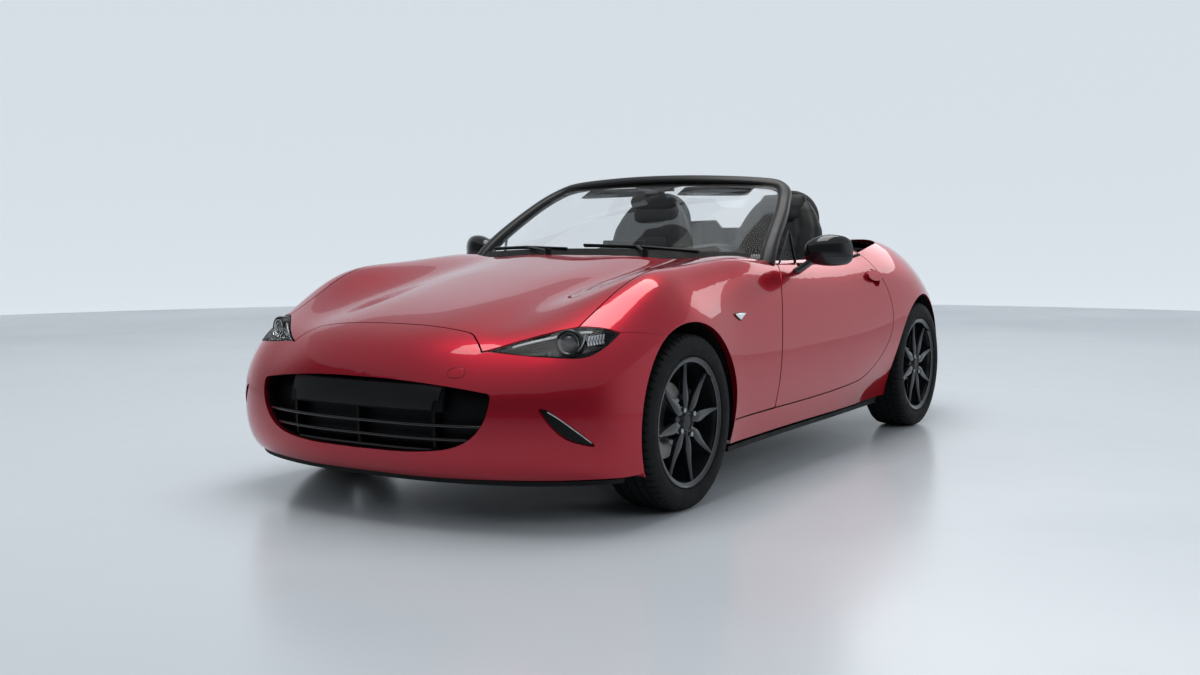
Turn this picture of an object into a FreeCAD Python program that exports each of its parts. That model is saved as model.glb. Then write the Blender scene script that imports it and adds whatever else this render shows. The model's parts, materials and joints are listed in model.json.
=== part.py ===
import FreeCAD, Part
import math
import os
import Sketcher
from FreeCAD import Placement, Rotation
from FreeCAD import Vector as V

# Roadster convertible, millimetres. +Z up, the front faces -Y, +X is the car's left side.
# All shapes are drawn with the front axle at y = 0 and shifted by front_axle_y, so that the
# part's origin is on the ground in the middle of its length and width.

doc = FreeCAD.newDocument("roadster")
sheet = doc.addObject("Spreadsheet::Sheet", "Dims")
DIMS = [
    ("front_axle_y", -1210.36, "front axle from the origin"),
    ("wheelbase", 2310, "front axle to rear axle"),
    ("axle_height", 300, "wheel centre above the ground"),
    ("track_front", 1495, "centre to centre of the front tyres"),
    ("track_rear", 1505, "centre to centre of the rear tyres"),
    ("tyre_radius", 300, "outer radius of the tyre"),
    ("tyre_width", 195, "section width of the tyre"),
    ("rim_radius", 222, "outer radius of the rim flange"),
    ("bead_radius", 204, "radius of the bead seat"),
    ("rim_width", 180, "width over the rim flanges"),
    ("barrel_inner", 192, "inner radius of the rim barrel"),
    ("hub_bore", 25, "bore of the hub in the disc"),
    ("stub_radius", 24.95, "radius of the stub axle"),
    ("disc_radius", 132, "brake disc radius"),
    ("disc_thick", 20, "brake disc thickness"),
    ("spoke_count", 8, "spokes per wheel"),
    ("skin", 4, "body panel thickness"),
    ("door_skin", 22, "thickness of the door's rim"),
    ("door_inner_x", 722, "inner face of the door from the centre plane"),
    ("gap_front_door", 7, "gap between front wing and door"),
    ("gap_door", 5.2, "gap round the rest of the door"),
    ("gap_lid", 5.2, "gap round bonnet and boot lid"),
    ("gap_fixed", 2, "gap between fixed panels"),
    ("arch_front", 340, "front wheel opening radius"),
    ("arch_rear", 343, "rear wheel opening radius"),
    ("liner_thick", 4, "wheel arch liner thickness"),
    ("door_hinge_x", 825, "door hinge axis from the centre plane"),
    ("door_hinge_y", 800, "door hinge axis behind the front axle"),
    ("kingpin_x", 690, "steering axis from the centre plane"),
    ("steer_r", 182, "steering wheel radius to the middle of its rim"),
    ("steer_tube", 15, "steering wheel rim section radius"),
    ("floor_thick", 10, "floor panel thickness"),
    ("sill_z", 265, "top edge of the sill panel"),
    ("engine_len", 520, "engine block length"),
    ("engine_wide", 440, "engine block width"),
    ("engine_high", 390, "engine block height"),
    ("tip_radius", 36, "exhaust tip outer radius"),
    ("glass_thick", 5, "windscreen thickness"),
    ("hoop_tube", 24, "roll hoop section radius"),
    ("mirror_face_y", 1099, "plane of the mirror glass behind the front axle"),
    ("cowl_drop", 22, "cowl panel below the line of the bonnet"),
    ("plate_face_y", 3130, "face of the rear plate recess behind the front axle"),
    ("plate_z", 460, "middle of the rear plate above the ground"),
    ("plate_pitch", 300, "distance between the rear plate's screw holes"),
    ("plate_hole", 3.3, "radius of the rear plate's screw holes"),
]
for i, (alias, value, note) in enumerate(DIMS):
    sheet.set("A%d" % (i + 1), alias)
    sheet.set("B%d" % (i + 1), str(value))
    sheet.set("C%d" % (i + 1), note)
    sheet.setAlias("B%d" % (i + 1), alias)
doc.recompute()


def dim(alias):
    return float(sheet.get(alias))


Y0 = dim("front_axle_y")
WB = dim("wheelbase")
NODES = []


def finish(obj, label, x=0.0, y=0.0, z=0.0, rot=None, exprs=None):
    """Names a sub-part, puts it in the car's frame and keeps it for the export."""
    obj.Label = label
    obj.Placement = Placement(V(x, Y0 + y, z), rot if rot else Rotation())
    for prop, expr in (exprs or {}).items():
        obj.setExpression(prop, expr)
    if not exprs or "Placement.Base.y" not in exprs:
        obj.setExpression("Placement.Base.y", "Dims.front_axle_y + %r" % float(y))
    NODES.append((label, obj))
    return obj


def feature(label, shape):
    obj = doc.addObject("Part::Feature", label)
    obj.Shape = shape
    return finish(obj, label)


def bind(obj, **exprs):
    for prop, expr in exprs.items():
        if isinstance(expr, str):
            obj.setExpression(prop, expr)
        else:
            setattr(obj, prop, expr)
    return obj


def box(name, lo, hi):
    """A box from its corners; each number may be an expression over the sheet."""
    o = doc.addObject("Part::Box", name)

    def e(v):
        return "(%s)" % v if isinstance(v, str) else "(%r)" % float(v)
    o.setExpression("Length", "%s - %s" % (e(hi[0]), e(lo[0])))
    o.setExpression("Width", "%s - %s" % (e(hi[1]), e(lo[1])))
    o.setExpression("Height", "%s - %s" % (e(hi[2]), e(lo[2])))
    for ax, v in zip("xyz", lo):
        o.setExpression("Placement.Base." + ax, e(v))
    return o


def rod(name, a, b, r):
    """A cylinder between two points."""
    a, b = V(*a), V(*b)
    o = doc.addObject("Part::Cylinder", name)
    bind(o, Radius=r, Height=(b - a).Length)
    o.Placement = Placement(a, Rotation(V(0, 0, 1), b - a))
    return o


def fuse(name, parts):
    o = doc.addObject("Part::MultiFuse", name)
    o.Shapes = parts
    return o


def cut(name, base, tool):
    o = doc.addObject("Part::Cut", name)
    o.Base = base
    o.Tool = tool
    return o


# ---------------------------------------------------------------- body surface
# Each row is a line over the left half of the body from the centre plane out and down to the
# bottom edge; rows run from the front bumper's lower edge back over the car to the tail.
ROWS = [
    [(0, -690, 165), (240, -680, 165), (460, -632, 168), (640, -550, 170), (760, -455, 172), (812, -385, 172), (838, -330, 175)],
    [(0, -722, 215), (240, -712, 215), (468, -660, 218), (655, -575, 222), (775, -470, 222), (830, -370, 215), (848, -305, 182)],
    [(0, -742, 345), (245, -730, 345), (482, -672, 345), (668, -585, 345), (792, -460, 340), (846, -340, 295), (858, -260, 190)],
    [(0, -724, 470), (245, -708, 470), (478, -650, 462), (664, -565, 462), (796, -435, 440), (856, -290, 370), (862, -220, 190)],
    [(0, -676, 552), (225, -656, 555), (450, -592, 552), (655, -505, 556), (804, -365, 520), (862, -225, 425), (865, -180, 190)],
    [(0, -600, 612), (215, -582, 614), (425, -532, 606), (665, -410, 620), (812, -270, 582), (865, -150, 465), (867, -140, 190)],
    [(0, -470, 660), (210, -457, 659), (425, -412, 648), (690, -270, 684), (820, -180, 618), (867, -100, 485), (868, -90, 190)],
    [(0, -280, 706), (210, -272, 704), (425, -240, 695), (690, -140, 752), (828, -90, 645), (868, -50, 492), (868, -40, 190)],
    [(0, -60, 750), (215, -55, 746), (430, -35, 738), (680, 0, 800), (832, 20, 662), (868, 10, 495), (868, 0, 190)],
    [(0, 160, 790), (220, 160, 786), (440, 165, 772), (680, 165, 815), (830, 130, 660), (866, 70, 490), (866, 40, 190)],
    [(0, 360, 822), (225, 360, 818), (450, 350, 802), (690, 330, 822), (824, 245, 655), (860, 140, 480), (860, 100, 190)],
    [(0, 540, 850), (230, 535, 847), (460, 515, 828), (700, 480, 830), (818, 370, 650), (852, 260, 450), (845, 200, 185)],
    [(0, 680, 866), (235, 670, 862), (475, 650, 844), (712, 620, 834), (816, 510, 650), (845, 430, 430), (822, 330, 182)],
    [(0, 800, 874), (240, 797, 870), (490, 790, 852), (722, 775, 828), (816, 690, 652), (842, 650, 420), (808, 560, 180)],
    [(0, 1000, 880), (240, 1000, 876), (500, 1000, 856), (728, 1000, 820), (818, 1000, 655), (841, 1000, 410), (798, 1000, 180)],
    [(0, 1350, 890), (245, 1350, 885), (505, 1350, 862), (732, 1350, 820), (824, 1350, 662), (845, 1350, 410), (793, 1350, 178)],
    [(0, 1650, 912), (245, 1650, 906), (500, 1650, 884), (733, 1650, 834), (832, 1650, 680), (850, 1650, 412), (784, 1650, 178)],
    [(0, 1900, 928), (245, 1900, 923), (485, 1900, 908), (718, 1900, 872), (842, 1925, 700), (856, 1930, 430), (776, 1930, 180)],
    [(0, 2110, 925), (245, 2113, 921), (470, 2118, 910), (695, 2125, 888), (848, 2145, 700), (865, 2160, 470), (830, 2170, 190)],
    [(0, 2310, 908), (240, 2314, 905), (455, 2320, 895), (672, 2320, 872), (840, 2320, 690), (867, 2310, 480), (866, 2310, 190)],
    [(0, 2500, 888), (238, 2503, 885), (445, 2505, 872), (650, 2500, 842), (815, 2480, 662), (860, 2450, 470), (862, 2440, 190)],
    [(0, 2690, 868), (232, 2688, 864), (435, 2680, 848), (622, 2660, 808), (782, 2620, 628), (838, 2570, 440), (842, 2540, 195)],
    [(0, 2870, 852), (225, 2864, 848), (425, 2845, 830), (592, 2800, 776), (744, 2750, 592), (806, 2690, 405), (815, 2640, 200)],
    [(0, 3000, 846), (222, 2992, 842), (418, 2965, 822), (570, 2900, 752), (712, 2850, 562), (775, 2790, 380), (788, 2730, 206)],
    [(0, 3050, 834), (220, 3042, 828), (412, 3012, 806), (560, 2945, 732), (700, 2885, 545), (762, 2825, 365), (772, 2770, 210)],
    [(0, 3068, 775), (220, 3060, 771), (412, 3032, 750), (562, 2968, 690), (698, 2905, 520), (752, 2850, 345), (758, 2800, 211)],
    [(0, 3080, 700), (220, 3072, 697), (412, 3045, 684), (565, 2985, 640), (695, 2925, 490), (742, 2880, 325), (742, 2830, 212)],
    [(0, 3112, 600), (218, 3103, 598), (412, 3072, 588), (568, 3010, 560), (684, 2955, 455), (722, 2920, 305), (720, 2880, 213)],
    [(0, 3160, 500), (216, 3150, 498), (408, 3115, 490), (560, 3050, 470), (662, 2992, 410), (694, 2962, 292), (688, 2935, 214)],
    [(0, 3166, 390), (212, 3156, 388), (400, 3120, 382), (545, 3068, 366), (636, 3020, 335), (660, 2998, 272), (645, 2985, 215)],
    [(0, 3140, 290), (205, 3132, 290), (385, 3098, 288), (520, 3055, 280), (598, 3020, 262), (612, 3010, 238), (590, 3005, 215)],
    [(0, 3095, 214), (198, 3088, 214), (370, 3062, 214), (495, 3035, 214), (555, 3015, 214), (575, 3010, 214), (560, 3006, 214)],
]


def mid4(a, b, c, d):
    return tuple((-a[k] + 9 * b[k] + 9 * c[k] - d[k]) / 16.0 for k in range(3))


def between(row):
    """Doubles the points of a half row; the row continues mirrored over the centre plane."""
    n = len(row)
    out = []
    for i in range(n - 1):
        before = row[i - 1] if i else (-row[1][0], row[1][1], row[1][2])
        after = row[i + 2] if i + 2 < n else tuple(2 * row[-1][k] - row[-2][k] for k in range(3))
        out += [row[i], mid4(before, row[i], row[i + 1], after)]
    return out + [row[-1]]


def whole(row):
    half = between(row)
    return [(-q[0], q[1], q[2]) for q in half[:0:-1]] + half


def knots(n):
    return [0.0] * 3 + [i / (n - 3.0) for i in range(n - 2)] + [1.0] * 3


def greville(n):
    k = knots(n)
    return [(k[i + 1] + k[i + 2] + k[i + 3]) / 3.0 for i in range(n)]


def basis(n, t):
    k = knots(n)
    t = min(max(t, 0.0), 1.0 - 1e-12)
    N = [1.0 if k[i] <= t < k[i + 1] else 0.0 for i in range(len(k) - 1)]
    for d in (1, 2, 3):
        M = []
        for i in range(len(k) - 1 - d):
            a, b = k[i + d] - k[i], k[i + d + 1] - k[i + 1]
            M.append((N[i] * (t - k[i]) / a if a > 0 else 0.0) + (N[i + 1] * (k[i + d + 1] - t) / b if b > 0 else 0.0))
        N = M
    return N


def fit(points, rounds=4):
    """Control points of a bicubic surface that runs through a grid of points."""
    nr, nc = len(points), len(points[0])
    Bu = [basis(nr, t) for t in greville(nr)]
    Bv = [basis(nc, t) for t in greville(nc)]
    P = [[list(q) for q in row] for row in points]
    for _ in range(rounds):
        T = [[[sum(Bv[j][m] * P[i][m][k] for m in range(nc) if Bv[j][m]) for k in range(3)] for j in range(nc)] for i in range(nr)]
        S = [[[sum(Bu[i][m] * T[m][j][k] for m in range(nr) if Bu[i][m]) for k in range(3)] for j in range(nc)] for i in range(nr)]
        for i in range(nr):
            for j in range(nc):
                for k in range(3):
                    P[i][j][k] += points[i][j][k] - S[i][j][k]
    return [[V(*q) for q in row] for row in P]


def surface(P):
    nu, nv = len(P), len(P[0])
    s = Part.BSplineSurface()
    s.buildFromPolesMultsKnots(P, [4] + [1] * (nu - 4) + [4], [4] + [1] * (nv - 4) + [4],
                               [i / (nu - 3.0) for i in range(nu - 2)], [i / (nv - 3.0) for i in range(nv - 2)],
                               False, False, 3, 3)
    return s


def inward(P, s, depth, sign):
    """The same control net moved in along the surface normal."""
    gu, gv = greville(len(P)), greville(len(P[0]))
    out = []
    for i, u in enumerate(gu):
        row = []
        for j, v in enumerate(gv):
            n = s.normal(min(max(u, 1e-4), 1 - 1e-4), min(max(v, 1e-4), 1 - 1e-4)) * sign
            row.append(P[i][j] - n * depth)
        out.append(row)
    return out


def closed(faces, tol=0.01):
    c = Part.Compound(faces)
    c.sewShape(tol)
    shell = c.Shells[0] if c.Shells else Part.Shell(c.Faces)
    solid = Part.Solid(shell)
    if solid.Volume < 0:
        solid.reverse()
    fixed = Part.Solid(shell)
    fixed.fix(0.001, 0.001, 0.01)
    return fixed if fixed.isValid() and abs(fixed.Volume) > 0 else solid


def iso(s, which, at):
    c = s.uIso(at) if which == "u" else s.vIso(at)
    return c.toShape()


def thick(P, depth, sign=1.0):
    """A skin of even thickness between a control net and its copy moved inwards."""
    s = surface(P)
    t = surface(inward(P, s, depth, sign))
    faces = [s.toShape(), t.toShape()]
    for which, at in (("u", 0.0), ("u", 1.0), ("v", 0.0), ("v", 1.0)):
        faces.append(Part.makeRuledSurface(iso(s, which, at), iso(t, which, at)))
    return closed(faces)


def bulk(P, floor):
    """The space under a control net, down to a level floor."""
    s = surface(P)
    faces = [s.toShape()]
    bottom = []
    for which, at in (("u", 0.0), ("v", 1.0), ("u", 1.0), ("v", 0.0)):
        e = iso(s, which, at)
        c = s.uIso(at) if which == "u" else s.vIso(at)
        poles = [V(q.x, q.y, floor) for q in c.getPoles()]
        d = Part.BSplineCurve()
        d.buildFromPolesMultsKnots(poles, c.getMultiplicities(), c.getKnots(), False, c.Degree)
        de = d.toShape()
        faces.append(Part.makeRuledSurface(e, de))
        bottom.append(de)
    w = Part.Wire(Part.__sortEdges__(bottom))
    faces.append(Part.Face(w))
    return closed(faces)


GRID = [whole(r) for r in ROWS]
NET = fit(GRID)
OUTER = surface(NET)
mid_n = OUTER.normal(0.45, 0.98)
SIGN = 1.0 if mid_n.x > 0 else -1.0
T = dim("skin")
HULL = bulk(NET, 100.0)
SKIN = thick(NET, T, SIGN)
SKIN_DOOR = thick(NET, dim("door_skin"), SIGN)
BIG = 6000.0


def block(x0, x1, y0, y1, z0, z1):
    b = Part.makeBox(x1 - x0, y1 - y0, z1 - z0)
    b.translate(V(x0, y0, z0))
    return b


def flip(shape):
    return shape.mirror(V(0, 0, 0), V(1, 0, 0))


# ---------------------------------------------------------------- outlines
def offset_sides(sides, d):
    """Moves a closed outline outwards by d. sides is a list of runs that share end points."""
    area = 0.0
    ring = [p for s in sides for p in s[:-1]]
    for a, b in zip(ring, ring[1:] + ring[:1]):
        area += a[0] * b[1] - a[1] * b[0]
    turn = 1.0 if area > 0 else -1.0
    moved = []
    for s in sides:
        out = []
        for i in range(len(s)):
            a = s[max(i - 1, 0)]
            b = s[min(i + 1, len(s) - 1)]
            tx, ty = b[0] - a[0], b[1] - a[1]
            ln = math.hypot(tx, ty)
            out.append((s[i][0] + turn * ty / ln * d, s[i][1] - turn * tx / ln * d))
        moved.append(out)
    n = len(sides)
    for i in range(n):
        s, q = moved[i], moved[(i + 1) % n]
        a, b = s[-2], s[-1]
        c, e = q[0], q[1]
        r = (b[0] - a[0], b[1] - a[1])
        t = (e[0] - c[0], e[1] - c[1])
        den = r[0] * t[1] - r[1] * t[0]
        if abs(den) > 0.12 * math.hypot(*r) * math.hypot(*t):
            k = ((c[0] - a[0]) * t[1] - (c[1] - a[1]) * t[0]) / den
            p = (a[0] + r[0] * k, a[1] + r[1] * k)
        else:
            p = ((b[0] + c[0]) / 2, (b[1] + c[1]) / 2)
        s[-1] = p
        q[0] = p
    return moved


def prism(sides, plane, lo, hi, grow=0.0):
    """Extrudes an outline. Plane xy runs along z, yz along x, xz along y."""
    if grow:
        sides = offset_sides(sides, grow)
    to3 = {"xy": lambda p: V(p[0], p[1], lo), "yz": lambda p: V(lo, p[0], p[1]), "xz": lambda p: V(p[0], lo, p[1])}[plane]
    along = {"xy": V(0, 0, hi - lo), "yz": V(hi - lo, 0, 0), "xz": V(0, hi - lo, 0)}[plane]
    edges = []
    for s in sides:
        if len(s) == 2:
            edges.append(Part.makeLine(to3(s[0]), to3(s[1])))
        else:
            c = Part.BSplineCurve()
            c.interpolate([to3(p) for p in s])
            edges.append(c.toShape())
    return Part.Face(Part.Wire(edges)).extrude(along)


def poly(points):
    return [[a, b] for a, b in zip(points, points[1:] + points[:1])]


def mirror_sides(half):
    """half runs from the centre plane round to the centre plane; its mirror image closes it."""
    other = [[(-p[0], p[1]) for p in s[::-1]] for s in half[::-1]]
    return half + other


# bonnet, seen from above: front edge, corner at the lamp, along the lamp, side, rear edge
BONNET = mirror_sides([
    [(0, -536), (110, -537), (220, -538), (310, -537)],
    [(310, -537), (336, -541), (358, -554)],
    [(358, -554), (412, -590)],
    [(412, -590), (482, -540), (551, -475), (640, -387)],
    [(640, -387), (640, -261), (647, -114), (656, 46), (662, 276), (668, 401), (676, 500), (690, 640), (704, 760)],
    [(704, 760), (660, 716), (580, 650), (460, 592), (300, 560), (150, 547), (0, 544)],
])
# the line between bumper and wings, from the middle of the bonnet's front edge to the arch
NOSE_LINE = [(412, -590), (485, -571), (567, -549), (653, -510), (716, -453), (744, -386), (752, -318)]
WING_LINE = [(752, -318), (791, -257), (817, -205), (836, -148), (866, -60), (900, 20)]
BUMPER = mirror_sides([
    [(0, -536), (110, -537), (220, -538), (310, -537)],
    [(310, -537), (336, -541), (358, -554)],
    [(358, -554), (412, -590)],
    NOSE_LINE,
    WING_LINE,
    [(900, 20), (1000, 20)],
    [(1000, 20), (1000, -1200)],
    [(1000, -1200), (0, -1200)],
])
LAMP = [
    [(412, -590), (482, -540), (551, -475), (640, -387)],
    [(640, -387), (699, -352), (752, -318)],
    [(752, -318), (744, -386), (716, -453), (653, -510), (567, -549), (485, -571), (412, -590)],
]
# door, seen from the side (y, z)
DOOR_FRONT = [(930, 900), (896, 815), (839, 754), (792, 678), (747, 565), (722, 451), (713, 355), (709, 282)]
DOOR_BOTTOM = [(712, 271), (946, 271), (1176, 274), (1380, 281), (1560, 292)]
DOOR_REAR = [(1560, 292), (1663, 318), (1738, 354), (1806, 405), (1866, 470), (1893, 560), (1876, 640), (1834, 730), (1783, 806), (1745, 870)]
DOOR = [
    DOOR_FRONT,
    [(709, 282), (708, 275), (712, 271)],
    DOOR_BOTTOM,
    DOOR_REAR,
    [(1745, 870), (1735, 960)],
    [(1735, 960), (950, 960)],
    [(950, 960), (930, 900)],
]
# everything behind the door's front edge and everything below the sill line
BEHIND = [
    [(940, 1200)] + [(938, 1000)] + DOOR_FRONT,
    [(709, 282), (700, 265)],
    [(700, 265), (200, 262)],
    [(200, 262), (200, -200)],
    [(200, -200), (5000, -200)],
    [(5000, -200), (5000, 1200)],
    [(5000, 1200), (940, 1200)],
]
# cabin opening, seen from above, from the bonnet's rear edge to the deck
CABIN = mirror_sides([
    [(0, 700), (300, 712), (460, 742), (580, 800), (660, 866), (700, 905)],
    [(700, 905), (724, 960), (731, 1100), (734, 1350), (735, 1650), (732, 1780), (724, 1900), (712, 2000)],
    [(712, 2000), (696, 2080), (664, 2140), (600, 2184), (500, 2210), (300, 2232), (150, 2238), (0, 2240)],
])
SCUTTLE = mirror_sides([
    [(0, 544), (150, 547), (300, 560), (460, 592), (580, 650), (660, 716), (704, 760)],
    [(704, 760), (712, 830), (700, 905)],
    [(700, 905), (660, 866), (580, 800), (460, 742), (300, 712), (0, 700)],
])
BOOT = mirror_sides([
    [(0, 2452), (200, 2454), (360, 2458)],
    [(360, 2458), (420, 2466), (456, 2492), (468, 2536)],
    [(468, 2536), (466, 2650), (455, 2800), (446, 2900), (440, 2960)],
    [(440, 2960), (436, 3300)],
    [(436, 3300), (0, 3300)],
])
GRILLE = mirror_sides([
    [(0, 478), (120, 477), (254, 470), (376, 458), (470, 445)],
    [(470, 445), (486, 440), (492, 426)],
    [(492, 426), (489, 395), (473, 348), (434, 302), (383, 274), (297, 256), (150, 247), (0, 245)],
])
REAR_BUMPER = poly([(2500, 538), (2600, 546), (2780, 604), (2930, 648), (3010, 690), (3400, 690), (3400, 60), (2500, 60)])
TAIL = [
    [(520, 716), (600, 714), (650, 690)],
    [(650, 690), (680, 655), (664, 612)],
    [(664, 612), (620, 592), (560, 590)],
    [(560, 590), (512, 604), (496, 650), (504, 700), (520, 716)],
]
SLOT = [
    [(640, 401), (656, 397), (685, 376), (718, 346), (745, 316), (767, 287)],
    [(767, 287), (767, 281), (761, 280)],
    [(761, 280), (737, 288), (708, 302), (682, 326), (657, 358), (637, 392)],
    [(637, 392), (635, 398), (640, 401)]]

RA, RB = dim("arch_front"), dim("arch_rear")
ZA = dim("axle_height")


def arch(r, y, x0=500.0, x1=1000.0):
    c = Part.makeCylinder(r, x1 - x0, V(x0, y, ZA), V(1, 0, 0))
    return c


def common(a, *more):
    for b in more:
        a = a.common(b)
    return a


def minus(a, *tools):
    return a.cut(list(tools)) if len(tools) > 1 else a.cut(tools[0])


def solids(s):
    """Keeps the real pieces of a boolean result and drops slivers."""
    parts = [q for q in s.Solids if abs(q.Volume) > 500.0]
    return parts[0] if len(parts) == 1 else Part.Compound(parts)


def biggest(s):
    return max(s.Solids, key=lambda q: abs(q.Volume))


LEFT = block(0, 1000, -900, 3400, 50, 1300)
gf, gd, gl = dim("gap_fixed"), dim("gap_door"), dim("gap_lid")

# wings
flange_f = minus(arch(RA + 4, 0), arch(RA, 0)).common(block(826, 1000, -400, 400, 265, 700)).common(HULL)
wing = minus(SKIN.common(block(500, 1000, -500, 1000, 265, 900)),
             prism(BONNET, "xy", 0, 1200, gl), prism(BUMPER, "xy", 0, 1200, gf), prism(LAMP, "xy", 0, 1200, gf),
             prism(BEHIND, "yz", 400, 1000, dim("gap_front_door")), prism(SCUTTLE, "xy", 500, 1200, gf),
             prism(CABIN, "xy", 700, 1200, gf), arch(RA, 0))
wing = biggest(wing)
wing = biggest(wing.fuse(minus(flange_f, prism(BUMPER, "xy", 0, 1200, gf))))
feature("front_fender_left", wing)
feature("front_fender_right", flip(wing))

# rear quarter with sill and door jamb
x_out = block(500, 1000, 300, 3300, 100, 1200)
ring_d = minus(prism(DOOR, "yz", 704, 1000, 10.5), prism(DOOR, "yz", 700, 1000, 6.5))
jamb = ring_d.common(HULL).common(block(704, 1000, 730, 2000, 200, 900))
flange_r = minus(arch(RB + 4, WB), arch(RB, WB)).common(block(830, 1000, 1900, 2700, 180, 700)).common(HULL)
flange_r = biggest(flange_r.cut(prism(REAR_BUMPER, "yz", 300, 1000, gf)))
front_of_door = prism([
    DOOR_FRONT[::-1] + [(938, 1000), (940, 1200)],
    [(940, 1200), (-900, 1200)],
    [(-900, 1200), (-900, 265)],
    [(-900, 265), (700, 265)],
    [(700, 265), (709, 282)],
], "yz", 400, 1000, 0.0)
side = minus(SKIN.common(x_out), front_of_door, prism(DOOR, "yz", 700, 1000, gd), arch(RA, 0), arch(RB, WB),
             prism(BOOT, "xy", 690, 1200, gl), prism(CABIN, "xy", 700, 1200, 0), prism(REAR_BUMPER, "yz", 300, 1000, gf),
             prism(TAIL, "xz", 2700, 3300, gf))
side = biggest(side)
side = biggest(side.fuse([jamb, flange_r]))
feature("body_side_left", side)
feature("body_side_right", flip(side))

# the deck behind the cabin joins the two quarters over the centre plane
deck = minus(SKIN.common(block(-500, 500, 1900, 3300, 690, 1200)), prism(BOOT, "xy", 690, 1200, gl), prism(CABIN, "xy", 700, 1200, 0),
             prism(TAIL, "xz", 2700, 3300, gf), flip(prism(TAIL, "xz", 2700, 3300, gf)))

bonnet = biggest(SKIN.common(prism(BONNET, "xy", 300, 1200)))
under = thick(inward(NET, OUTER, T, SIGN), 22.0, SIGN)
frame_ring = minus(prism(BONNET, "xy", 300, 1200, -18), prism(BONNET, "xy", 300, 1200, -78))
bonnet = bonnet.fuse(under.common(frame_ring).common(block(-800, 800, -700, 900, 480, 1000)))
feature("bonnet", biggest(bonnet))

lid = biggest(SKIN.common(prism(BOOT, "xy", 702, 1200)))
lid_ring = minus(prism(BOOT, "xy", 715, 1200, -20), prism(BOOT, "xy", 715, 1200, -70))
lid = lid.fuse(under.common(lid_ring))
feature("boot_lid", biggest(lid))

# front bumper with the painted walls of the air opening
nose = minus(SKIN.common(prism(BUMPER, "xy", 0, 1200)), prism(BONNET, "xy", 480, 1200, gl), prism(LAMP, "xy", 0, 1200, gf), flip(prism(LAMP, "xy", 0, 1200, gf)),
             prism(GRILLE, "xz", -1000, -500), arch(RA, 0), arch(RA, 0, -1000, -500),
             prism(SLOT, "xz", -900, -300), flip(prism(SLOT, "xz", -900, -300)))
nose = biggest(nose)
mouth = minus(prism(GRILLE, "xz", -760, -600, 4), prism(GRILLE, "xz", -760, -600)).common(HULL)
slot_wall = minus(prism(SLOT, "xz", -700, -430, 3), prism(SLOT, "xz", -700, -430)).common(HULL).common(thick(NET, 60.0, SIGN))
flange_b = minus(arch(RA + 4, 0), arch(RA, 0)).common(block(820, 1000, -400, 0, 165, 700)).common(HULL).common(prism(BUMPER, "xy", 0, 1200))
nose = biggest(nose.fuse([mouth, slot_wall, flip(slot_wall), flange_b, flip(flange_b)]))
feature("front_bumper", nose)

# rear bumper
tips = [(-372, 258), (-288, 258)]
pipe_cut = prism([[(-430, 60), (-430, 262)], [(-430, 262), (-418, 300), (-372, 312), (-330, 312), (-288, 312), (-242, 300), (-230, 262)],
                  [(-230, 262), (-230, 60)], [(-230, 60), (-430, 60)]], "xz", 2900, 3400)
tail = minus(SKIN.common(prism(REAR_BUMPER, "yz", -1000, 1000)), arch(RB, WB), arch(RB, WB, -1000, -500),
             prism(TAIL, "xz", 2700, 3300, gf), flip(prism(TAIL, "xz", 2700, 3300, gf)), prism(BOOT, "xy", 690, 1200, gl), pipe_cut)
tail = biggest(tail)
# recess for the number plate, with two screw holes in its back wall
py, pz = dim("plate_face_y"), dim("plate_z")
tail = tail.cut(block(-268, 268, py - 2, 3300, pz - 62, pz + 62))
walls = minus(block(-272, 272, py - 4, 3200, pz - 66, pz + 66), block(-268, 268, py, 3300, pz - 62, pz + 62)).common(HULL)
tail = biggest(tail.fuse(walls))
tail = biggest(tail.cut([Part.makeCylinder(dim("plate_hole"), 40, V(q * dim("plate_pitch") / 2, py - 20, pz), V(0, 1, 0)) for q in (-1, 1)]))
feature("rear_bumper", tail)
feature("rear_deck", biggest(deck))


# ---------------------------------------------------------------- doors
def skin_x(y, z):
    """How far out the left flank is at a height."""
    seg = HULL.common(Part.makeLine(V(500, y, z), V(1000, y, z)))
    return max(v.X for v in seg.Vertexes)


door = SKIN_DOOR.common(prism(DOOR, "yz", dim("door_inner_x") - 6, 1000))
door = door.fuse(HULL.common(prism(DOOR, "yz", dim("door_inner_x"), 1000, -26)))
door = door.common(block(dim("door_inner_x") - 6, 1000, 600, 2000, 200, 900))
hy, hz = 1742.0, 748.0
hx = skin_x(hy, hz)
door = door.cut(Part.makeSphere(52, V(hx + 30, hy + 14, hz)))
NET5 = inward(NET, OUTER, -6.0, SIGN)
bar = thick(NET5, -9.0, SIGN).common(prism([[(1672, hz - 8), (1680, hz - 12), (1800, hz - 12)], [(1800, hz - 12), (1812, hz), (1800, hz + 12)],
                                            [(1800, hz + 12), (1680, hz + 12), (1672, hz + 8)], [(1672, hz + 8), (1672, hz - 8)]], "yz", 600, 1000))
posts = thick(NET, -8.0, SIGN).common(prism(poly([(1673, hz - 8), (1694, hz - 9), (1694, hz + 9), (1673, hz + 8)]), "yz", 600, 1000).fuse(
    prism(poly([(1795, hz - 9), (1806, hz - 8), (1806, hz + 8), (1795, hz + 9)]), "yz", 600, 1000)))
door = biggest(door.fuse([bar, posts]))
feature("door_left", door)
feature("door_right", flip(door))


def ring_wire(points):
    c = Part.BSplineCurve()
    c.interpolate(points, PeriodicFlag=True)
    return Part.Wire([c.toShape()])


def oval(centre, a, b, ra, rb, n=12, p=2.6):
    """A closed rounded section in the plane of the unit vectors a and b."""
    pts = []
    for i in range(n):
        t = 2 * math.pi * i / n
        ct, st = math.cos(t), math.sin(t)
        k = (abs(ct) ** p + abs(st) ** p) ** (-1.0 / p)
        pts.append(centre + a * (ra * k * ct) + b * (rb * k * st))
    return ring_wire(pts)


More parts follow.
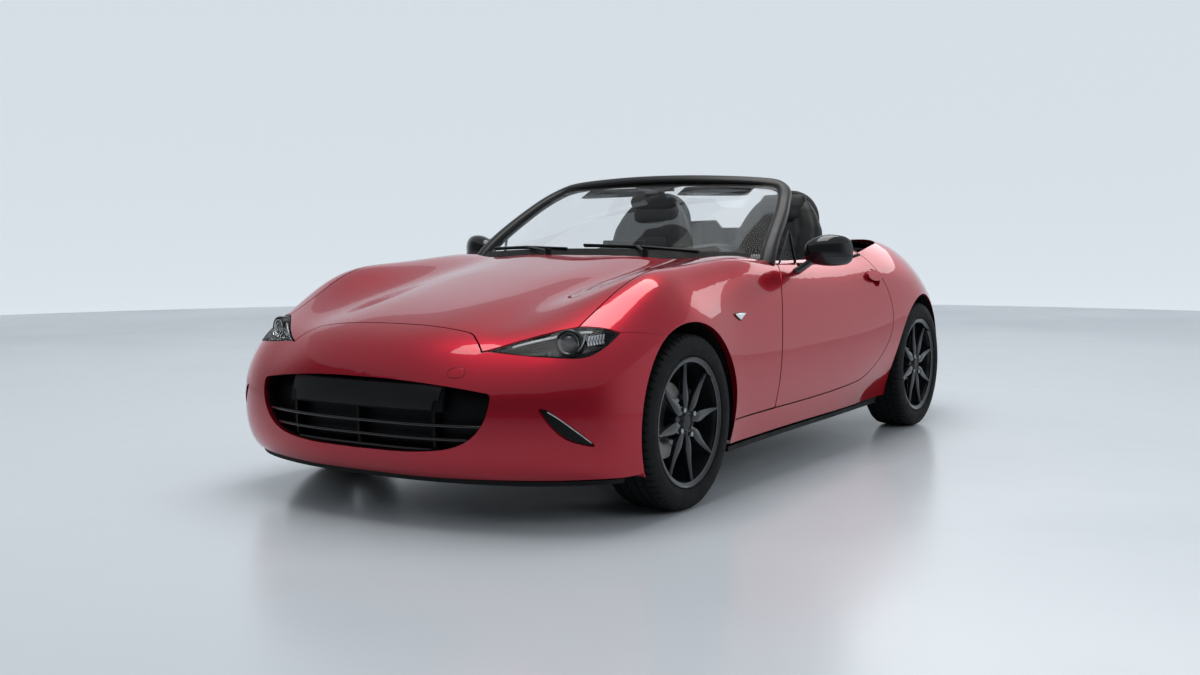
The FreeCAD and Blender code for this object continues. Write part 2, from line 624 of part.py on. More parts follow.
def loft(wires):
    s = Part.makeLoft(wires, True, False)
    if s.Volume < 0:
        s.reverse()
    return s


EX, EY, EZ = V(1, 0, 0), V(0, 1, 0), V(0, 0, 1)
shell_m = loft([oval(V(x, y, z), EY, EZ, ry, rz, 12, 2.4) for x, y, z, ry, rz in (
    (796, 1046, 858, 20, 26), (812, 1050, 862, 38, 44), (842, 1056, 866, 48, 56), (880, 1066, 868, 54, 63),
    (920, 1080, 868, 54, 62), (950, 1096, 866, 46, 54), (968, 1108, 862, 32, 38), (975, 1114, 860, 16, 20))])
stalk = loft([oval(V(x, y, z), EY, (EX * 0.6 + EZ * -0.8), ry, rz, 12, 2.4) for x, y, z, ry, rz in (
    (768, 1030, 786, 34, 14), (800, 1036, 808, 26, 13), (824, 1044, 828, 24, 14))])
shell_m = shell_m.cut(block(780, 990, dim("mirror_face_y"), 1200, 780, 960))
mirror = biggest(shell_m.fuse(stalk).cut(door))
feature("mirror_left", mirror)
feature("mirror_right", flip(mirror))

tri = [V(738, 912, 815), V(738, 1070, 812), V(712, 1058, 948)]
pane = Part.Face(Part.makePolygon(tri + tri[:1]))
pane = biggest(pane.extrude(V(-4, 0, -0.7)).cut(door))
feature("quarter_glass_left", pane)
feature("quarter_glass_right", flip(pane))

# ---------------------------------------------------------------- windscreen
PATH = [(716, 846, 806), (708, 880, 846), (692, 948, 902), (672, 1040, 964), (648, 1132, 1022), (616, 1226, 1080), (584, 1290, 1117),
        (540, 1320, 1141), (470, 1317, 1154), (330, 1297, 1165), (160, 1281, 1172), (0, 1276, 1174)]
SIZE = [(30, 26), (30, 26), (29, 26), (28, 25), (28, 24), (28, 23), (28, 22), (27, 21), (26, 20), (25, 19), (25, 19), (25, 19)]
path = [V(*q) for q in PATH] + [V(-q[0], q[1], q[2]) for q in PATH[-2::-1]]
sizes = SIZE + SIZE[-2::-1]
wires = []
for i, c in enumerate(path):
    t = (path[min(i + 1, len(path) - 1)] - path[max(i - 1, 0)]).normalize()
    n = V(0.30 * c.x / 716.0, -0.50, 0.84)
    a = n.cross(t).normalize()
    b = t.cross(a).normalize()
    wires.append(oval(c, a, b, sizes[i][0], sizes[i][1], 12, 2.8))
screen_frame = loft(wires)
cowl = biggest(common(SKIN, prism(SCUTTLE, "xy", 300, 1200, -gf)))
cowl.translate(V(0, 0, -dim("cowl_drop")))
rim = minus(prism(SCUTTLE, "xy", 300, 1200, -gf - 1), prism(SCUTTLE, "xy", 300, 1200, -gf - 5), prism(CABIN, "xy", 200, 1300, 14))
rim = rim.common(thick(NET, dim("cowl_drop") + 2, SIGN))
feet = [block(680, 760, 800, 960, 700, 1000), block(-760, -680, 800, 960, 700, 1000)]
cowl = biggest(biggest(cowl.fuse(rim)).cut(feet))
wing_l = [o for n, o in NODES if n == "front_fender_left"][0].Shape.copy()
wing_l.translate(V(0, -Y0, 0))
screen_frame = biggest(screen_frame.cut([wing_l, flip(wing_l), door, flip(door)]))


def screen_point(s, t):
    """A point of the windscreen; s runs across from -1 to 1, t from the base up."""
    bx, by, bz = 712 * s, 640 + 196 * abs(s) ** 2.1, 850 - 22 * s * s
    tx, ty, tz = 566 * s, 1274 + 34 * s * s, 1172 - 26 * s * s
    bulge = 14.0 * math.sin(math.pi * t) * (1 - 0.4 * s * s)
    return (bx + (tx - bx) * t, by + (ty - by) * t - 0.47 * bulge, bz + (tz - bz) * t + 0.88 * bulge)


SCREEN = fit([[screen_point(-1 + 2 * j / 12.0, 0.035 + 0.965 * i / 8.0) for j in range(13)] for i in range(9)], 4)
pane_s = surface(SCREEN)
ns = pane_s.normal(0.5, 0.5)
glass = thick(SCREEN, dim("glass_thick"), 1.0 if ns.z > 0 else -1.0)
glass = biggest(glass.cut(screen_frame))
feature("windscreen_frame", screen_frame)
feature("windscreen", glass)


def on_glass(s, t, lift):
    p = V(*screen_point(s, t))
    return p + V(0.1 * s, -0.5, 0.86) * lift


arms = []
pivots = []
for s0, s1, sp in ((-0.86, -0.16, -0.24), (-0.06, 0.66, 0.40)):
    a, b = on_glass(s0, 0.085, 12), on_glass(s1, 0.045, 12)
    m = on_glass((s0 + s1) / 2, 0.075, 12)
    for p, q, r in ((a, m, 5.0), (m, b, 5.0)):
        arms.append(Part.makeCylinder(r, (q - p).Length, p, q - p))
    arms.append(Part.makeSphere(5.0, m))
    piv = on_glass(sp, 0.0, 26) + V(0, -26, -6)
    arms.append(Part.makeCylinder(6.0, (m - piv).Length, piv, m - piv))
    arms.append(Part.makeCylinder(13.0, 46, piv + V(0, 0, -34), V(0, 0, 1)))
    pivots.append(Part.makeCylinder(14.0, 400, piv + V(0, 0, -200), V(0, 0, 1)))
sweep = []
for k in (0, 5):
    g = arms[k].fuse(arms[k + 1:k + 5]).cut(glass)
    sweep.append(biggest(g))
feature("wipers", Part.Compound(sweep))
feature("cowl_panel", biggest(cowl.cut(pivots).cut(prism(BONNET, "xy", 300, 1200, gl))))

# ---------------------------------------------------------------- lamps
CORE = thick(inward(NET, OUTER, T, SIGN), 70.0, SIGN)
BACK = thick(inward(NET, OUTER, T + 66.0, SIGN), 5.0, SIGN)
lens = biggest(SKIN.common(prism(LAMP, "xy", 300, 1200, -1)).cut(prism(BONNET, "xy", 300, 1200, gl)))
feature("headlamp_lenses", Part.Compound([lens, flip(lens)]))
bowl = CORE.common(minus(prism(LAMP, "xy", 300, 1200, -1), prism(LAMP, "xy", 300, 1200, -5))).fuse(BACK.common(prism(LAMP, "xy", 300, 1200, -1)))
bowl = biggest(bowl.common(block(300, 900, -800, 0, 380, 800)))
bowl = biggest(bowl.cut(arch(RA + 12, 0)))
bowl = biggest(bowl.cut(prism(BONNET, "xy", 300, 1200, gl)))
feature("headlamp_housings", Part.Compound([bowl, flip(bowl)]))
rear_lens = biggest(SKIN_DOOR.common(prism(TAIL, "xz", 2800, 3300, -1)))
feature("tail_lamps", Part.Compound([rear_lens, flip(rear_lens)]))
blade = biggest(thick(inward(NET, OUTER, 10.0, SIGN), 14.0, SIGN).common(prism(SLOT, "xz", -700, -400, -0.6)))
side_lamp = biggest(thick(NET, -4.0, SIGN).common(prism([[(354, 648), (406, 650), (458, 646)], [(458, 646), (424, 634), (396, 622)], [(396, 622), (372, 634), (354, 648)]], "yz", 700, 1000)))
feature("marker_lamps", Part.Compound([blade, flip(blade), side_lamp, flip(side_lamp)]))

# ---------------------------------------------------------------- air opening
layer = thick(inward(NET, OUTER, 22.0, SIGN), 14.0, SIGN)
opening = prism(GRILLE, "xz", -800, -500, -0.8)
inner = layer.common(opening)
bars = [inner.common(block(-330, 330, -900, -400, 378, 466))]
for z in (332, 288, 252):
    bars.append(inner.common(block(-600, 600, -900, -400, z, z + 9)))
mesh_back = thick(inward(NET, OUTER, 60.0, SIGN), 6.0, SIGN).common(opening)
posts = [thick(inward(NET, OUTER, 22.0, SIGN), 40.0, SIGN).common(opening).common(block(x - 5, x + 5, -900, -400, 200, 500)) for x in (-300, 0, 300)]
grille = bars[0].fuse(bars[1:] + posts + [mesh_back])
feature("grille", biggest(grille))

# ---------------------------------------------------------------- black trim under the skin
lip = prism(mirror_sides([[(0, -676), (232, -667), (444, -620), (618, -541), (730, -449), (778, -390), (790, -352)],
                          [(790, -352), (0, -352)]]), "xy", 148, 163)
strip = prism([[(800, 352), (786, 700), (779, 1000), (775, 1350), (768, 1650), (760, 1940)], [(760, 1940), (730, 1940)],
               [(730, 1940), (745, 1350), (770, 352)], [(770, 352), (800, 352)]], "xy", 146, 164)
valance = prism(mirror_sides([[(0, 3084), (198, 3076), (370, 3050), (495, 3022), (556, 2996), (640, 2940), (700, 2860), (750, 2740)],
                              [(750, 2740), (0, 2740)]]), "xy", 190, 205)
valance = valance.cut([block(-440, -220, 2980, 3200, 100, 300), arch(RB + 6, WB), arch(RB + 6, WB, -1000, -500)])
feature("underbody_trim", Part.Compound([biggest(lip.cut([arch(RA + 6, 0), arch(RA + 6, 0, -1000, -500)])), strip, flip(strip), biggest(valance)]))

# ---------------------------------------------------------------- arch liners
rings = []
for r, y, x0, x1, z0 in ((RA + 6, 0.0, 480.0, 816.0, 215.0), (RB + 6, WB, 500.0, 826.0, 225.0)):
    lin = minus(arch(r + dim("liner_thick"), y, x0, x1), arch(r, y, x0, x1)).common(block(x0, x1, y - 400, y + 400, z0, 800))
    rings += [lin, flip(lin)]

# ---------------------------------------------------------------- floor and structure
ft = "Dims.floor_thick"
INNER = bulk(inward(NET, OUTER, 9.0, SIGN), 60.0)


def two(name, lo, hi):
    """A box on the left side and its mirror image on the right."""
    return [box(name + "_l", lo, hi), box(name + "_r", ("-(%s)" % hi[0],) + tuple(lo[1:]), ("-(%s)" % lo[0],) + tuple(hi[1:]))]


def inside(shapes):
    """The boxes' solids, kept clear of the body's skin."""
    doc.recompute()
    out = []
    for o in shapes:
        q = o.Shape.common(INNER)
        out.append(biggest(q))
    return out


# floor plates with the jacking pads, from the tunnel out to the sills
pans = []
for k, (p, jf, jr) in enumerate(zip(two("pan", (120, 480, 165), (762, 1945, "165 + " + ft)), two("jack_f", (660, 560, 158), (720, 620, 165)),
                                    two("jack_r", (660, 1800, 158), (720, 1860, 165)))):
    pans.append(fuse("pan_%d" % k, [p, jf, jr]))
pans = inside(pans)
feature("floor_pan", Part.Compound(pans))
tunnel = inside([fuse("tunnel", two("tunnel_side", (110, 480, 165), (120, 1945, 430)) + [box("tunnel_top", (-120, 480, 420), (120, 1945, 430))])])
feature("centre_tunnel", tunnel[0])
posts = inside(two("inner_sill", (684, 691, 175), (698, 1900, 330)) + two("pillar", (620, 481, 175), (680, 690, 790))
               + two("b_post", (640, 1901, 175), (698, 1944, 780))
               + [box("firewall", (-690, 470, 165), (690, 480, 790)), box("bulkhead", (-690, 1945, 165), (690, 1955, 780))])
feature("cabin_structure", Part.Compound(posts))
rails = inside([fuse("front_frame", two("rail", (380, -560, 330), (450, 470, 400)) + [
    box("front_beam", (-400, -585, 320), (400, -545, 440)),
    box("radiator", (-340, -560, 230), (340, -520, 560)), box("front_cross", (-380, -60, 330), (380, 20, 370))])])
apron = prism(poly([(-420, 300), (-420, 540), (-250, 610), (-60, 680), (150, 720), (380, 745), (469, 752), (469, 300)]), "yz", 462, 470)
apron = biggest(apron.common(INNER))
feature("front_structure", Part.Compound(rails + [apron, flip(apron)]))
bay = inside(two("boot_side", (485, 2261, 431), (495, 2979, 780)) + two("rail_rear", (400, 1955, 330), (470, 2249, 419)) + [
    box("shelf", (-640, 1955, 770), (640, 2249, 780)), box("boot_front", (-495, 2250, 431), (495, 2260, 780)),
    box("boot_floor", (-495, 2250, 420), (495, 2990, 430)), box("boot_rear", (-484, 2980, 431), (484, 2990, 690))])
feature("boot_tub", Part.Compound(bay))
tub_shape = Part.Compound(pans + tunnel + posts + rails + [apron, flip(apron)] + bay)
liners = [r.common(INNER).cut(tub_shape) for r in rings]
feature("arch_liners", Part.Compound([biggest(q) for q in liners]))

# ---------------------------------------------------------------- cabin
dash = prism([
    [(700, 560), (700, 800)],
    [(700, 800), (716, 826), (760, 838)],
    [(760, 838), (900, 846), (1000, 846)],
    [(1000, 846), (1052, 832), (1076, 790)],
    [(1076, 790), (1070, 720), (1030, 640), (960, 590), (880, 560)],
    [(880, 560), (700, 560)]], "yz", -672, 672)
hood = Part.makeCylinder(112, 150, V(345, 940, 772), V(0, 1, 0)).cut(Part.makeCylinder(98, 60, V(345, 1032, 772), V(0, 1, 0)))
console = prism([
    [(1000, 431), (1000, 700)],
    [(1000, 700), (1090, 640), (1200, 560), (1300, 530)],
    [(1300, 530), (1780, 545)],
    [(1780, 545), (1810, 600), (1860, 640)],
    [(1860, 640), (1940, 640)],
    [(1940, 640), (1940, 431)],
    [(1940, 431), (1000, 431)]], "yz", -105, 105)
lever = Part.makeCylinder(7, 110, V(0, 1330, 530), V(0, 0, 1)).fuse(Part.makeSphere(24, V(0, 1330, 650)))
front = [(-760, 400), (-760, 912)] + [(x, 688 + 224 * abs(x / 712.0) ** 2.1) for x in range(-672, 673, 112)] + [(760, 912), (760, 400)]
dash = dash.cut(prism(poly(front), "xy", 768, 1000))
dash = biggest(dash.fuse(hood))
feature("dashboard", dash)
feature("centre_console", biggest(biggest(console.cut(dash)).fuse(lever)))

rise = []
for k, x in (("l", 345.0), ("r", -345.0)):
    for q, dx in (("a", -112.0), ("b", 112.0)):
        rise.append(rod("hoop_%s%s" % (k, q), (x + dx, 1875, 780), (x + dx, 1895, 1000), "Dims.hoop_tube"))
    ar = doc.addObject("Part::Torus", "hoop_arch_" + k)
    bind(ar, Radius1=112.0, Radius2="Dims.hoop_tube", Angle3=180.0)
    ar.Placement = Placement(V(x, 1895, 1000), Rotation(V(1, 0, 0), 90))
    rise.append(ar)
    rise.append(box("hoop_foot_" + k, (x - 150, 1850, 770), (x + 150, 1944.5, 782)))
hoops = fuse("hoops", rise)
doc.recompute()
hoop_shape = hoops.Shape.cut(tub_shape)
feature("roll_hoops", Part.Compound(hoop_shape.Solids))


# ---------------------------------------------------------------- sketched pieces
def role(body, name):
    return [f for f in body.Origin.OriginFeatures if f.Role == name][0]


def sketch(body, name, plane, points, offset=0.0):
    """A closed, fully dimensioned polygon; its numbers may be expressions over the sheet."""
    s = body.newObject("Sketcher::SketchObject", name)
    s.AttachmentSupport = [(role(body, plane), "")]
    s.MapMode = "FlatFace"
    if isinstance(offset, str):
        s.setExpression(".AttachmentOffset.Base.z", offset)
    else:
        s.AttachmentOffset = Placement(V(0, 0, offset), Rotation())
    num = [[evaluate(c) if isinstance(c, str) else float(c) for c in p] for p in points]
    n = len(points)
    for i in range(n):
        a, b = num[i], num[(i + 1) % n]
        s.addGeometry(Part.LineSegment(V(a[0], a[1], 0), V(b[0], b[1], 0)), False)
    for i in range(n):
        s.addConstraint(Sketcher.Constraint("Coincident", i, 2, (i + 1) % n, 1))
    for i in range(n):
        for axis, kind, ref in ((0, "DistanceX", -2), (1, "DistanceY", -1)):
            if abs(num[i][axis]) < 1e-9:
                s.addConstraint(Sketcher.Constraint("PointOnObject", i, 1, ref))
            else:
                c = s.addConstraint(Sketcher.Constraint(kind, -1, 1, i, 1, num[i][axis]))
                if isinstance(points[i][axis], str):
                    s.setExpression("Constraints[%d]" % c, points[i][axis])
    return s


def evaluate(expr):
    """The value of an expression over the sheet."""
    text = expr
    for alias, value, _ in sorted(DIMS, key=lambda q: -len(q[0])):
        text = text.replace("Dims." + alias, "(%r)" % float(value))
    total = FreeCAD.Units.Quantity(text)
    return float(total.Value)


def revolve(body, name, points, axis="H_Axis"):
    s = sketch(body, name + "_profile", "XY_Plane", points)
    f = body.newObject("PartDesign::Revolution", name)
    f.Profile = s
    f.ReferenceAxis = (s, [axis])
    f.Angle = 360.0
    return f


def pad(body, name, plane, points, length, offset=0.0):
    s = sketch(body, name + "_outline", plane, points, offset)
    f = body.newObject("PartDesign::Pad", name)
    f.Profile = s
    bind(f, Length=length)
    return f


def hull_seat(label, x):
    b = doc.addObject("PartDesign::Body", label + "_body")
    pad(b, label + "_side", "YZ_Plane", [(1190, 330), (1185, 470), (1240, 500), (1560, 470), (1640, 500), (1735, 870), (1750, 1090),
                                        (1800, 1130), (1850, 1110), (1840, 860), (1800, 640), (1740, 420), (1660, 330)], 440.0, -220.0)
    return finish(b, label, x=x)


hull_seat("seat_left", 345.0)
hull_seat("seat_right", -345.0)

b = doc.addObject("PartDesign::Body", "deflector_body")
pad(b, "deflector_plate", "XZ_Plane", [(-400, 782), (400, 782), (400, 950), (352, 990), (96, 996), (60, 957), (-60, 957), (-96, 996),
                                      (-352, 990), (-400, 950)], 6.0, -1972.0)
finish(b, "wind_deflector")

top = loft([oval(V(0, y, zc), EX, EZ, rx, rz, 16, 3.2) for y, rx, zc, rz in (
    (1984, 560, 868, 46), (2010, 610, 868, 62), (2060, 650, 866, 74), (2130, 650, 862, 74), (2190, 600, 856, 62), (2226, 480, 850, 42))])
top = top.common(prism(CABIN, "xy", 782, 1200, -7)).cut(tub_shape)
feature("folded_soft_top", biggest(top))

eng = box("engine_block", (-220, -140, 250), ("-220 + Dims.engine_wide", "-140 + Dims.engine_len", "250 + Dims.engine_high"))
doc.recompute()
wrap = fuse("engine_all", [eng, box("engine_sump", (-120, -120, 200), (120, 330, 252))])
doc.recompute()
feature("engine", biggest(wrap.Shape.cut(tub_shape)))

drive = fuse("drive_line", [
    rod("gearbox", (0, 485, 315), (0, 1050, 300), 85.0),
    rod("prop_shaft", (0, 1045, 300), (0, 2180, 300), 32.0),
    rod("diff_case", (0, 2170, 300), (0, 2400, 300), 95.0)])
shafts = [rod("half_shaft_l", (96, 2310, 300), (640, 2310, 300), 17.0), rod("half_shaft_r", (-96, 2310, 300), (-640, 2310, 300), 17.0)]
mount = box("diff_mount", (-300, 2401, 340), (300, 2441, 400))
doc.recompute()
feature("driveline", Part.Compound([biggest(drive.Shape.cut(tub_shape))] + [q.Shape.copy() for q in shafts + [mount]]))


# ---------------------------------------------------------------- running gear
def wheel(tag, x, y, z, left):
    rot = Rotation() if left else Rotation(V(0, 0, 1), 180)
    track = "Dims.track_front" if y == 0 else "Dims.track_rear"
    ex = {"Placement.Base.x": "%s%s / 2" % ("" if left else "-", track),
          "Placement.Base.y": "Dims.front_axle_y" + ("" if y == 0 else " + Dims.wheelbase"),
          "Placement.Base.z": "Dims.axle_height"}
    b = doc.addObject("PartDesign::Body", "tyre_body_" + tag)
    R, B = "Dims.tyre_radius", "Dims.bead_radius"
    half = "Dims.tyre_width / 2"
    revolve(b, "tyre_ring_" + tag, [
        (66, B), (84, B), (84, "Dims.rim_radius + 0.5"), (92, 230), (half, 252), (96, 272), (91, 289), (80, "Dims.tyre_radius - 2"), (55, R),
        (-55, R), (-80, "Dims.tyre_radius - 2"), (-91, 289), (-96, 272), ("-" + half, 252), (-92, 230), (-84, "Dims.rim_radius + 0.5"), (-84, B), (-66, B),
        (-66, 214), (-84, 240), (-86, 262), (-78, 281), (-60, 287), (60, 287), (78, 281), (86, 262), (84, 240), (66, 214)])
    finish(b, "tyre_" + tag, x, y, z, rot, ex)
    b = doc.addObject("PartDesign::Body", "rim_body_" + tag)
    revolve(b, "rim_barrel_" + tag, [
        (84, "Dims.barrel_inner"), (90, 198), (90, "Dims.rim_radius"), (84, "Dims.rim_radius"), (84, B), (-84, B), (-84, "Dims.rim_radius"), (-90, "Dims.rim_radius"),
        (-90, 198), (-84, "Dims.barrel_inner")])
    s = sketch(b, "hub_profile_" + tag, "XY_Plane", [(25, 0), (25, 70), (50, 70), (62, 62), (74, 44), (78, 32), (82, 29), (82, 0)])
    f = b.newObject("PartDesign::Revolution", "hub_" + tag)
    f.Profile = s
    f.ReferenceAxis = (s, ["H_Axis"])
    f.Angle = 360.0
    sp = pad(b, "spoke_" + tag, "YZ_Plane", [(-12, 26), (12, 26), (17, 56), (19, 84), (12, 140), (6, 198), (-6, 198), (-12, 140), (-19, 84), (-17, 56)], 24.0, 54.0)
    pp = b.newObject("PartDesign::PolarPattern", "spokes_" + tag)
    pp.Originals = [sp]
    pp.Axis = (role(b, "X_Axis"), [""])
    pp.Angle = 360.0
    pp.setExpression("Occurrences", "Dims.spoke_count")
    b.Tip = pp
    finish(b, "wheel_rim_" + tag, x, y, z, rot, ex)
    b = doc.addObject("PartDesign::Body", "disc_body_" + tag)
    Q = "Dims.disc_radius"
    revolve(b, "disc_ring_" + tag, [
        (-30, 84), (-30, Q), ("-30 + Dims.disc_thick", Q), ("-30 + Dims.disc_thick", 84), (-8, 78), (25, 78), (25, "Dims.hub_bore"),
        (15, "Dims.hub_bore"), (15, 70), (-20, 70), (-30, 76)])
    finish(b, "brake_disc_" + tag, x, y, z, rot, ex)


TF, TR = dim("track_front") / 2, dim("track_rear") / 2
wheel("front_left", TF, 0, ZA, True)
wheel("front_right", -TF, 0, ZA, False)
wheel("rear_left", TR, WB, ZA, True)
wheel("rear_right", -TR, WB, ZA, False)


def caliper(tag, x, y, sgn, at, span=70.0, r=172.0):
    """A caliper over the disc rim; x is the disc's wheel centre, at the angle of its middle."""
    def sector(name, x0, x1, rad, ang, start):
        o = doc.addObject("Part::Cylinder", name)
        bind(o, Radius=rad, Height=abs(x1 - x0), Angle=ang)
        o.Placement = Placement(V(min(x0, x1), y, ZA), Rotation(V(0, 1, 0), 90).multiply(Rotation(V(0, 0, 1), start)))
        return o
    start = at - span / 2
    outer = sector("cal_%s" % tag, sgn * (x - 46), sgn * (x + 10), r, span, start)
    inn = sector("cal_in_%s" % tag, sgn * (x - 50), sgn * (x + 12), 98.0, 360.0, 0.0)
    slot = sector("cal_slot_%s" % tag, sgn * (x - 36), sgn * (x - 4), 138.0, 360.0, 0.0)
    return cut("cal_b_" + tag, cut("cal_a_" + tag, outer, inn), slot)


def upright(tag, x, y, sgn, extra):
    q = sgn
    parts = [
        box("up_%s" % tag, (min(q * (x - 84), q * (x - 56)), y - 32, 215), (max(q * (x - 84), q * (x - 56)), y + 32, 395)),
        rod("up_hub_%s" % tag, (q * (x - 60), y, ZA), (q * (x - 40), y, ZA), 44.0),
        rod("up_stub_%s" % tag, (q * (x - 44), y, ZA), (q * (x + 22), y, ZA), "Dims.stub_radius"),
        box("up_arm_%s" % tag, (min(q * (x - 66), q * (x - 40)), y + 28, 262), (max(q * (x - 66), q * (x - 40)), y + 112, 338)),
        caliper(tag, x, y, sgn, -90.0 + 180.0),
    ] + extra
    return parts


knuckles = {}
for tag, sgn in (("left", 1), ("right", -1)):
    xk = dim("kingpin_x")
    parts = upright("f" + tag, TF, 0.0, sgn, [
        rod("ball_low_" + tag, (sgn * xk, 0, 170), (sgn * xk, 0, 216), 13.0),
        rod("ball_up_" + tag, (sgn * xk, 0, 394), (sgn * xk, 0, 432), 12.0)])
    o = fuse("knuckle_" + tag, parts)
    finish(o, "knuckle_" + tag)

links = []
for tag, sgn in (("left", 1), ("right", -1)):
    q = sgn
    xl = dim("kingpin_x") - 17
    links += [
        rod("low_a_" + tag, (q * 300, -130, 186), (q * xl, -4, 186), 13.0),
        rod("low_b_" + tag, (q * 300, 120, 186), (q * xl, 4, 186), 13.0),
        rod("up_a_" + tag, (q * 482, -90, 420), (q * xl, -4, 420), 9.0),
        rod("up_b_" + tag, (q * 482, 90, 420), (q * xl, 4, 420), 9.0),
        rod("damper_f_" + tag, (q * 540, 34, 190), (q * 520, 40, 628), 24.0),
        rod("spring_f_" + tag, (q * 532, 36, 400), (q * 521, 40, 600), 38.0),
        rod("low_r1_" + tag, (q * 250, WB - 110, 230), (q * 672, WB - 20, 225), 12.0),
        rod("low_r2_" + tag, (q * 250, WB + 140, 230), (q * 672, WB + 24, 225), 14.0),
        rod("up_r1_" + tag, (q * 300, WB - 60, 400), (q * 672, WB - 24, 385), 11.0),
        rod("up_r2_" + tag, (q * 300, WB + 110, 400), (q * 672, WB + 24, 385), 11.0),
        rod("damper_r_" + tag, (q * 560, WB + 70, 232), (q * 540, WB + 78, 632), 22.0),
    ]
    links += upright("r" + tag, TR, WB, sgn, [])
links += [
    box("sub_f", (-310, -150, 172), (310, -100, 215)), box("sub_f2", (-310, 95, 172), (310, 145, 215)),
    box("sub_l", (250, -150, 172), (310, 145, 215)), box("sub_r", (-310, -150, 172), (-250, 145, 215)),
    box("sub_r1", (-330, WB - 130, 210), (330, WB - 90, 250)), box("sub_r2", (-330, WB + 120, 210), (330, WB + 165, 250)),
    box("sub_r3", (240, WB - 130, 210), (280, WB + 165, 415)), box("sub_r4", (-280, WB - 130, 210), (-240, WB + 165, 415))]
sus = fuse("suspension_raw", links)
doc.recompute()


def here(n):
    s = dict(NODES)[n].Shape.copy()
    s.translate(V(0, -Y0, 0))
    return s


sus_shape = sus.Shape.cut([here("driveline"), tub_shape, here("engine")])
keep = [q for q in sus_shape.Solids if q.Volume > 20000]
feature("suspension", Part.Compound(keep))

# exhaust
ex_parts = [
    rod("ex_down", (-150, 300, 150), (-150, 300, 249), 25.0),
    rod("ex_pipe1", (-150, 300, 172), (-60, 540, 196), 25.0), rod("ex_pipe2", (-60, 530, 196), (-60, 2000, 196), 25.0),
    rod("ex_pipe3", (-60, 1990, 196), (-150, 2120, 180), 25.0), rod("ex_pipe4", (-150, 2110, 180), (-150, 2570, 180), 25.0),
    rod("ex_pipe5", (-150, 2560, 180), (-200, 2760, 280), 25.0),
    box("ex_box", (-420, 2700, 215), (330, 2900, 345)),
    rod("ex_out_a", (-285, 2890, 258), (-285, 3010, 258), 28.0), rod("ex_out_b", (-375, 2890, 258), (-375, 3010, 258), 28.0)]
tipset = []
for k, x in (("a", -285.0), ("b", -375.0)):
    tipset.append(cut("ex_tip_" + k, rod("ex_tip_out_" + k, (x, 2995, 258), (x, 3140, 258), "Dims.tip_radius"),
                      rod("ex_tip_in_" + k, (x, 3030, 258), (x, 3150, 258), "Dims.tip_radius - 3")))
ex_all = fuse("exhaust_raw", ex_parts + tipset)
doc.recompute()
ex_shape = ex_all.Shape.cut([here("suspension"), here("driveline"), tub_shape, here("engine"), here("underbody_trim")])
feature("exhaust", biggest(ex_shape))

# steering wheel, drawn flat and tilted towards the driver
ring = doc.addObject("Part::Torus", "wheel_ring")
bind(ring, Radius1="Dims.steer_r", Radius2="Dims.steer_tube")
hub = rod("wheel_hub", (0, 0, -26), (0, 0, 14), 62.0)
sp = [rod("wheel_spoke_%d" % i, (0, 0, 0), (math.cos(a) * 180, math.sin(a) * 180, 0), 12.0) for i, a in enumerate((0.0, math.pi, math.pi / 2))]
column = rod("wheel_boss", (0, 0, -66), (0, 0, -20), 30.0)
sw = fuse("steering_wheel", [ring, hub, column] + sp)
tilt = Rotation(V(1, 0, 0), -66)
finish(sw, "steering_wheel", 345.0, 1218.0, 712.0, tilt)

doc.recompute()
bad = [o.Name for o in doc.Objects if "Invalid" in o.State or "Error" in o.State]
for n, o in NODES:
    if o.Shape.isNull() or not o.Shape.isValid():
        bad.append(n)
if bad:
    raise RuntimeError("failed: %s" % bad)
os.makedirs("parts", exist_ok=True)
lo, hi = [1e9] * 3, [-1e9] * 3
for n, o in NODES:
    bb = o.Shape.BoundBox
    for k, (a, c) in enumerate(((bb.XMin, bb.XMax), (bb.YMin, bb.YMax), (bb.ZMin, bb.ZMax))):
        lo[k], hi[k] = min(lo[k], a), max(hi[k], c)
    o.Shape.exportStep("parts/%s.step" % n)
    print("%-22s solids %2d faces %3d litres %8.2f" % (n, len(o.Shape.Solids), len(o.Shape.Faces), o.Shape.Volume / 1e6))
print("nodes", len(NODES), "box", [round(v, 2) for v in lo], [round(v, 2) for v in hi])
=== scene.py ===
import bpy
import bmesh
import json
import math
import numpy as np
from mathutils import Matrix, Vector, noise


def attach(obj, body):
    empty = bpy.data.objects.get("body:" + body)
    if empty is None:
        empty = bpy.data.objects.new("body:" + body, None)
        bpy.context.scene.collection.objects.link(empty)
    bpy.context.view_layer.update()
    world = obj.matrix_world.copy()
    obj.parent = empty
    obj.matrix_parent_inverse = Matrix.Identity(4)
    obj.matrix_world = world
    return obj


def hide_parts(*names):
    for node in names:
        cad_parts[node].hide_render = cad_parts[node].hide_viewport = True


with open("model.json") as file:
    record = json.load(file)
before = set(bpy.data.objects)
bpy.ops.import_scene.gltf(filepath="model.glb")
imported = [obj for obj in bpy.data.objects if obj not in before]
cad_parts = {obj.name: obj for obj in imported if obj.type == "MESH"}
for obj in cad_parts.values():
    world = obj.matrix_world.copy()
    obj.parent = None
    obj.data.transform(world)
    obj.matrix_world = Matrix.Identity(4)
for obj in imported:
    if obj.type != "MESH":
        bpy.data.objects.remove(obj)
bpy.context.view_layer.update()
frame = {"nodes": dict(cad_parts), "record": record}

YA = -1.21036            # the front axle's y in the frame, metres
WB = 2.310               # wheelbase
R = math.radians


def F(x, y, z):
    """Millimetres from the front axle's centre line on the ground, as metres in the frame."""
    return Vector((x / 1000.0, y / 1000.0 + YA, z / 1000.0))


# ------------------------------------------------------------------ materials
MATS = {}


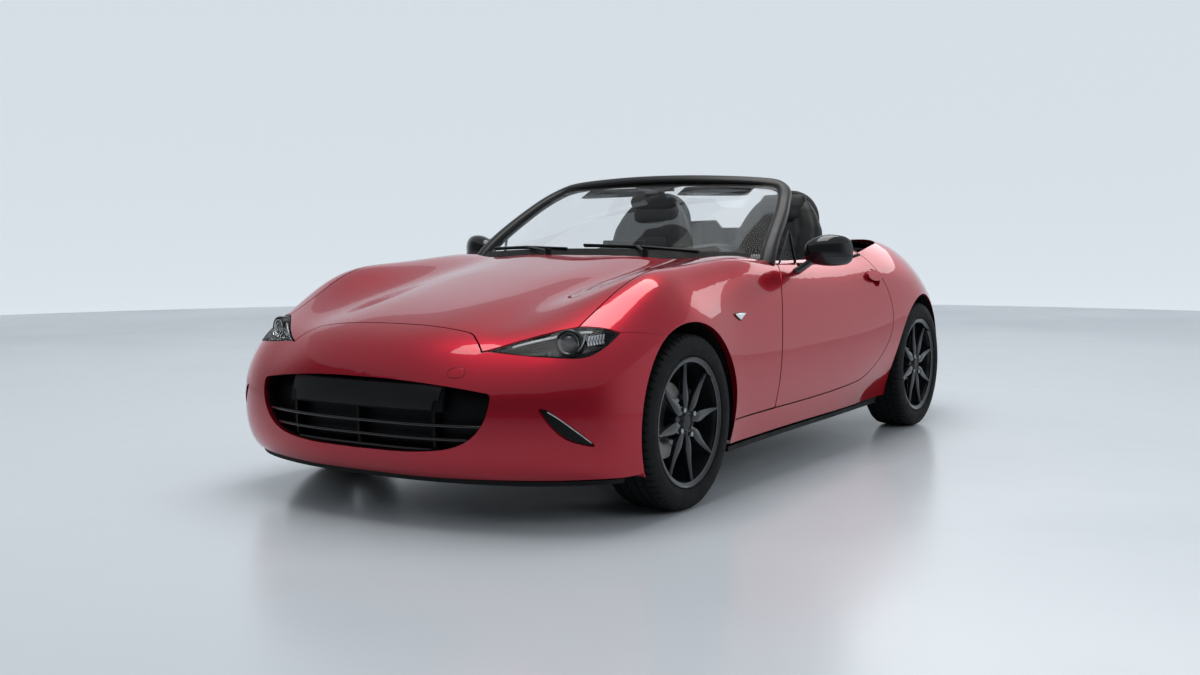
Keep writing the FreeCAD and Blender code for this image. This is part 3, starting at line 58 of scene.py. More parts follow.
def principled(name, color, rough=0.5, metal=0.0, **kw):
    m = bpy.data.materials.new(name)
    m.use_nodes = True
    nt = m.node_tree
    b = nt.nodes["Principled BSDF"]
    b.inputs["Base Color"].default_value = (*color, 1.0)
    b.inputs["Roughness"].default_value = rough
    b.inputs["Metallic"].default_value = metal
    for k, v in kw.items():
        b.inputs[k.replace("_", " ")].default_value = v
    MATS[name] = m
    return m, nt, b


def node(nt, kind, **kw):
    n = nt.nodes.new(kind)
    for k, v in kw.items():
        if k in n.inputs.keys():
            n.inputs[k].default_value = v
        else:
            setattr(n, k, v)
    return n


def coords(nt, scale=(1, 1, 1)):
    tc = nt.nodes.new("ShaderNodeTexCoord")
    mp = nt.nodes.new("ShaderNodeMapping")
    mp.inputs["Scale"].default_value = scale
    nt.links.new(tc.outputs["Object"], mp.inputs["Vector"])
    return mp.outputs["Vector"]


def ramp(nt, fac, stops):
    r = nt.nodes.new("ShaderNodeValToRGB")
    r.color_ramp.elements[0].position, r.color_ramp.elements[0].color = stops[0][0], (*stops[0][1], 1)
    r.color_ramp.elements[1].position, r.color_ramp.elements[1].color = stops[-1][0], (*stops[-1][1], 1)
    for p, c in stops[1:-1]:
        e = r.color_ramp.elements.new(p)
        e.color = (*c, 1)
    nt.links.new(fac, r.inputs["Fac"])
    return r.outputs["Color"]


def value_ramp(nt, fac, a, b, lo=0.0, hi=1.0):
    r = nt.nodes.new("ShaderNodeMapRange")
    r.inputs["From Min"].default_value = lo
    r.inputs["From Max"].default_value = hi
    r.inputs["To Min"].default_value = a
    r.inputs["To Max"].default_value = b
    nt.links.new(fac, r.inputs["Value"])
    return r.outputs["Result"]


def bump(nt, b, height, strength, distance, socket="Normal", base=None):
    n = nt.nodes.new("ShaderNodeBump")
    n.inputs["Strength"].default_value = strength
    n.inputs["Distance"].default_value = distance
    nt.links.new(height, n.inputs["Height"])
    if base is not None:
        nt.links.new(base, n.inputs["Normal"])
    if b is not None:
        nt.links.new(n.outputs["Normal"], b.inputs[socket])
    return n.outputs["Normal"]


def grain(nt, b, scale, strength, distance, detail=3.0, base=None):
    n = node(nt, "ShaderNodeTexNoise", Scale=scale, Detail=detail, Roughness=0.6)
    nt.links.new(coords(nt), n.inputs["Vector"])
    return bump(nt, b, n.outputs["Fac"], strength, distance, base=base), n.outputs["Fac"]


def mottle(nt, b, color, spread, scale, rough=None):
    """Small uneven changes of tone over a surface."""
    n = node(nt, "ShaderNodeTexNoise", Scale=scale, Detail=4.0, Roughness=0.6)
    nt.links.new(coords(nt), n.inputs["Vector"])
    lo = tuple(max(0.0, c * (1 - spread)) for c in color)
    hi = tuple(min(1.0, c * (1 + spread)) for c in color)
    nt.links.new(ramp(nt, n.outputs["Fac"], [(0.3, lo), (0.7, hi)]), b.inputs["Base Color"])
    if rough:
        nt.links.new(value_ramp(nt, n.outputs["Fac"], rough[0], rough[1], 0.3, 0.7), b.inputs["Roughness"])


def paint(name, color, deep, metal):
    """Clear coated metallic paint: fine flakes under a smooth coat, a little deeper at a glancing angle."""
    m, nt, b = principled(name, color, 0.36, metal, Coat_Weight=1.0, Coat_Roughness=0.02, Coat_IOR=1.46)
    b.inputs["Specular Tint"].default_value = (1.0, 0.30, 0.37, 1.0)
    b.inputs["Coat Tint"].default_value = (0.98, 0.93, 1.0, 1.0)
    lw = node(nt, "ShaderNodeLayerWeight", Blend=0.30)
    tone = ramp(nt, lw.outputs["Facing"], [(0.0, color), (0.6, tuple(c * 0.92 for c in color)), (1.0, deep)])
    fl = node(nt, "ShaderNodeTexVoronoi", Scale=1400.0)
    nt.links.new(coords(nt), fl.inputs["Vector"])
    mix = node(nt, "ShaderNodeMix", data_type="RGBA", blend_type="MULTIPLY")
    mix.inputs["Factor"].default_value = 0.35
    nt.links.new(tone, mix.inputs["A"])
    nt.links.new(ramp(nt, fl.outputs["Distance"], [(0.0, (1.35, 1.2, 1.2)), (0.8, (0.78, 0.75, 0.75))]), mix.inputs["B"])
    nt.links.new(mix.outputs["Result"], b.inputs["Base Color"])
    flake = node(nt, "ShaderNodeTexNoise", Scale=900.0, Detail=1.0)
    nt.links.new(coords(nt), flake.inputs["Vector"])
    bump(nt, b, flake.outputs["Fac"], 0.06, 0.0004)
    peel = node(nt, "ShaderNodeTexNoise", Scale=120.0, Detail=1.0)
    nt.links.new(coords(nt), peel.inputs["Vector"])
    bump(nt, b, peel.outputs["Fac"], 0.010, 0.0005, "Coat Normal")
    return m


RED = (0.43, 0.0045, 0.020)
paint("car_paint", RED, (0.24, 0.003, 0.007), 0.75)


def simple(name, color, rough, metal=0.0, spread=0.15, mscale=30.0, gscale=400.0, gstrength=0.2, gdist=0.0004, rspread=0.15, **kw):
    m, nt, b = principled(name, color, rough, metal, **kw)
    mottle(nt, b, color, spread, mscale, (rough * (1 - rspread), min(1, rough * (1 + rspread))))
    grain(nt, b, gscale, gstrength, gdist)
    return m


simple("gloss_black", (0.006, 0.006, 0.007), 0.16, 0.0, 0.1, 20, 60, 0.02, 0.0005, 0.25, Coat_Weight=0.55, Coat_Roughness=0.05, Specular_IOR_Level=0.34)
simple("grained_black", (0.007, 0.0072, 0.0076), 0.62, 0.0, 0.2, 14, 700, 0.45, 0.0005, Specular_IOR_Level=0.22)
simple("soft_plastic", (0.016, 0.016, 0.0165), 0.66, 0.0, 0.18, 10, 520, 0.5, 0.0006, Specular_IOR_Level=0.2)
simple("satin_black", (0.008, 0.008, 0.0085), 0.40, 0.0, 0.15, 16, 300, 0.12, 0.0004, Specular_IOR_Level=0.3)
simple("underside", (0.012, 0.012, 0.0125), 0.75, 0.0, 0.35, 9, 160, 0.5, 0.001, Specular_IOR_Level=0.15)
simple("rubber_seal", (0.010, 0.010, 0.010), 0.7, 0.0, 0.2, 25, 500, 0.3, 0.0004, Specular_IOR_Level=0.15)
simple("cast_metal", (0.25, 0.25, 0.255), 0.5, 0.9, 0.25, 12, 260, 0.6, 0.001)
simple("chassis_black", (0.03, 0.03, 0.032), 0.5, 0.3, 0.35, 12, 240, 0.4, 0.0008, Specular_IOR_Level=0.25)
simple("bright_metal", (0.62, 0.62, 0.63), 0.16, 1.0, 0.06, 20, 300, 0.03, 0.0003)
simple("satin_metal", (0.42, 0.42, 0.43), 0.33, 1.0, 0.08, 20, 300, 0.06, 0.0003)
simple("exhaust_metal", (0.55, 0.53, 0.50), 0.24, 1.0, 0.2, 18, 300, 0.08, 0.0003)
simple("lamp_black", (0.004, 0.0042, 0.0046), 0.34, 0.0, 0.15, 30, 500, 0.1, 0.0003, Coat_Weight=0.0, Specular_IOR_Level=0.22)
simple("grille_black", (0.0022, 0.0024, 0.0026), 0.5, 0.0, 0.2, 30, 500, 0.3, 0.0005, Specular_IOR_Level=0.16)
simple("panel_black", (0.008, 0.009, 0.010), 0.34, 0.0, 0.1, 12, 260, 0.03, 0.0003, Coat_Weight=0.25, Coat_Roughness=0.12, Specular_IOR_Level=0.3)
simple("lamp_white", (0.80, 0.82, 0.84), 0.25, 0.0, 0.04, 30, 300, 0.05, 0.0003, Coat_Weight=0.6)
simple("belt_web", (0.012, 0.012, 0.013), 0.8, 0.0, 0.3, 60, 900, 0.8, 0.0006, Specular_IOR_Level=0.2)
simple("belt_red", (0.45, 0.02, 0.015), 0.4, 0.0, 0.1, 30, 300, 0.1, 0.0003)
simple("engine_cover", (0.020, 0.020, 0.021), 0.48, 0.0, 0.2, 14, 420, 0.5, 0.0006, Specular_IOR_Level=0.3)
simple("alloy_cast", (0.46, 0.46, 0.47), 0.42, 0.9, 0.2, 14, 320, 0.5, 0.0008)
simple("tank_white", (0.62, 0.61, 0.56), 0.4, 0.0, 0.08, 10, 300, 0.1, 0.0004, Subsurface_Weight=0.2)
simple("plate_blank", (0.72, 0.72, 0.70), 0.42, 0.0, 0.04, 12, 600, 0.08, 0.0002)
simple("carpet", (0.011, 0.011, 0.0115), 0.95, 0.0, 0.45, 90, 1400, 1.0, 0.002, Specular_IOR_Level=0.1)

# the dark rims: satin metallic lacquer
m, nt, b = principled("rim_dark", (0.015, 0.0165, 0.019), 0.27, 0.6, Coat_Weight=0.5, Coat_Roughness=0.08)
mottle(nt, b, (0.022, 0.024, 0.027), 0.25, 900, (0.27, 0.38))

# tyre rubber: dull, dusty in places
m, nt, b = principled("tyre_rubber", (0.006, 0.0066, 0.007), 0.72, 0.0, Specular_IOR_Level=0.22)
mottle(nt, b, (0.006, 0.0066, 0.007), 0.35, 22, (0.62, 0.85))
grain(nt, b, 900, 0.35, 0.0005)

# brake disc: steel of uneven tone with a fine grain
m, nt, b = principled("disc_steel", (0.36, 0.35, 0.34), 0.32, 1.0)
mottle(nt, b, (0.36, 0.35, 0.34), 0.2, 14, (0.25, 0.42))
grain(nt, b, 1200, 0.2, 0.0003)

# leather: fine pebble and soft creases
m, nt, b = principled("seat_leather", (0.009, 0.009, 0.0095), 0.5, 0.0, Specular_IOR_Level=0.32)
mottle(nt, b, (0.009, 0.009, 0.0095), 0.3, 12, (0.42, 0.6))
v = node(nt, "ShaderNodeTexVoronoi", Scale=520.0, feature="DISTANCE_TO_EDGE")
nt.links.new(coords(nt), v.inputs["Vector"])
pebble = bump(nt, None, v.outputs["Distance"], 0.35, 0.0006)
grain(nt, b, 45, 0.25, 0.003, base=pebble)

# seat centre cloth: a tight knit
m, nt, b = principled("seat_cloth", (0.016, 0.016, 0.017), 0.9, 0.0, Specular_IOR_Level=0.15, Sheen_Weight=0.12, Sheen_Roughness=0.4)
w1 = node(nt, "ShaderNodeTexWave", Scale=170.0, wave_type="BANDS", bands_direction="DIAGONAL")
nt.links.new(coords(nt), w1.inputs["Vector"])
w2 = node(nt, "ShaderNodeTexVoronoi", Scale=420.0)
nt.links.new(coords(nt), w2.inputs["Vector"])
k1 = bump(nt, None, w1.outputs["Fac"], 0.35, 0.0008)
bump(nt, b, w2.outputs["Distance"], 0.6, 0.0009, base=k1)
nt.links.new(ramp(nt, w2.outputs["Distance"], [(0.1, (0.010, 0.010, 0.011)), (0.7, (0.034, 0.034, 0.036))]), b.inputs["Base Color"])

# folding roof cloth: a plain weave with a slight nap
m, nt, b = principled("roof_cloth", (0.008, 0.008, 0.009), 0.92, 0.0, Specular_IOR_Level=0.12, Sheen_Weight=0.08, Sheen_Roughness=0.5)
w1 = node(nt, "ShaderNodeTexWave", Scale=320.0, wave_type="BANDS", bands_direction="X", Distortion=0.6)
nt.links.new(coords(nt), w1.inputs["Vector"])
w2 = node(nt, "ShaderNodeTexWave", Scale=320.0, wave_type="BANDS", bands_direction="Y", Distortion=0.6)
nt.links.new(coords(nt), w2.inputs["Vector"])
k1 = bump(nt, None, w1.outputs["Fac"], 0.5, 0.0006)
k2 = bump(nt, None, w2.outputs["Fac"], 0.5, 0.0006, base=k1)
grain(nt, b, 30, 0.3, 0.004, base=k2)
nt.links.new(ramp(nt, w1.outputs["Fac"], [(0.0, (0.005, 0.005, 0.0056)), (1.0, (0.013, 0.013, 0.0142))]), b.inputs["Base Color"])

# clear glass, tinted a little green
m, nt, b = principled("screen_glass", (0.86, 0.93, 0.91), 0.015, 0.0, Transmission_Weight=1.0, IOR=1.06, Specular_IOR_Level=0.5, Alpha=0.13, Coat_Weight=0.35, Coat_Roughness=0.01)
grain(nt, b, 6, 0.01, 0.0005)
m, nt, b = principled("lens_clear", (0.93, 0.95, 0.96), 0.02, 0.0, Transmission_Weight=1.0, IOR=1.08, Alpha=0.12, Coat_Weight=1.0, Coat_Roughness=0.01)
grain(nt, b, 20, 0.01, 0.0003)
m, nt, b = principled("projector_glass", (0.05, 0.056, 0.062), 0.03, 0.0, Transmission_Weight=0.25, IOR=1.45, Coat_Weight=1.0, Coat_Roughness=0.02)
grain(nt, b, 20, 0.01, 0.0003)
m, nt, b = principled("lens_red", (0.30, 0.002, 0.003), 0.10, 0.0, Specular_IOR_Level=0.3, Coat_Weight=0.6, Coat_Roughness=0.02)
w = node(nt, "ShaderNodeTexWave", Scale=60.0, wave_type="BANDS", bands_direction="Z")
nt.links.new(coords(nt), w.inputs["Vector"])
bump(nt, b, w.outputs["Fac"], 0.2, 0.001)
m, nt, b = principled("mirror_glass", (0.80, 0.82, 0.84), 0.02, 1.0)
grain(nt, b, 8, 0.005, 0.0003)
m, nt, b = principled("screen_dark", (0.004, 0.005, 0.007), 0.08, 0.0, Coat_Weight=0.5)
grain(nt, b, 200, 0.02, 0.0002)

SLOTS = {"paint": "car_paint", "door_paint": "car_paint", "black_gloss": "gloss_black", "black_trim": "grained_black", "structure": "underside",
         "screen_glass": "screen_glass", "lens_clear": "lens_clear", "lens_red": "lens_red", "lamp_black": "lamp_black",
         "seat_leather": "seat_leather", "dash_plastic": "soft_plastic", "top_fabric": "roof_cloth", "engine_metal": "cast_metal",
         "chassis_steel": "chassis_black", "exhaust_steel": "exhaust_metal", "tyre_rubber": "tyre_rubber", "rim_metal": "rim_dark",
         "disc_steel": "disc_steel", "wheel_leather": "seat_leather"}
slot_of = {s["node"]: s["material_slot"] for s in frame["record"]["subparts"]}
OWN = {"grille": "grille_black", "marker_lamps": "lamp_black", "cabin_structure": "underside", "headlamp_housings": "grille_black", "wipers": "satin_black", "windscreen_frame": "satin_black"}
for name, obj in frame["nodes"].items():
    mat = MATS[OWN.get(name, SLOTS[slot_of[name]])]
    if not obj.material_slots:
        obj.data.materials.append(mat)
    for s in obj.material_slots:
        s.material = mat


# ------------------------------------------------------------------ mesh helpers
class Build:
    """Collects vertices (metres) and faces of one piece."""

    def __init__(self):
        self.v, self.f, self.n = [], [], 0

    def add(self, verts, faces, m=None):
        verts = np.asarray(verts, dtype=float).reshape(-1, 3)
        if m is not None:
            a = np.array(m)
            verts = verts @ a[:3, :3].T + a[:3, 3]
        self.v.append(verts)
        self.f.extend([tuple(int(i) + self.n for i in q) for q in faces])
        self.n += len(verts)
        return self

    def grid(self, p, wrap_u=False, wrap_v=False, m=None, cap=False):
        """A sheet of quads over rows and columns of points; rows may close on themselves."""
        p = np.asarray(p, dtype=float)
        nu, nv = p.shape[:2]
        f = []
        for i in range(nu if wrap_u else nu - 1):
            for j in range(nv if wrap_v else nv - 1):
                a, b = i * nv + j, i * nv + (j + 1) % nv
                c, d = ((i + 1) % nu) * nv + (j + 1) % nv, ((i + 1) % nu) * nv + j
                f.append((a, b, c, d))
        if cap:
            f.append(tuple(range(nv - 1, -1, -1)))
            f.append(tuple((nu - 1) * nv + j for j in range(nv)))
        return self.add(p.reshape(-1, 3), f, m)

    def obj(self, name, mat, body, smooth=True, angle=38.0, slot=None, fix=True):
        me = bpy.data.meshes.new(name)
        me.from_pydata(np.concatenate(self.v).tolist(), [], self.f)
        if fix:
            bm = bmesh.new()
            bm.from_mesh(me)
            bmesh.ops.recalc_face_normals(bm, faces=bm.faces)
            bm.to_mesh(me)
            bm.free()
        me.update()
        if smooth:
            me.polygons.foreach_set("use_smooth", [True] * len(me.polygons))
            me.set_sharp_from_angle(angle=R(angle))
        me.materials.append(MATS[mat])
        o = bpy.data.objects.new(name, me)
        bpy.context.collection.objects.link(o)
        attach(o, body)
        return o


def bake(o, smooth=True, angle=38.0):
    """Turns a piece's modifiers into its mesh."""
    bpy.context.view_layer.update()
    dg = bpy.context.evaluated_depsgraph_get()
    me = bpy.data.meshes.new_from_object(o.evaluated_get(dg))
    o.modifiers.clear()
    o.data = me
    if smooth:
        me.polygons.foreach_set("use_smooth", [True] * len(me.polygons))
        me.set_sharp_from_angle(angle=R(angle))
    return o


def rounded(o, width, segments=3, sub=0, limit=30.0):
    b = o.modifiers.new("edge", "BEVEL")
    b.width, b.segments, b.limit_method, b.angle_limit = width, segments, "ANGLE", R(limit)
    b.harden_normals = False
    if sub:
        s = o.modifiers.new("smooth", "SUBSURF")
        s.levels = s.render_levels = sub
    return bake(o)


def subdivide(o, levels=2, angle=50.0):
    s = o.modifiers.new("smooth", "SUBSURF")
    s.levels = s.render_levels = levels
    return bake(o, angle=angle)


def box(b, lo, hi, m=None):
    (x0, y0, z0), (x1, y1, z1) = lo, hi
    v = [(x0, y0, z0), (x1, y0, z0), (x1, y1, z0), (x0, y1, z0), (x0, y0, z1), (x1, y0, z1), (x1, y1, z1), (x0, y1, z1)]
    return b.add(v, [(3, 2, 1, 0), (4, 5, 6, 7), (0, 1, 5, 4), (1, 2, 6, 5), (2, 3, 7, 6), (3, 0, 4, 7)], m)


def spline(points, n, closed=False):
    """n points on a smooth curve through the given ones."""
    p = np.asarray([tuple(q) for q in points], dtype=float)
    k = len(p)
    out = []
    segs = k if closed else k - 1
    for i in range(n):
        t = i / n * segs if closed else i / (n - 1) * segs
        j = min(int(t), segs - 1)
        u = t - j
        if closed:
            a, b, c, d = p[(j - 1) % k], p[j % k], p[(j + 1) % k], p[(j + 2) % k]
        else:
            b, c = p[j], p[j + 1]
            a = p[j - 1] if j > 0 else 2 * b - c
            d = p[j + 2] if j + 2 < k else 2 * c - b
        out.append(0.5 * ((2 * b) + (c - a) * u + (2 * a - 5 * b + 4 * c - d) * u * u + (3 * b - a - 3 * c + d) * u ** 3))
    return np.array(out)


def frames(path, up=(0, 0, 1), closed=False):
    p = np.asarray(path)
    t = np.roll(p, -1, 0) - np.roll(p, 1, 0) if closed else np.gradient(p, axis=0)
    t /= np.linalg.norm(t, axis=1)[:, None]
    up = np.asarray(up, dtype=float)
    s = np.cross(t, up)
    s /= np.maximum(np.linalg.norm(s, axis=1), 1e-9)[:, None]
    w = np.cross(s, t)
    return t, s, w


def sweep(b, path, section, up=(0, 0, 1), closed=False, scale=None, cap=True):
    """Carries a flat section (pairs: sideways, upwards) along a path."""
    path = np.asarray(path)
    t, s, w = frames(path, up, closed)
    sec = np.asarray(section, dtype=float)
    k = np.ones(len(path)) if scale is None else np.asarray(scale)
    pts = path[:, None, :] + (sec[None, :, 0, None] * s[:, None, :] + sec[None, :, 1, None] * w[:, None, :]) * k[:, None, None]
    return b.grid(pts, wrap_u=closed, wrap_v=True, cap=cap and not closed)


def circle(r, n=12, ry=None, p=2.0):
    out = []
    for i in range(n):
        a = 2 * math.pi * i / n
        c, s = math.cos(a), math.sin(a)
        k = (abs(c) ** p + abs(s) ** p) ** (-1.0 / p)
        out.append((r * k * c, (ry or r) * k * s))
    return out


def tube(b, path, r, n=10, up=(0, 0, 1), closed=False, scale=None):
    return sweep(b, path, circle(r, n), up, closed, scale)


def revolve(b, profile, n=64, m=None, closed=True, full=True):
    """Turns (x, r) pairs about the X axis."""
    a = np.linspace(0, 2 * math.pi, n, endpoint=False)
    pr = np.asarray(profile, dtype=float)
    pts = np.empty((n, len(pr), 3))
    pts[:, :, 0] = pr[None, :, 0]
    pts[:, :, 1] = pr[None, :, 1] * np.cos(a)[:, None]
    pts[:, :, 2] = pr[None, :, 1] * np.sin(a)[:, None]
    return b.grid(pts, wrap_u=True, wrap_v=closed, m=m)


def disc(b, profile, n=32, m=None):
    """Turns (x, r) pairs about the X axis into a closed knob: the first and last pairs lie on the axis."""
    pr = [tuple(q) for q in profile]
    rows = pr[1:-1]
    a = np.linspace(0, 2 * math.pi, n, endpoint=False)
    v = [(pr[0][0], 0, 0)] + [(x, r * math.cos(t), r * math.sin(t)) for x, r in rows for t in a] + [(pr[-1][0], 0, 0)]
    f = [(0, 1 + (j + 1) % n, 1 + j) for j in range(n)]
    for i in range(len(rows) - 1):
        for j in range(n):
            f.append((1 + i * n + j, 1 + i * n + (j + 1) % n, 1 + (i + 1) * n + (j + 1) % n, 1 + (i + 1) * n + j))
    e, o = len(v) - 1, 1 + (len(rows) - 1) * n
    f += [(e, o + j, o + (j + 1) % n) for j in range(n)]
    return b.add(v, f, m)


def place(x, y, z, rot=None):
    return Matrix.Translation(F(x, y, z)) @ (rot.to_4x4() if rot is not None else Matrix.Identity(4))


def axis_to(d):
    """A turn that takes +X to the direction d."""
    return Vector((1, 0, 0)).rotation_difference(Vector(d).normalized()).to_matrix()


def flip_x(m):
    return Matrix.Scale(-1, 4, Vector((1, 0, 0))) @ m


# ------------------------------------------------------------------ tyres and wheels
def tyre(b, m):
    mm = 0.001
    half = [(0, 300.0), (10, 300.0)]
    for c, w in ((19.0, 8.0), (52.0, 7.0)):
        half += [(c - w / 2 - 0.2, 299.9), (c - w / 2 + 0.7, 293.8), (c + w / 2 - 0.7, 293.8), (c + w / 2 + 0.2, 299.8)]
        half += [(c + 12, 299.7)] if c < 30 else [(64, 298.9), (73, 297.8)]
    half = sorted(half, key=lambda q: q[0])
    side = [(81.0, 295.6), (86.5, 291.8), (90.5, 286.2), (92.4, 281.6), (92.6, 279.6), (93.4, 278.4), (94.6, 272.0), (96.4, 263.0), (97.3, 254.0), (96.8, 246.0),
            (95.2, 238.5), (93.6, 234.6), (94.6, 232.8), (94.0, 230.6), (91.0, 228.4), (88.0, 225.6), (84.0, 222.0), (78.0, 212.0)]
    right = half[1:] + side
    prof = [(-x, r) for x, r in right[::-1]] + [half[0]] + right
    pitches = 64
    cuts = [0.0, 0.025, 0.15, 0.175, 0.45, 0.50, 0.52, 0.60, 0.62, 0.9]
    th = np.array([(k + c) / pitches * 2 * math.pi for k in range(pitches) for c in cuts])
    ph = np.array([c for k in range(pitches) for c in cuts])
    pts = np.empty((len(th), len(prof), 3))
    for j, (x, r) in enumerate(prof):
        ax = abs(x)
        rr = np.full(len(th), r)
        if 57 < ax < 91.6:
            d = 5.0 if ax < 84 else (3.6 if ax < 89 else 1.6)
            rr = np.where((ph > 0.02) & (ph < 0.16), r - d, rr)
        elif 23.4 < ax < 47:
            rr = np.where((ph > 0.51) & (ph < 0.61), r - 4.0, rr)
        elif ax < 12:
            rr = np.where((ph > 0.51) & (ph < 0.61) & (ax < 11), r - 1.5, rr)
        sh = 0.0011 * (ax - 30) if ax < 92 else 0.0011 * 62
        t = th + sh * (1 if x > 0 else -1)
        pts[:, j, 0] = x * mm
        pts[:, j, 1] = rr * mm * np.cos(t)
        pts[:, j, 2] = rr * mm * np.sin(t)
    b.grid(pts, wrap_u=True, wrap_v=True, m=m)


def rim(b, m):
    mm = 0.001
    prof = [(86.0, 222.4), (88.8, 222.2), (90.0, 221.0), (90.0, 218.8), (88.2, 216.6), (86.4, 214.0), (85.6, 210.6), (83.4, 207.2), (76, 204.2), (60, 201.4),
            (30, 198.6), (0, 196.4), (-60, 195.0), (-84, 195.0), (-90, 199.0), (-90, 221.5), (-86, 222.4), (-84, 204.5), (84, 204.5)]
    revolve(b, [(x * mm, r * mm) for x, r in prof], 144, m)
    rad = [24, 36, 48, 60, 74, 92, 114, 138, 162, 186, 203]
    half = [8.5, 9.5, 11.5, 15.0, 18.3, 19.2, 17.2, 14.0, 10.8, 8.0, 7.0]
    front = [70, 73, 76.5, 79.5, 81.5, 82.0, 81.6, 81.4, 82.2, 84.0, 86.2]
    depth = [16, 20, 23, 25, 26, 25, 23, 21, 19.5, 19, 20]
    for k in range(8):
        a = math.radians(45.0 * k)
        rot = Matrix.Rotation(a, 4, "X")
        rows = []
        for r, w, x, d in zip(spline([(q, 0, 0) for q in rad], 31)[:, 0], spline([(q, 0, 0) for q in half], 31)[:, 0],
                              spline([(q, 0, 0) for q in front], 31)[:, 0], spline([(q, 0, 0) for q in depth], 31)[:, 0]):
            sec = [(-w * 0.97, x - 7.2), (-w * 0.90, x - 4.6), (-w * 0.5, x - 1.6), (-w * 0.07, x + 0.6), (w * 0.07, x + 0.6), (w * 0.5, x - 1.6), (w * 0.90, x - 4.6), (w * 0.97, x - 7.2),
                   (w * 0.84, x - d + 2), (w * 0.66, x - d), (-w * 0.66, x - d), (-w * 0.84, x - d + 2)]
            rows.append([(q[1] * mm, q[0] * mm, r * mm) for q in sec])
        b.grid(rows, wrap_v=True, m=m @ rot, cap=True)
    # hub shell with a rolled edge round the cap
    revolve(b, [(q[0] * mm, q[1] * mm) for q in ((30, 66), (62, 64), (66, 62), (68, 58), (68, 46), (70, 36), (76, 33), (79.5, 31.5), (80.5, 30), (80, 28.4), (74, 28), (30, 28))], 96, m)


def cap(b, m):
    mm = 0.001
    disc(b, [(x * mm, r * mm) for x, r in ((70, 0), (70, 27.4), (77.5, 27.4), (78.9, 26.4), (78.4, 24.2), (77.2, 23.2), (77.6, 18), (78.4, 8), (78.6, 0))], 48, m)


def bolts(b, m):
    mm = 0.001
    for k in range(4):
        a = math.radians(22.5 + 90 * k)
        mm4 = m @ Matrix.Translation((0, 50 * mm * math.cos(a), 50 * mm * math.sin(a)))
        disc(b, [(q[0] * mm, q[1] * mm) for q in ((66, 0), (66, 12.5), (69, 12.5), (70, 11.5), (70, 0))], 24, mm4)
        disc(b, [(q[0] * mm, q[1] * mm) for q in ((69, 0), (69, 9.6), (81, 9.6), (83.0, 8.2), (83.4, 5.0), (82.6, 4.6), (82.6, 0))], 6, mm4)


WHEELS = {"front_left": (747.5, 0.0, 1), "front_right": (-747.5, 0.0, -1), "rear_left": (752.5, 2310.0, 1), "rear_right": (-752.5, 2310.0, -1)}
for tag, (wx, wy, s) in WHEELS.items():
    turn = Matrix.Rotation(0 if s > 0 else math.pi, 3, "Z")
    turn = turn @ Matrix.Rotation(R(7.0 if "front" in tag else 16.0), 3, "X")
    m = place(wx, wy, 300.0, turn)
    b = Build()
    tyre(b, m)
    t = b.obj("tyre_tread_" + tag, "tyre_rubber", "wheel_" + tag, angle=32, slot="tyre_rubber")
    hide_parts("tyre_" + tag)
    b = Build()
    rim(b, m)
    t = b.obj("alloy_wheel_" + tag, "rim_dark", "wheel_" + tag, angle=35, slot="rim_metal")
    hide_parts("wheel_rim_" + tag)
    b = Build()
    cap(b, m)
    b.obj("wheel_cap_" + tag, "satin_black", "wheel_" + tag, slot="rim_metal")
    b = Build()
    bolts(b, m)
    b.obj("wheel_nuts_" + tag, "satin_metal", "wheel_" + tag, angle=25, slot="rim_metal")
    b = Build()
    a = R(48.0)
    d = Vector((0, math.cos(a), math.sin(a)))
    v0 = Vector((0.080, 0, 0)) + d * 0.201
    disc(b, [(0, 0), (0, 0.0045), (0.012, 0.0045), (0.013, 0.0032), (0.030, 0.0032), (0.031, 0.0042), (0.040, 0.0042), (0.041, 0.003), (0.041, 0)], 12,
         m @ Matrix.Translation(v0) @ axis_to((0.55, -0.45 * d.y, -0.45 * d.z)).to_4x4())
    b.obj("valve_stem_" + tag, "rubber_seal", "wheel_" + tag, slot="tyre_rubber")


# ------------------------------------------------------------------ seats
def lin(a, b, t):
    return a + (b - a) * t


def table(rows, t):
    """Reads a column of smooth values: rows are (t, value)."""
    ts = [r[0] for r in rows]
    vs = [r[1] for r in rows]
    t = np.asarray(t, dtype=float)
    out = np.interp(t, ts, vs)
    # soften the corners of the straight runs
    k = 0.035
    return 0.25 * np.interp(t - k, ts, vs) + 0.5 * out + 0.25 * np.interp(t + k, ts, vs)


def pillow(b, spine, front, width, tf, tb, bolster, x0, nu=96, p=3.0, seams=(), wrinkle=0.0, seed=0.0, piece=(-1.0, 1.0)):
    """A stuffed form along a spine. width, tf and tb hold the half-width and the depth before and behind the spine at each station;
    bolster raises the front face towards its sides. seams are lines across (u) where the cover is drawn in."""
    n = len(spine)
    rows = []
    lo, hi = piece
    for i in range(n):
        c, nrm = spine[i], front[i]
        row = []
        for j in range(nu):
            a = 2 * math.pi * j / nu
            ca, sa = math.cos(a), math.sin(a)
            k = (abs(ca) ** p + abs(sa) ** p) ** (-1.0 / p)
            cu, cn = ca * k, sa * k
            u = lin(lo, hi, (cu + 1) / 2)
            d = (tf[i] if cn > 0 else tb[i]) * cn
            if cn > 0:
                d += bolster[i] * (abs(u) ** 2.6) * min(1.0, cn * 1.4)
                for s0, depth, sig in seams:
                    d -= depth * math.exp(-((u - s0) / sig) ** 2) * min(1.0, cn * 2)
            q = Vector((x0 + width[i] * u, c[0], c[1]))
            w = Vector((0, nrm[0], nrm[1])) * d
            if wrinkle:
                w += Vector((0, nrm[0], nrm[1])) * (wrinkle * noise.noise(Vector((q.x / 70.0 + seed, q.y / 55.0, q.z / 48.0))))
            row.append(F(*(q + w)))
        rows.append(row)
    return b.grid(np.array([[tuple(q) for q in r] for r in rows]), wrap_v=True, cap=True)


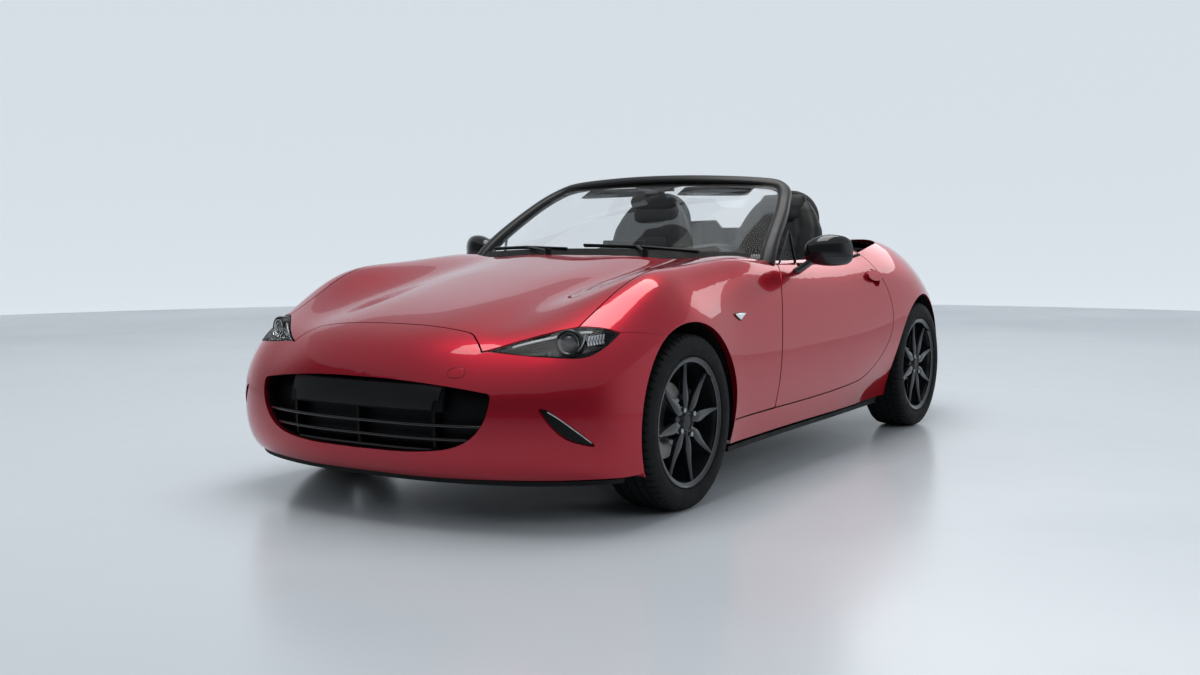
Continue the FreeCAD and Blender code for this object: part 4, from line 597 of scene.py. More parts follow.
def spine_of(points, n):
    p = spline([(0, y, z) for y, z in points], n)
    t = np.gradient(p, axis=0)
    t /= np.linalg.norm(t, axis=1)[:, None]
    spine = [(q[1], q[2]) for q in p]
    front = [(-w[2], w[1]) for w in t]           # turned a quarter towards the nose
    return spine, front


def ends(n, a=0.5, q=6.0):
    """Rounds off both ends of a form."""
    v = np.linspace(-1, 1, n)
    return np.maximum(1 - np.abs(v) ** q, 0.0) ** a


def remap(n):
    """Stations packed closer together at both ends."""
    t = np.linspace(0, math.pi, n)
    return (1 - np.cos(t)) / 2


def pad_piece(name, mat, points, n, W, TF, TB, BO, x0, body="car_body", p=3.0, seams=(), q=8.0, wrinkle=0.0, slot="seat_leather", piece=(-1, 1), seed=0.0):
    tt = remap(n)
    dense, dfront = spine_of(points, 200)
    idx = np.clip((tt * 199).astype(int), 0, 199)
    spine, front = [dense[i] for i in idx], [dfront[i] for i in idx]
    e = np.maximum(1 - np.abs(2 * tt - 1) ** q, 0.0004) ** (1.0 / 2.2)
    w, tf, tb, bo = table(W, tt) * (1 - 0.10 * (1 - e)), table(TF, tt) * e, table(TB, tt) * e, table(BO, tt) * e
    b = Build()
    pillow(b, spine, front, w, tf, tb, bo, x0, 96, p, seams, wrinkle, seed, piece)
    o = b.obj(name, mat, body, angle=60, slot=slot)
    return o


def seat(tag, x0):
    # cushion: from the front edge of the seat back towards the backrest (the spine runs rearwards, its front face looks up)
    cush = [(1625, 448), (1560, 446), (1440, 452), (1320, 462), (1235, 462), (1190, 440)]
    pad_piece("seat_cushion_" + tag, "seat_leather", cush, 56, [(0, 205), (0.5, 216), (0.85, 212), (1, 196)], [(0, 26), (0.5, 30), (0.9, 40), (1, 34)],
                         [(0, 74), (1, 96)], [(0, 46), (0.5, 38), (0.85, 22), (1, 8)], x0, seams=((-0.56, 5, 0.018), (0.56, 5, 0.018)), wrinkle=1.6)
    ins = [(1606, 470), (1540, 470), (1440, 478), (1320, 492), (1240, 496)]
    pad_piece("seat_cushion_centre_" + tag, "seat_cloth", ins, 90, [(0, 104), (0.6, 112), (1, 118)], [(0, 8), (0.5, 11), (1, 10)], [(0, 18), (1, 18)],
                         [(0, 3), (1, 2)], x0, p=5.0, q=14, seams=(), wrinkle=1.2, slot="seat_leather", seed=3.0)
    # backrest: the spine runs upwards, its front face looks towards the nose
    back = [(1628, 452), (1668, 560), (1716, 720), (1760, 880), (1796, 1010), (1818, 1090)]
    pad_piece("seat_back_" + tag, "seat_leather", back, 72, [(0, 200), (0.2, 216), (0.5, 220), (0.70, 208), (0.84, 168), (1, 128)],
                         [(0, 34), (0.3, 36), (0.7, 34), (1, 30)], [(0, 40), (0.3, 52), (0.8, 44), (1, 34)], [(0, 20), (0.2, 50), (0.55, 46), (0.8, 18), (1, 6)],
                         x0, seams=((-0.55, 5, 0.018), (0.55, 5, 0.018)), wrinkle=1.6, seed=7.0)
    insb = [(1612, 506), (1634, 570), (1672, 690), (1712, 830), (1738, 920)]
    pad_piece("seat_back_centre_" + tag, "seat_cloth", insb, 90, [(0, 108), (0.5, 116), (1, 100)], [(0, 10), (0.5, 12), (1, 10)], [(0, 16), (1, 16)],
                         [(0, 4), (1, 3)], x0, p=5.0, q=14, wrinkle=1.2, seed=5.0)
    head = [(1776, 968), (1800, 1030), (1816, 1080), (1822, 1118)]
    pad_piece("seat_head_" + tag, "seat_leather", head, 40, [(0, 112), (0.5, 122), (1, 106)], [(0, 40), (0.5, 44), (1, 36)], [(0, 24), (0.6, 28), (1, 26)],
                         [(0, 2), (1, 2)], x0, p=2.8, q=5.0, wrinkle=0.8, seed=9.0, seams=((0.0, 2.0, 0.02),))
    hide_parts("seat_" + tag)
    # piping along the sewn edges
    b = Build()
    for s in (-1, 1):
        dense, df = spine_of(insb, 60)
        pts = [F(x0 + s * 118, y + f[0] * 20 + 3, z + f[1] * 20) for (y, z), f in list(zip(dense, df))[2:-1]]
        tube(b, [tuple(q) for q in pts], 0.0022, 6, up=(1, 0, 0))
        dense, df = spine_of(ins, 60)
        pts = [F(x0 + s * 121, y, z + 15) for (y, z), f in list(zip(dense, df))[2:-1]]
        tube(b, [tuple(q) for q in pts], 0.0022, 6, up=(1, 0, 0))
    b.obj("seat_piping_" + tag, "rubber_seal", "car_body", slot="seat_leather")
    # channels sewn across the centre panels
    b = Build()
    for k in range(5):
        t = 0.14 + 0.17 * k
        dense, df = spine_of(insb, 100)
        (y, z), f = dense[int(t * 99)], df[int(t * 99)]
        path = [F(x0 + u * 108, y + f[0] * (12.0 - 1.0 * abs(u) ** 2 + 3 * abs(u) ** 2.6), z + f[1] * (12.0 + 2 * abs(u) ** 2.6)) for u in np.linspace(-1, 1, 21)]
        tube(b, [tuple(q) for q in path], 0.0024, 6, up=(0, 0, 1))
        dense, df = spine_of(ins, 100)
        (y, z), f = dense[int(t * 99)], df[int(t * 99)]
        path = [F(x0 + u * 108, y, z + 12.0 + 2 * abs(u) ** 2.6) for u in np.linspace(-1, 1, 21)]
        tube(b, [tuple(q) for q in path], 0.0024, 6, up=(0, 0, 1))
    b.obj("seat_channels_" + tag, "rubber_seal", "car_body", slot="seat_leather")
    # runners and side covers
    b = Build()
    for s in (-1, 1):
        box(b, F(x0 + s * 186 - 14, 1200, 178), F(x0 + s * 186 + 14, 1660, 206))
        box(b, F(x0 + s * 186 - 9, 1240, 204), F(x0 + s * 186 + 9, 1270, 366))
        box(b, F(x0 + s * 186 - 9, 1560, 204), F(x0 + s * 186 + 9, 1600, 366))
    o = b.obj("seat_runners_" + tag, "satin_black", "car_body", smooth=False, slot="seat_leather")
    rounded(o, 0.003, 2)
    b = Build()
    for s in (-1, 1):
        prof = [(1250, 352), (1290, 335), (1560, 330), (1660, 350), (1700, 420), (1690, 470), (1650, 480), (1610, 430), (1540, 398), (1330, 400), (1260, 392)]
        lo, hi = (x0 + s * 216, x0 + s * 228)
        v = [F(min(lo, hi), y, z) for y, z in prof] + [F(max(lo, hi), y, z) for y, z in prof]
        k = len(prof)
        b.add([tuple(q) for q in v], [tuple(range(k - 1, -1, -1)), tuple(range(k, 2 * k))] + [(i, (i + 1) % k, k + (i + 1) % k, k + i) for i in range(k)])
    o = b.obj("seat_side_cover_" + tag, "soft_plastic", "car_body", smooth=False, slot="dash_plastic")
    rounded(o, 0.004, 3)


seat("left", 345.0)
seat("right", -345.0)


# ------------------------------------------------------------------ steering wheel
def steering():
    m = place(345, 1218, 712, Matrix.Rotation(R(-66), 3, "X"))
    M3 = m
    b = Build()
    n = 120
    rows = []
    for i in range(n):
        a = 2 * math.pi * i / n
        grip = 1.0 + 0.13 * math.exp(-((math.degrees(a) - 335) / 16) ** 2) + 0.13 * math.exp(-((math.degrees(a) - 205) / 16) ** 2)
        row = []
        for cx, cy in circle(0.0158 * grip, 16, 0.0172 * grip):
            rr = 0.182 + cx
            row.append((rr * math.cos(a), rr * math.sin(a), cy))
        rows.append(row)
    b.grid(rows, wrap_u=True, wrap_v=True, m=M3)
    ring = b.obj("steering_rim", "seat_leather", "steering_wheel", slot="wheel_leather")
    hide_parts("steering_wheel")
    # spokes
    b = Build()
    for ang in (0.0, 180.0, 90.0):
        a = R(ang)
        wide = 0.026 if ang != 90.0 else 0.020
        split = (0.0,) if ang != 90.0 else (-0.026, 0.026)
        for off in split:
            d, t = Vector((math.cos(a), math.sin(a), 0)), Vector((-math.sin(a), math.cos(a), 0))
            rows = []
            for r, z, w, h in ((0.050, -0.018, wide * 1.25, 0.010), (0.090, -0.016, wide * 0.95, 0.009), (0.130, -0.008, wide * 0.75, 0.007), (0.160, -0.003, wide * 0.72, 0.006), (0.176, 0.0, wide * 0.95, 0.006)):
                if ang == 90.0:
                    w *= 0.42
                rows.append([tuple(d * r + t * (off + q[0] * w) + Vector((0, 0, z + q[1] * h))) for q in circle(1.0, 12, 1.0, 3.0)])
            b.grid(rows, wrap_v=True, m=M3, cap=True)
    b.obj("steering_spokes", "satin_metal", "steering_wheel", slot="wheel_leather")
    # the padded centre: a rounded triangle, crowned
    b = Build()
    out = spline([(-0.062, -0.046, 0), (0.0, -0.054, 0), (0.062, -0.046, 0), (0.070, -0.004, 0), (0.040, 0.050, 0), (0.0, 0.062, 0), (-0.040, 0.050, 0), (-0.070, -0.004, 0)], 56, True)
    rows = []
    for k, z in ((0.90, -0.028), (1.0, -0.022), (1.02, -0.006), (0.985, 0.006), (0.93, 0.0125), (0.84, 0.0165), (0.65, 0.0195), (0.4, 0.0215), (0.12, 0.0222)):
        rows.append([(q[0] * k, q[1] * k, z) for q in out])
    b.grid(rows, wrap_v=True, m=M3, cap=True)
    b.obj("steering_pad", "soft_plastic", "steering_wheel", slot="wheel_leather")
    b = Build()
    rows = []
    for i in range(64):
        a = 2 * math.pi * i / 64
        rows.append([(math.cos(a) * (0.0235 + q[0]), math.sin(a) * (0.0235 + q[0]), 0.0215 + q[1]) for q in circle(0.0016, 8)])
    b.grid(rows, wrap_u=True, wrap_v=True, m=M3)
    for s in (-1, 1):
        for k in range(3):
            disc(b, [(0, 0), (0, 0.0075), (0.004, 0.0075), (0.0052, 0.006), (0.0052, 0)], 20, M3 @ Matrix.Translation((s * (0.086 + 0.0), -0.022 + 0.020 * k, -0.008)) @ axis_to((0, 0, 1)).to_4x4())
    b.obj("steering_buttons", "satin_black", "steering_wheel", slot="wheel_leather")
    # column shroud and stalks belong to the car
    b = Build()
    ax = Vector((0, math.sin(R(66)), math.cos(R(66))))
    up = Vector((0, -math.cos(R(66)), math.sin(R(66))))
    c0 = F(345, 1218, 712)
    rows = []
    for d, w, h in ((0.075, 0.040, 0.036), (0.10, 0.052, 0.048), (0.16, 0.060, 0.056), (0.24, 0.064, 0.060), (0.30, 0.064, 0.060)):
        c = c0 - ax * d
        rows.append([tuple(c + Vector((1, 0, 0)) * q[0] * w + up * q[1] * h) for q in circle(1.0, 32, 1.0, 3.0)])
    b.grid(rows, wrap_v=True, cap=True)
    b.obj("column_shroud", "soft_plastic", "car_body", slot="dash_plastic")
    b = Build()
    for s in (-1, 1):
        p = [c0 - ax * 0.12 + Vector((s * 0.055, 0, 0)), c0 - ax * 0.115 + Vector((s * 0.10, 0, 0)) + up * 0.006, c0 - ax * 0.10 + Vector((s * 0.150, 0, 0)) + up * 0.016]
        tube(b, spline([tuple(q) for q in p], 14), 0.0062, 12, up=(0, 0, 1), scale=np.linspace(0.8, 1.25, 14))
    b.obj("column_stalks", "satin_black", "car_body", slot="dash_plastic")


steering()


# ------------------------------------------------------------------ dashboard and console
def base_y(x):
    return 640 + 196 * abs(x / 712.0) ** 2.1


def dashboard():
    b = Build()
    rows = []
    for x in np.linspace(-668, 668, 61):
        y0 = base_y(x) + 54
        k = abs(x) / 668.0
        c = max(0.0, 1 - abs(x) / 150.0)
        d = max(0.0, 1 - abs(x - 345) / 190.0)
        bulge = 10 * math.cos(k * math.pi / 2)
        pts = [(y0 + 12, 600), (y0, 740), (y0 + 4, 806), (y0 + 22, 828), (y0 + 60, 839), (950, 846 + 3 * d), (1018, 843 + 3 * d), (1052, 832), (1068 + bulge, 812),
               (1073 + bulge, 788), (1066 + bulge, 768), (1050 + bulge, 757), (1047 + bulge, 748), (1062 + bulge, 738), (1066 + bulge, 716), (1058 + bulge, 690),
               (1036, 655), (1010, 618), (985, 590), (950, 570), (y0 + 60, 562)]
        rows.append([tuple(F(x, y, z)) for y, z in spline([(0, y, z) for y, z in pts], 84)[:, 1:]])
    b.grid(rows, wrap_v=True, cap=True)
    o = b.obj("dash_body", "soft_plastic", "car_body", angle=50, slot="dash_plastic")
    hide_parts("dashboard")
    # slim trim strip along the dash
    b = Build()
    pts = []
    for x in np.linspace(-640, 640, 81):
        k = abs(x) / 668.0
        pts.append(tuple(F(x, 1049 + 10 * math.cos(k * math.pi / 2), 752.5)))
    sweep(b, pts, [(-0.004, -0.006), (0.0035, -0.006), (0.0035, 0.006), (-0.004, 0.006)], up=(0, 0, 1))
    b.obj("dash_strip", "satin_metal", "car_body", slot="dash_plastic")
    # instrument hood
    b = Build()
    rows = []
    for i, (y, k) in enumerate(((930, 0.72), (960, 0.84), (1000, 0.95), (1040, 1.0), (1078, 1.01), (1092, 1.0), (1096, 0.985), (1094, 0.965), (1070, 0.955), (1034, 0.945))):
        row = []
        for j in range(49):
            a = math.pi * (-0.06 + 1.12 * j / 48)
            row.append(tuple(F(345 + 168 * k * math.cos(a), y - 12 * math.sin(a) * 0, 806 + 84 * k * math.sin(a) ** 0.9 if math.sin(a) > 0 else 806 + 84 * k * math.sin(a))))
        rows.append(row)
    b.grid(rows)
    o = b.obj("instrument_hood", "soft_plastic", "car_body", slot="dash_plastic")
    s = o.modifiers.new("t", "SOLIDIFY")
    s.thickness = 0.004
    bake(o)
    b = Build()
    box(b, F(190, 1030, 742), F(500, 1036, 884))
    o = b.obj("instrument_panel", "lamp_black", "car_body", smooth=False, slot="dash_plastic")
    rounded(o, 0.002, 2)
    rings, marks, needles, faces = Build(), Build(), Build(), Build()
    for cx, cz, r in ((345, 812, 50), (246, 806, 38), (444, 806, 38)):
        m = place(cx, 1037, cz, axis_to((0, 1, 0)))
        revolve(rings, [(0, r / 1000 + 0.0005), (0.010, r / 1000 + 0.0005), (0.012, r / 1000 + 0.002), (0.010, r / 1000 + 0.004), (0, r / 1000 + 0.004)], 64, m)
        disc(faces, [(0, 0), (0, r / 1000), (0.002, r / 1000), (0.002, 0)], 48, m)
        for k in range(41):
            a = math.radians(225 - 270 * k / 40)
            long = 0.0075 if k % 5 == 0 else 0.004
            mm_ = m @ Matrix.Rotation(a, 4, "X")
            q = r / 1000 - 0.003
            box(marks, (0.002, -0.0005, q - long), (0.0026, 0.0005, q), mm_)
        mm_ = m @ Matrix.Rotation(math.radians(205), 4, "X")
        box(needles, (0.0035, -0.0008, -0.008), (0.0045, 0.0008, r / 1000 * 0.82), mm_)
        disc(needles, [(0.002, 0), (0.002, 0.006), (0.006, 0.006), (0.0065, 0)], 20, m)
    rings.obj("dial_rings", "satin_metal", "car_body", slot="dash_plastic")
    faces.obj("dial_faces", "screen_dark", "car_body", slot="dash_plastic")
    marks.obj("dial_marks", "plate_blank", "car_body", smooth=False, slot="dash_plastic")
    needles.obj("dial_needles", "lens_red", "car_body", slot="dash_plastic")
    # round air vents
    rings, vanes, wells = Build(), Build(), Build()
    for x, z in ((598, 792), (-598, 792), (96, 792), (-96, 792)):
        y = 1064 + 10 * math.cos(abs(x) / 668 * math.pi / 2)
        m = place(x, y, z, axis_to((0, 1, 0.12)))
        mm = 0.001
        revolve(rings, [(p * mm, r * mm) for p, r in ((-8, 33), (9, 33), (13, 35), (14.5, 38), (13, 41), (8, 43), (-8, 43))], 64, m)
        disc(wells, [(p * mm, r * mm) for p, r in ((-9, 0), (-9, 33), (0, 33), (0, 0))], 40, m)
        for k in range(-3, 4):
            w = math.sqrt(max(0.0, 33.0 ** 2 - (k * 8.5) ** 2)) * mm
            box(vanes, (0.001, -w, k * 0.0085 - 0.0008), (0.010, w, k * 0.0085 + 0.0008), m)
        disc(vanes, [(0.002, 0), (0.002, 0.008), (0.013, 0.008), (0.015, 0.005), (0.015, 0)], 20, m)
    rings.obj("vent_rings", "satin_metal", "car_body", slot="dash_plastic")
    vanes.obj("vent_vanes", "satin_black", "car_body", slot="dash_plastic")
    wells.obj("vent_wells", "lamp_black", "car_body", slot="dash_plastic")
    # centre display on the dash top
    b = Build()
    tilt = Matrix.Rotation(R(-12), 3, "X")
    m = place(-14, 950, 868, tilt)
    box(b, (-0.104, -0.006, -0.034), (0.104, 0.006, 0.040), m)
    o = b.obj("display_case", "satin_black", "car_body", smooth=False, slot="dash_plastic")
    rounded(o, 0.005, 4)
    b = Build()
    box(b, (-0.098, 0.0055, -0.028), (0.098, 0.0066, 0.034), m)
    o = b.obj("display_glass", "screen_dark", "car_body", smooth=False, slot="dash_plastic")
    rounded(o, 0.0004, 2)
    # climate dials
    knobs, ticks = Build(), Build()
    for x in (-74, 0, 74):
        m = place(x, 1052, 672, axis_to((0, 1, 0.55)))
        disc(knobs, [(-0.004, 0), (-0.004, 0.029), (0.002, 0.029), (0.004, 0.0265), (0.004, 0.0225), (0.021, 0.0205), (0.0235, 0.018), (0.0235, 0)], 48, m)
        for k in range(13):
            mm_ = m @ Matrix.Rotation(math.radians(-120 + 20 * k), 4, "X")
            box(ticks, (0.0035, -0.0004, 0.0245), (0.0046, 0.0004, 0.0275), mm_)
    knobs.obj("climate_knobs", "satin_black", "car_body", slot="dash_plastic")
    ticks.obj("climate_ticks", "plate_blank", "car_body", smooth=False, slot="dash_plastic")


def rows_loft(name, mat, rows, body="car_body", angle=45, slot=None, sub=0):
    b = Build()
    b.grid(rows, wrap_v=True, cap=True)
    o = b.obj(name, mat, body, angle=angle, slot=slot)
    if sub:
        subdivide(o, sub, angle)
    return o


def console():
    rows = []
    for y, top, w in ((985, 690, 96), (1020, 688, 98), (1080, 655, 100), (1160, 600, 102), (1240, 556, 103), (1330, 538, 104), (1480, 540, 104), (1600, 546, 104),
                      (1760, 552, 104), (1800, 575, 103), (1850, 620, 102), (1890, 642, 101), (1935, 648, 100)):
        h = (top - 431) / 2
        rows.append([tuple(F(q[0] * w, y, 431 + h + q[1] * h)) for q in circle(1.0, 40, 1.0, 7.0)])
    o = rows_loft("console_body", "soft_plastic", rows, angle=55, slot="dash_plastic")
    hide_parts("centre_console")
    # gaiter: a soft cone with folds, and the lever with its knob
    b = Build()
    rows = []
    for k in range(17):
        t = k / 16
        z = 540 + 62 * t
        r = lin(56, 12, t ** 0.8) + 3.2 * math.sin(t * 5.2 * math.pi) * (1 - t)
        row = []
        for j in range(64):
            a = 2 * math.pi * j / 64
            ca, sa = math.cos(a), math.sin(a)
            kk = (abs(ca) ** 3.0 + abs(sa) ** 3.0) ** (-1 / 3.0)
            kk = lin(kk, 1.0, t)
            fold = 1 + 0.05 * (1 - t) * t * 4 * math.sin(4 * a + 3 * t)
            row.append(tuple(F(r * 0.86 * kk * ca * fold, 1330 + r * 1.15 * kk * sa * fold, z)))
        rows.append(row)
    b.grid(rows, wrap_v=True, cap=True)
    g = b.obj("gear_gaiter", "seat_leather", "car_body", slot="seat_leather")
    b = Build()
    disc(b, [(0, 0), (0, 0.0075), (0.045, 0.0065), (0.050, 0.012), (0.056, 0.017), (0.070, 0.0235), (0.086, 0.0255), (0.098, 0.0225), (0.1055, 0.014), (0.1075, 0)], 48,
         place(0, 1330, 596, axis_to((0, -0.05, 1))))
    b.obj("gear_knob", "satin_black", "car_body", slot="dash_plastic")
    b = Build()
    revolve(b, [(0.0, 0.0500), (0.006, 0.0500), (0.009, 0.0525), (0.008, 0.0580), (0, 0.0600)], 64, place(0, 1330, 537, axis_to((0, 0, 1))) @ Matrix.Scale(1.12, 4, (0, 1, 0)))
    for yy in (1700, 1770):
        revolve(b, [(0.0, 0.0330), (0.006, 0.0330), (0.008, 0.0345), (0.007, 0.0375), (0, 0.0380)], 64, place(0, yy, 547, axis_to((0, 0, 1))))
    b.obj("console_rings", "satin_metal", "car_body", slot="dash_plastic")
    # hand brake
    b = Build()
    path = spline([tuple(F(-62, 1570, 535)), tuple(F(-62, 1520, 556)), tuple(F(-62, 1440, 590)), tuple(F(-62, 1350, 616)), tuple(F(-62, 1330, 620))], 26)
    sc = np.interp(np.linspace(0, 1, 26), [0, 0.3, 0.45, 0.8, 0.93, 1.0], [0.8, 0.85, 1.3, 1.4, 1.25, 0.5])
    tube(b, path, 0.0125, 20, up=(1, 0, 0), scale=sc)
    b.obj("hand_brake", "seat_leather", "car_body", slot="dash_plastic")
    # armrest lid
    b = Build()
    rows = []
    for y, e in zip(np.linspace(1460, 1640, 24), ends(24, 0.45, 8)):
        rows.append([tuple(F(q[0] * 66 * (0.93 + 0.07 * e), y, 552 + q[1] * 17 * max(e, 0.05) + 3)) for q in circle(1.0, 40, 1.0, 4.0)])
    b.grid(rows, wrap_v=True, cap=True)
    o = b.obj("armrest_lid", "seat_leather", "car_body", slot="seat_leather")


def pedals():
    b = Build()
    for x, w in ((300, 26), (372, 26), (440, 22)):
        box(b, F(x - w, 700, 300), F(x + w, 712, 360 if w > 22 else 400))
    o = b.obj("pedal_pads", "rubber_seal", "car_body", smooth=False, slot="dash_plastic")
    rounded(o, 0.004, 3)
    b = Build()
    for x in (300, 372, 440):
        tube(b, [tuple(F(x, 706, 345)), tuple(F(x, 670, 420)), tuple(F(x, 640, 560))], 0.006, 10, up=(1, 0, 0))
    b.obj("pedal_arms", "satin_black", "car_body", slot="dash_plastic")


def carpets():
    b = Build()
    for s in (-1, 1):
        x0, x1 = sorted((s * 124, s * 682))
        box(b, F(x0, 484, 175.4), F(x1, 1940, 182))
        x0, x1 = sorted((s * 112, s * 660))
        box(b, F(x0, 481, 182), F(x1, 489, 560))
        x0, x1 = sorted((s * 676, s * 683.6))
        box(b, F(x0, 700, 182), F(x1, 1940, 329))
        x0, x1 = sorted((s * 120.5, s * 126))
        box(b, F(x0, 489, 182), F(x1, 1940, 429))
    box(b, F(-638, 1936, 182), F(638, 1944.5, 768))
    box(b, F(-483, 2262, 430.5), F(483, 2978, 437))
    for s in (-1, 1):
        x0, x1 = sorted((s * 478, s * 484.4))
        box(b, F(x0, 2262, 437), F(x1, 2972, 690))
    box(b, F(-478, 2260.6, 437), F(478, 2266, 760))
    o = b.obj("carpets", "carpet", "car_body", smooth=False, slot="dash_plastic")
    rounded(o, 0.0025, 2)
    # floor mats
    b = Build()
    for s in (-1, 1):
        rows = []
        out = circle(1.0, 48, 1.0, 8.0)
        for k, z in ((0.985, 182.0), (1.0, 183.5), (1.0, 187.0), (0.985, 188.6)):
            rows.append([tuple(F(s * 400 + q[0] * 215 * k, 880 + q[1] * 270 * k, z)) for q in out])
        b.grid(rows, wrap_v=True, cap=True)
    b.obj("floor_mats", "carpet", "car_body", slot="dash_plastic")


dashboard()
console()
pedals()
carpets()


# ------------------------------------------------------------------ finding the skin
from mathutils.bvhtree import BVHTree

_trees = {}


def tree_of(*names):
    key = tuple(names)
    if key not in _trees:
        v, f, n = [], [], 0
        for name in names:
            me = frame["nodes"][name].data
            v += [q.co.copy() for q in me.vertices]
            f += [tuple(i + n for i in p.vertices) for p in me.polygons]
            n = len(v)
        _trees[key] = BVHTree.FromPolygons(v, f)
    return _trees[key]


def hit(names, point, direction, back=0.4):
    """The first place on the named nodes met from outside, going along the direction through the point."""
    d = Vector(direction).normalized()
    p, nrm, _, _ = tree_of(*names).ray_cast(Vector(point) - d * back, d, back * 2)
    if p is not None and nrm.dot(d) > 0:
        nrm = -nrm
    return p, nrm


def trace(b, names, points, direction, r=0.0010, lift=0.0, n=60, seg=6, closed=False):
    """A thin line laid on the skin."""
    pts = spline([tuple(q) for q in points], n, closed)
    out, last = [], None
    for q in pts:
        p, nrm = hit(names, q, direction)
        if p is None:
            continue
        p = p + nrm * lift
        out.append(tuple(p))
    if len(out) > 3:
        tube(b, out, r, seg, up=direction, closed=closed)
    return out


SIDES = (("left", 1), ("right", -1))


# ------------------------------------------------------------------ doors, mirrors and side trim
def extrude_x(b, outline, x0, x1):
    k = len(outline)
    v = [F(x0, y, z) for y, z in outline] + [F(x1, y, z) for y, z in outline]
    return b.add([tuple(q) for q in v], [tuple(range(k - 1, -1, -1)), tuple(range(k, 2 * k))] + [(i, (i + 1) % k, k + (i + 1) % k, k + i) for i in range(k)])


def door_trim():
    card = [(868, 348), (862, 560), (866, 742), (960, 752), (1200, 754), (1500, 762), (1720, 772), (1800, 768), (1838, 700), (1842, 580), (1812, 450), (1752, 366), (1640, 330),
            (1400, 322), (1000, 322), (900, 326)]
    card = [(q[1], q[2]) for q in spline([(0, y, z) for y, z in card], 90, True)]
    for tag, s in SIDES:
        body = "door_" + tag
        b = Build()
        x0, x1 = sorted((s * 711.5, s * 721.3))
        extrude_x(b, card, x0, x1)
        o = b.obj("door_card_" + tag, "soft_plastic", body, smooth=False, slot="dash_plastic")
        rounded(o, 0.0045, 3)
        # arm rest: a padded ledge
        rows = []
        for y, w, h, z in ((930, 4, 14, 600), (960, 14, 22, 602), (1020, 24, 27, 604), (1150, 30, 29, 604), (1350, 32, 30, 606), (1520, 32, 30, 610), (1620, 28, 28, 614), (1690, 18, 24, 620),
                           (1730, 5, 14, 624)):
            rows.append([tuple(F(s * (714 - w + q[0] * w), y, z + q[1] * h)) for q in circle(1.0, 36, 1.0, 3.6)])
        o = rows_loft("door_armrest_" + tag, "seat_leather", rows, body, 60, "seat_leather")
        b = Build()
        m = place(s * 712, 1010, 440, axis_to((-s, 0, 0)))
        revolve(b, [(0, 0.078), (0.004, 0.079), (0.006, 0.083), (0.004, 0.087), (0, 0.088)], 72, m)
        for k in range(1, 8):
            revolve(b, [(0.0, 0.010 * k - 0.0012), (0.0035, 0.010 * k - 0.0012), (0.0035, 0.010 * k + 0.0012), (0.0, 0.010 * k + 0.0012)], 56, m)
        for k in range(12):
            box(b, (0, -0.0012, 0.008), (0.003, 0.0012, 0.079), m @ Matrix.Rotation(math.pi * k / 6, 4, "X"))
        b.obj("door_speaker_" + tag, "satin_black", body, angle=30, slot="dash_plastic")
        b = Build()
        p = [F(s * 711, 930, 690), F(s * 698, 945, 691), F(s * 694, 990, 692), F(s * 698, 1030, 692), F(s * 706, 1046, 691)]
        sweep(b, spline([tuple(q) for q in p], 24), circle(0.0036, 12, 0.009), up=(0, 0, 1), scale=np.interp(np.linspace(0, 1, 24), [0, 0.15, 0.85, 1], [0.7, 1, 1, 0.7]))
        b.obj("door_release_" + tag, "satin_metal", body, slot="dash_plastic")
        b = Build()
        box(b, F(s * 690 - 12, 1060, 634), F(s * 690 + 12, 1150, 640))
        o = b.obj("door_switches_" + tag, "satin_black", body, smooth=False, slot="dash_plastic")
        rounded(o, 0.0025, 3)
        # belt weather strip along the top of the door
        b = Build()
        pts = []
        for y in np.linspace(1082, 1858, 60):
            p, nrm = hit(["door_" + tag], F(s * 741, y, 850), (0, 0, -1))
            if p is not None:
                pts.append((p.x, p.y, p.z + 0.001))
        if len(pts) > 4:
            sweep(b, pts, [(-0.0085, -0.003), (0.0085, -0.003), (0.0075, 0.0022), (0.003, 0.0036), (-0.003, 0.0036), (-0.0075, 0.0022)], up=(0, 0, 1))
            b.obj("belt_strip_" + tag, "rubber_seal", body, slot="black_trim")
        # quarter glass surround
        b = Build()
        tube(b, [tuple(F(s * 738.5, 1068, 814)), tuple(F(s * 726, 1064, 880)), tuple(F(s * 713, 1058.5, 946))], 0.0058, 12, up=(1, 0, 0))
        tube(b, [tuple(F(s * 712.5, 1056.5, 946)), tuple(F(s * 725, 985, 880)), tuple(F(s * 738, 914, 816.5))], 0.0042, 12, up=(1, 0, 0))
        b.obj("quarter_surround_" + tag, "satin_black", body, slot="black_trim")
        # mirror glass in its bezel
        b = Build()
        out = circle(1.0, 56, 1.0, 2.7)
        c = F(s * 884, 1100.4, 866)
        ax = Vector((0.0, 1.0, 0.0))
        sx = Vector((1, 0, 0)) - ax * ax.x
        sx.normalize()
        rows = []
        for k, d in ((1.0, -0.004), (1.0, 0.0), (0.985, 0.0012), (0.5, 0.0016), (0.05, 0.0017)):
            rows.append([tuple(c + sx * (q[0] * 0.069 * k) + Vector((0, 0, 1)) * (q[1] * 0.046 * k) + ax * d) for q in out])
        b.grid(rows, wrap_v=True, cap=True)
        b.obj("mirror_glass_" + tag, "mirror_glass", body, slot="black_gloss")
        b = Build()
        sweep(b, [tuple(c + sx * (q[0] * 0.0715) + Vector((0, 0, 1)) * (q[1] * 0.0485) + ax * 0.0) for q in out], circle(0.0028, 8), up=tuple(ax), closed=True)
        b.obj("mirror_bezel_" + tag, "satin_black", body, slot="black_gloss")
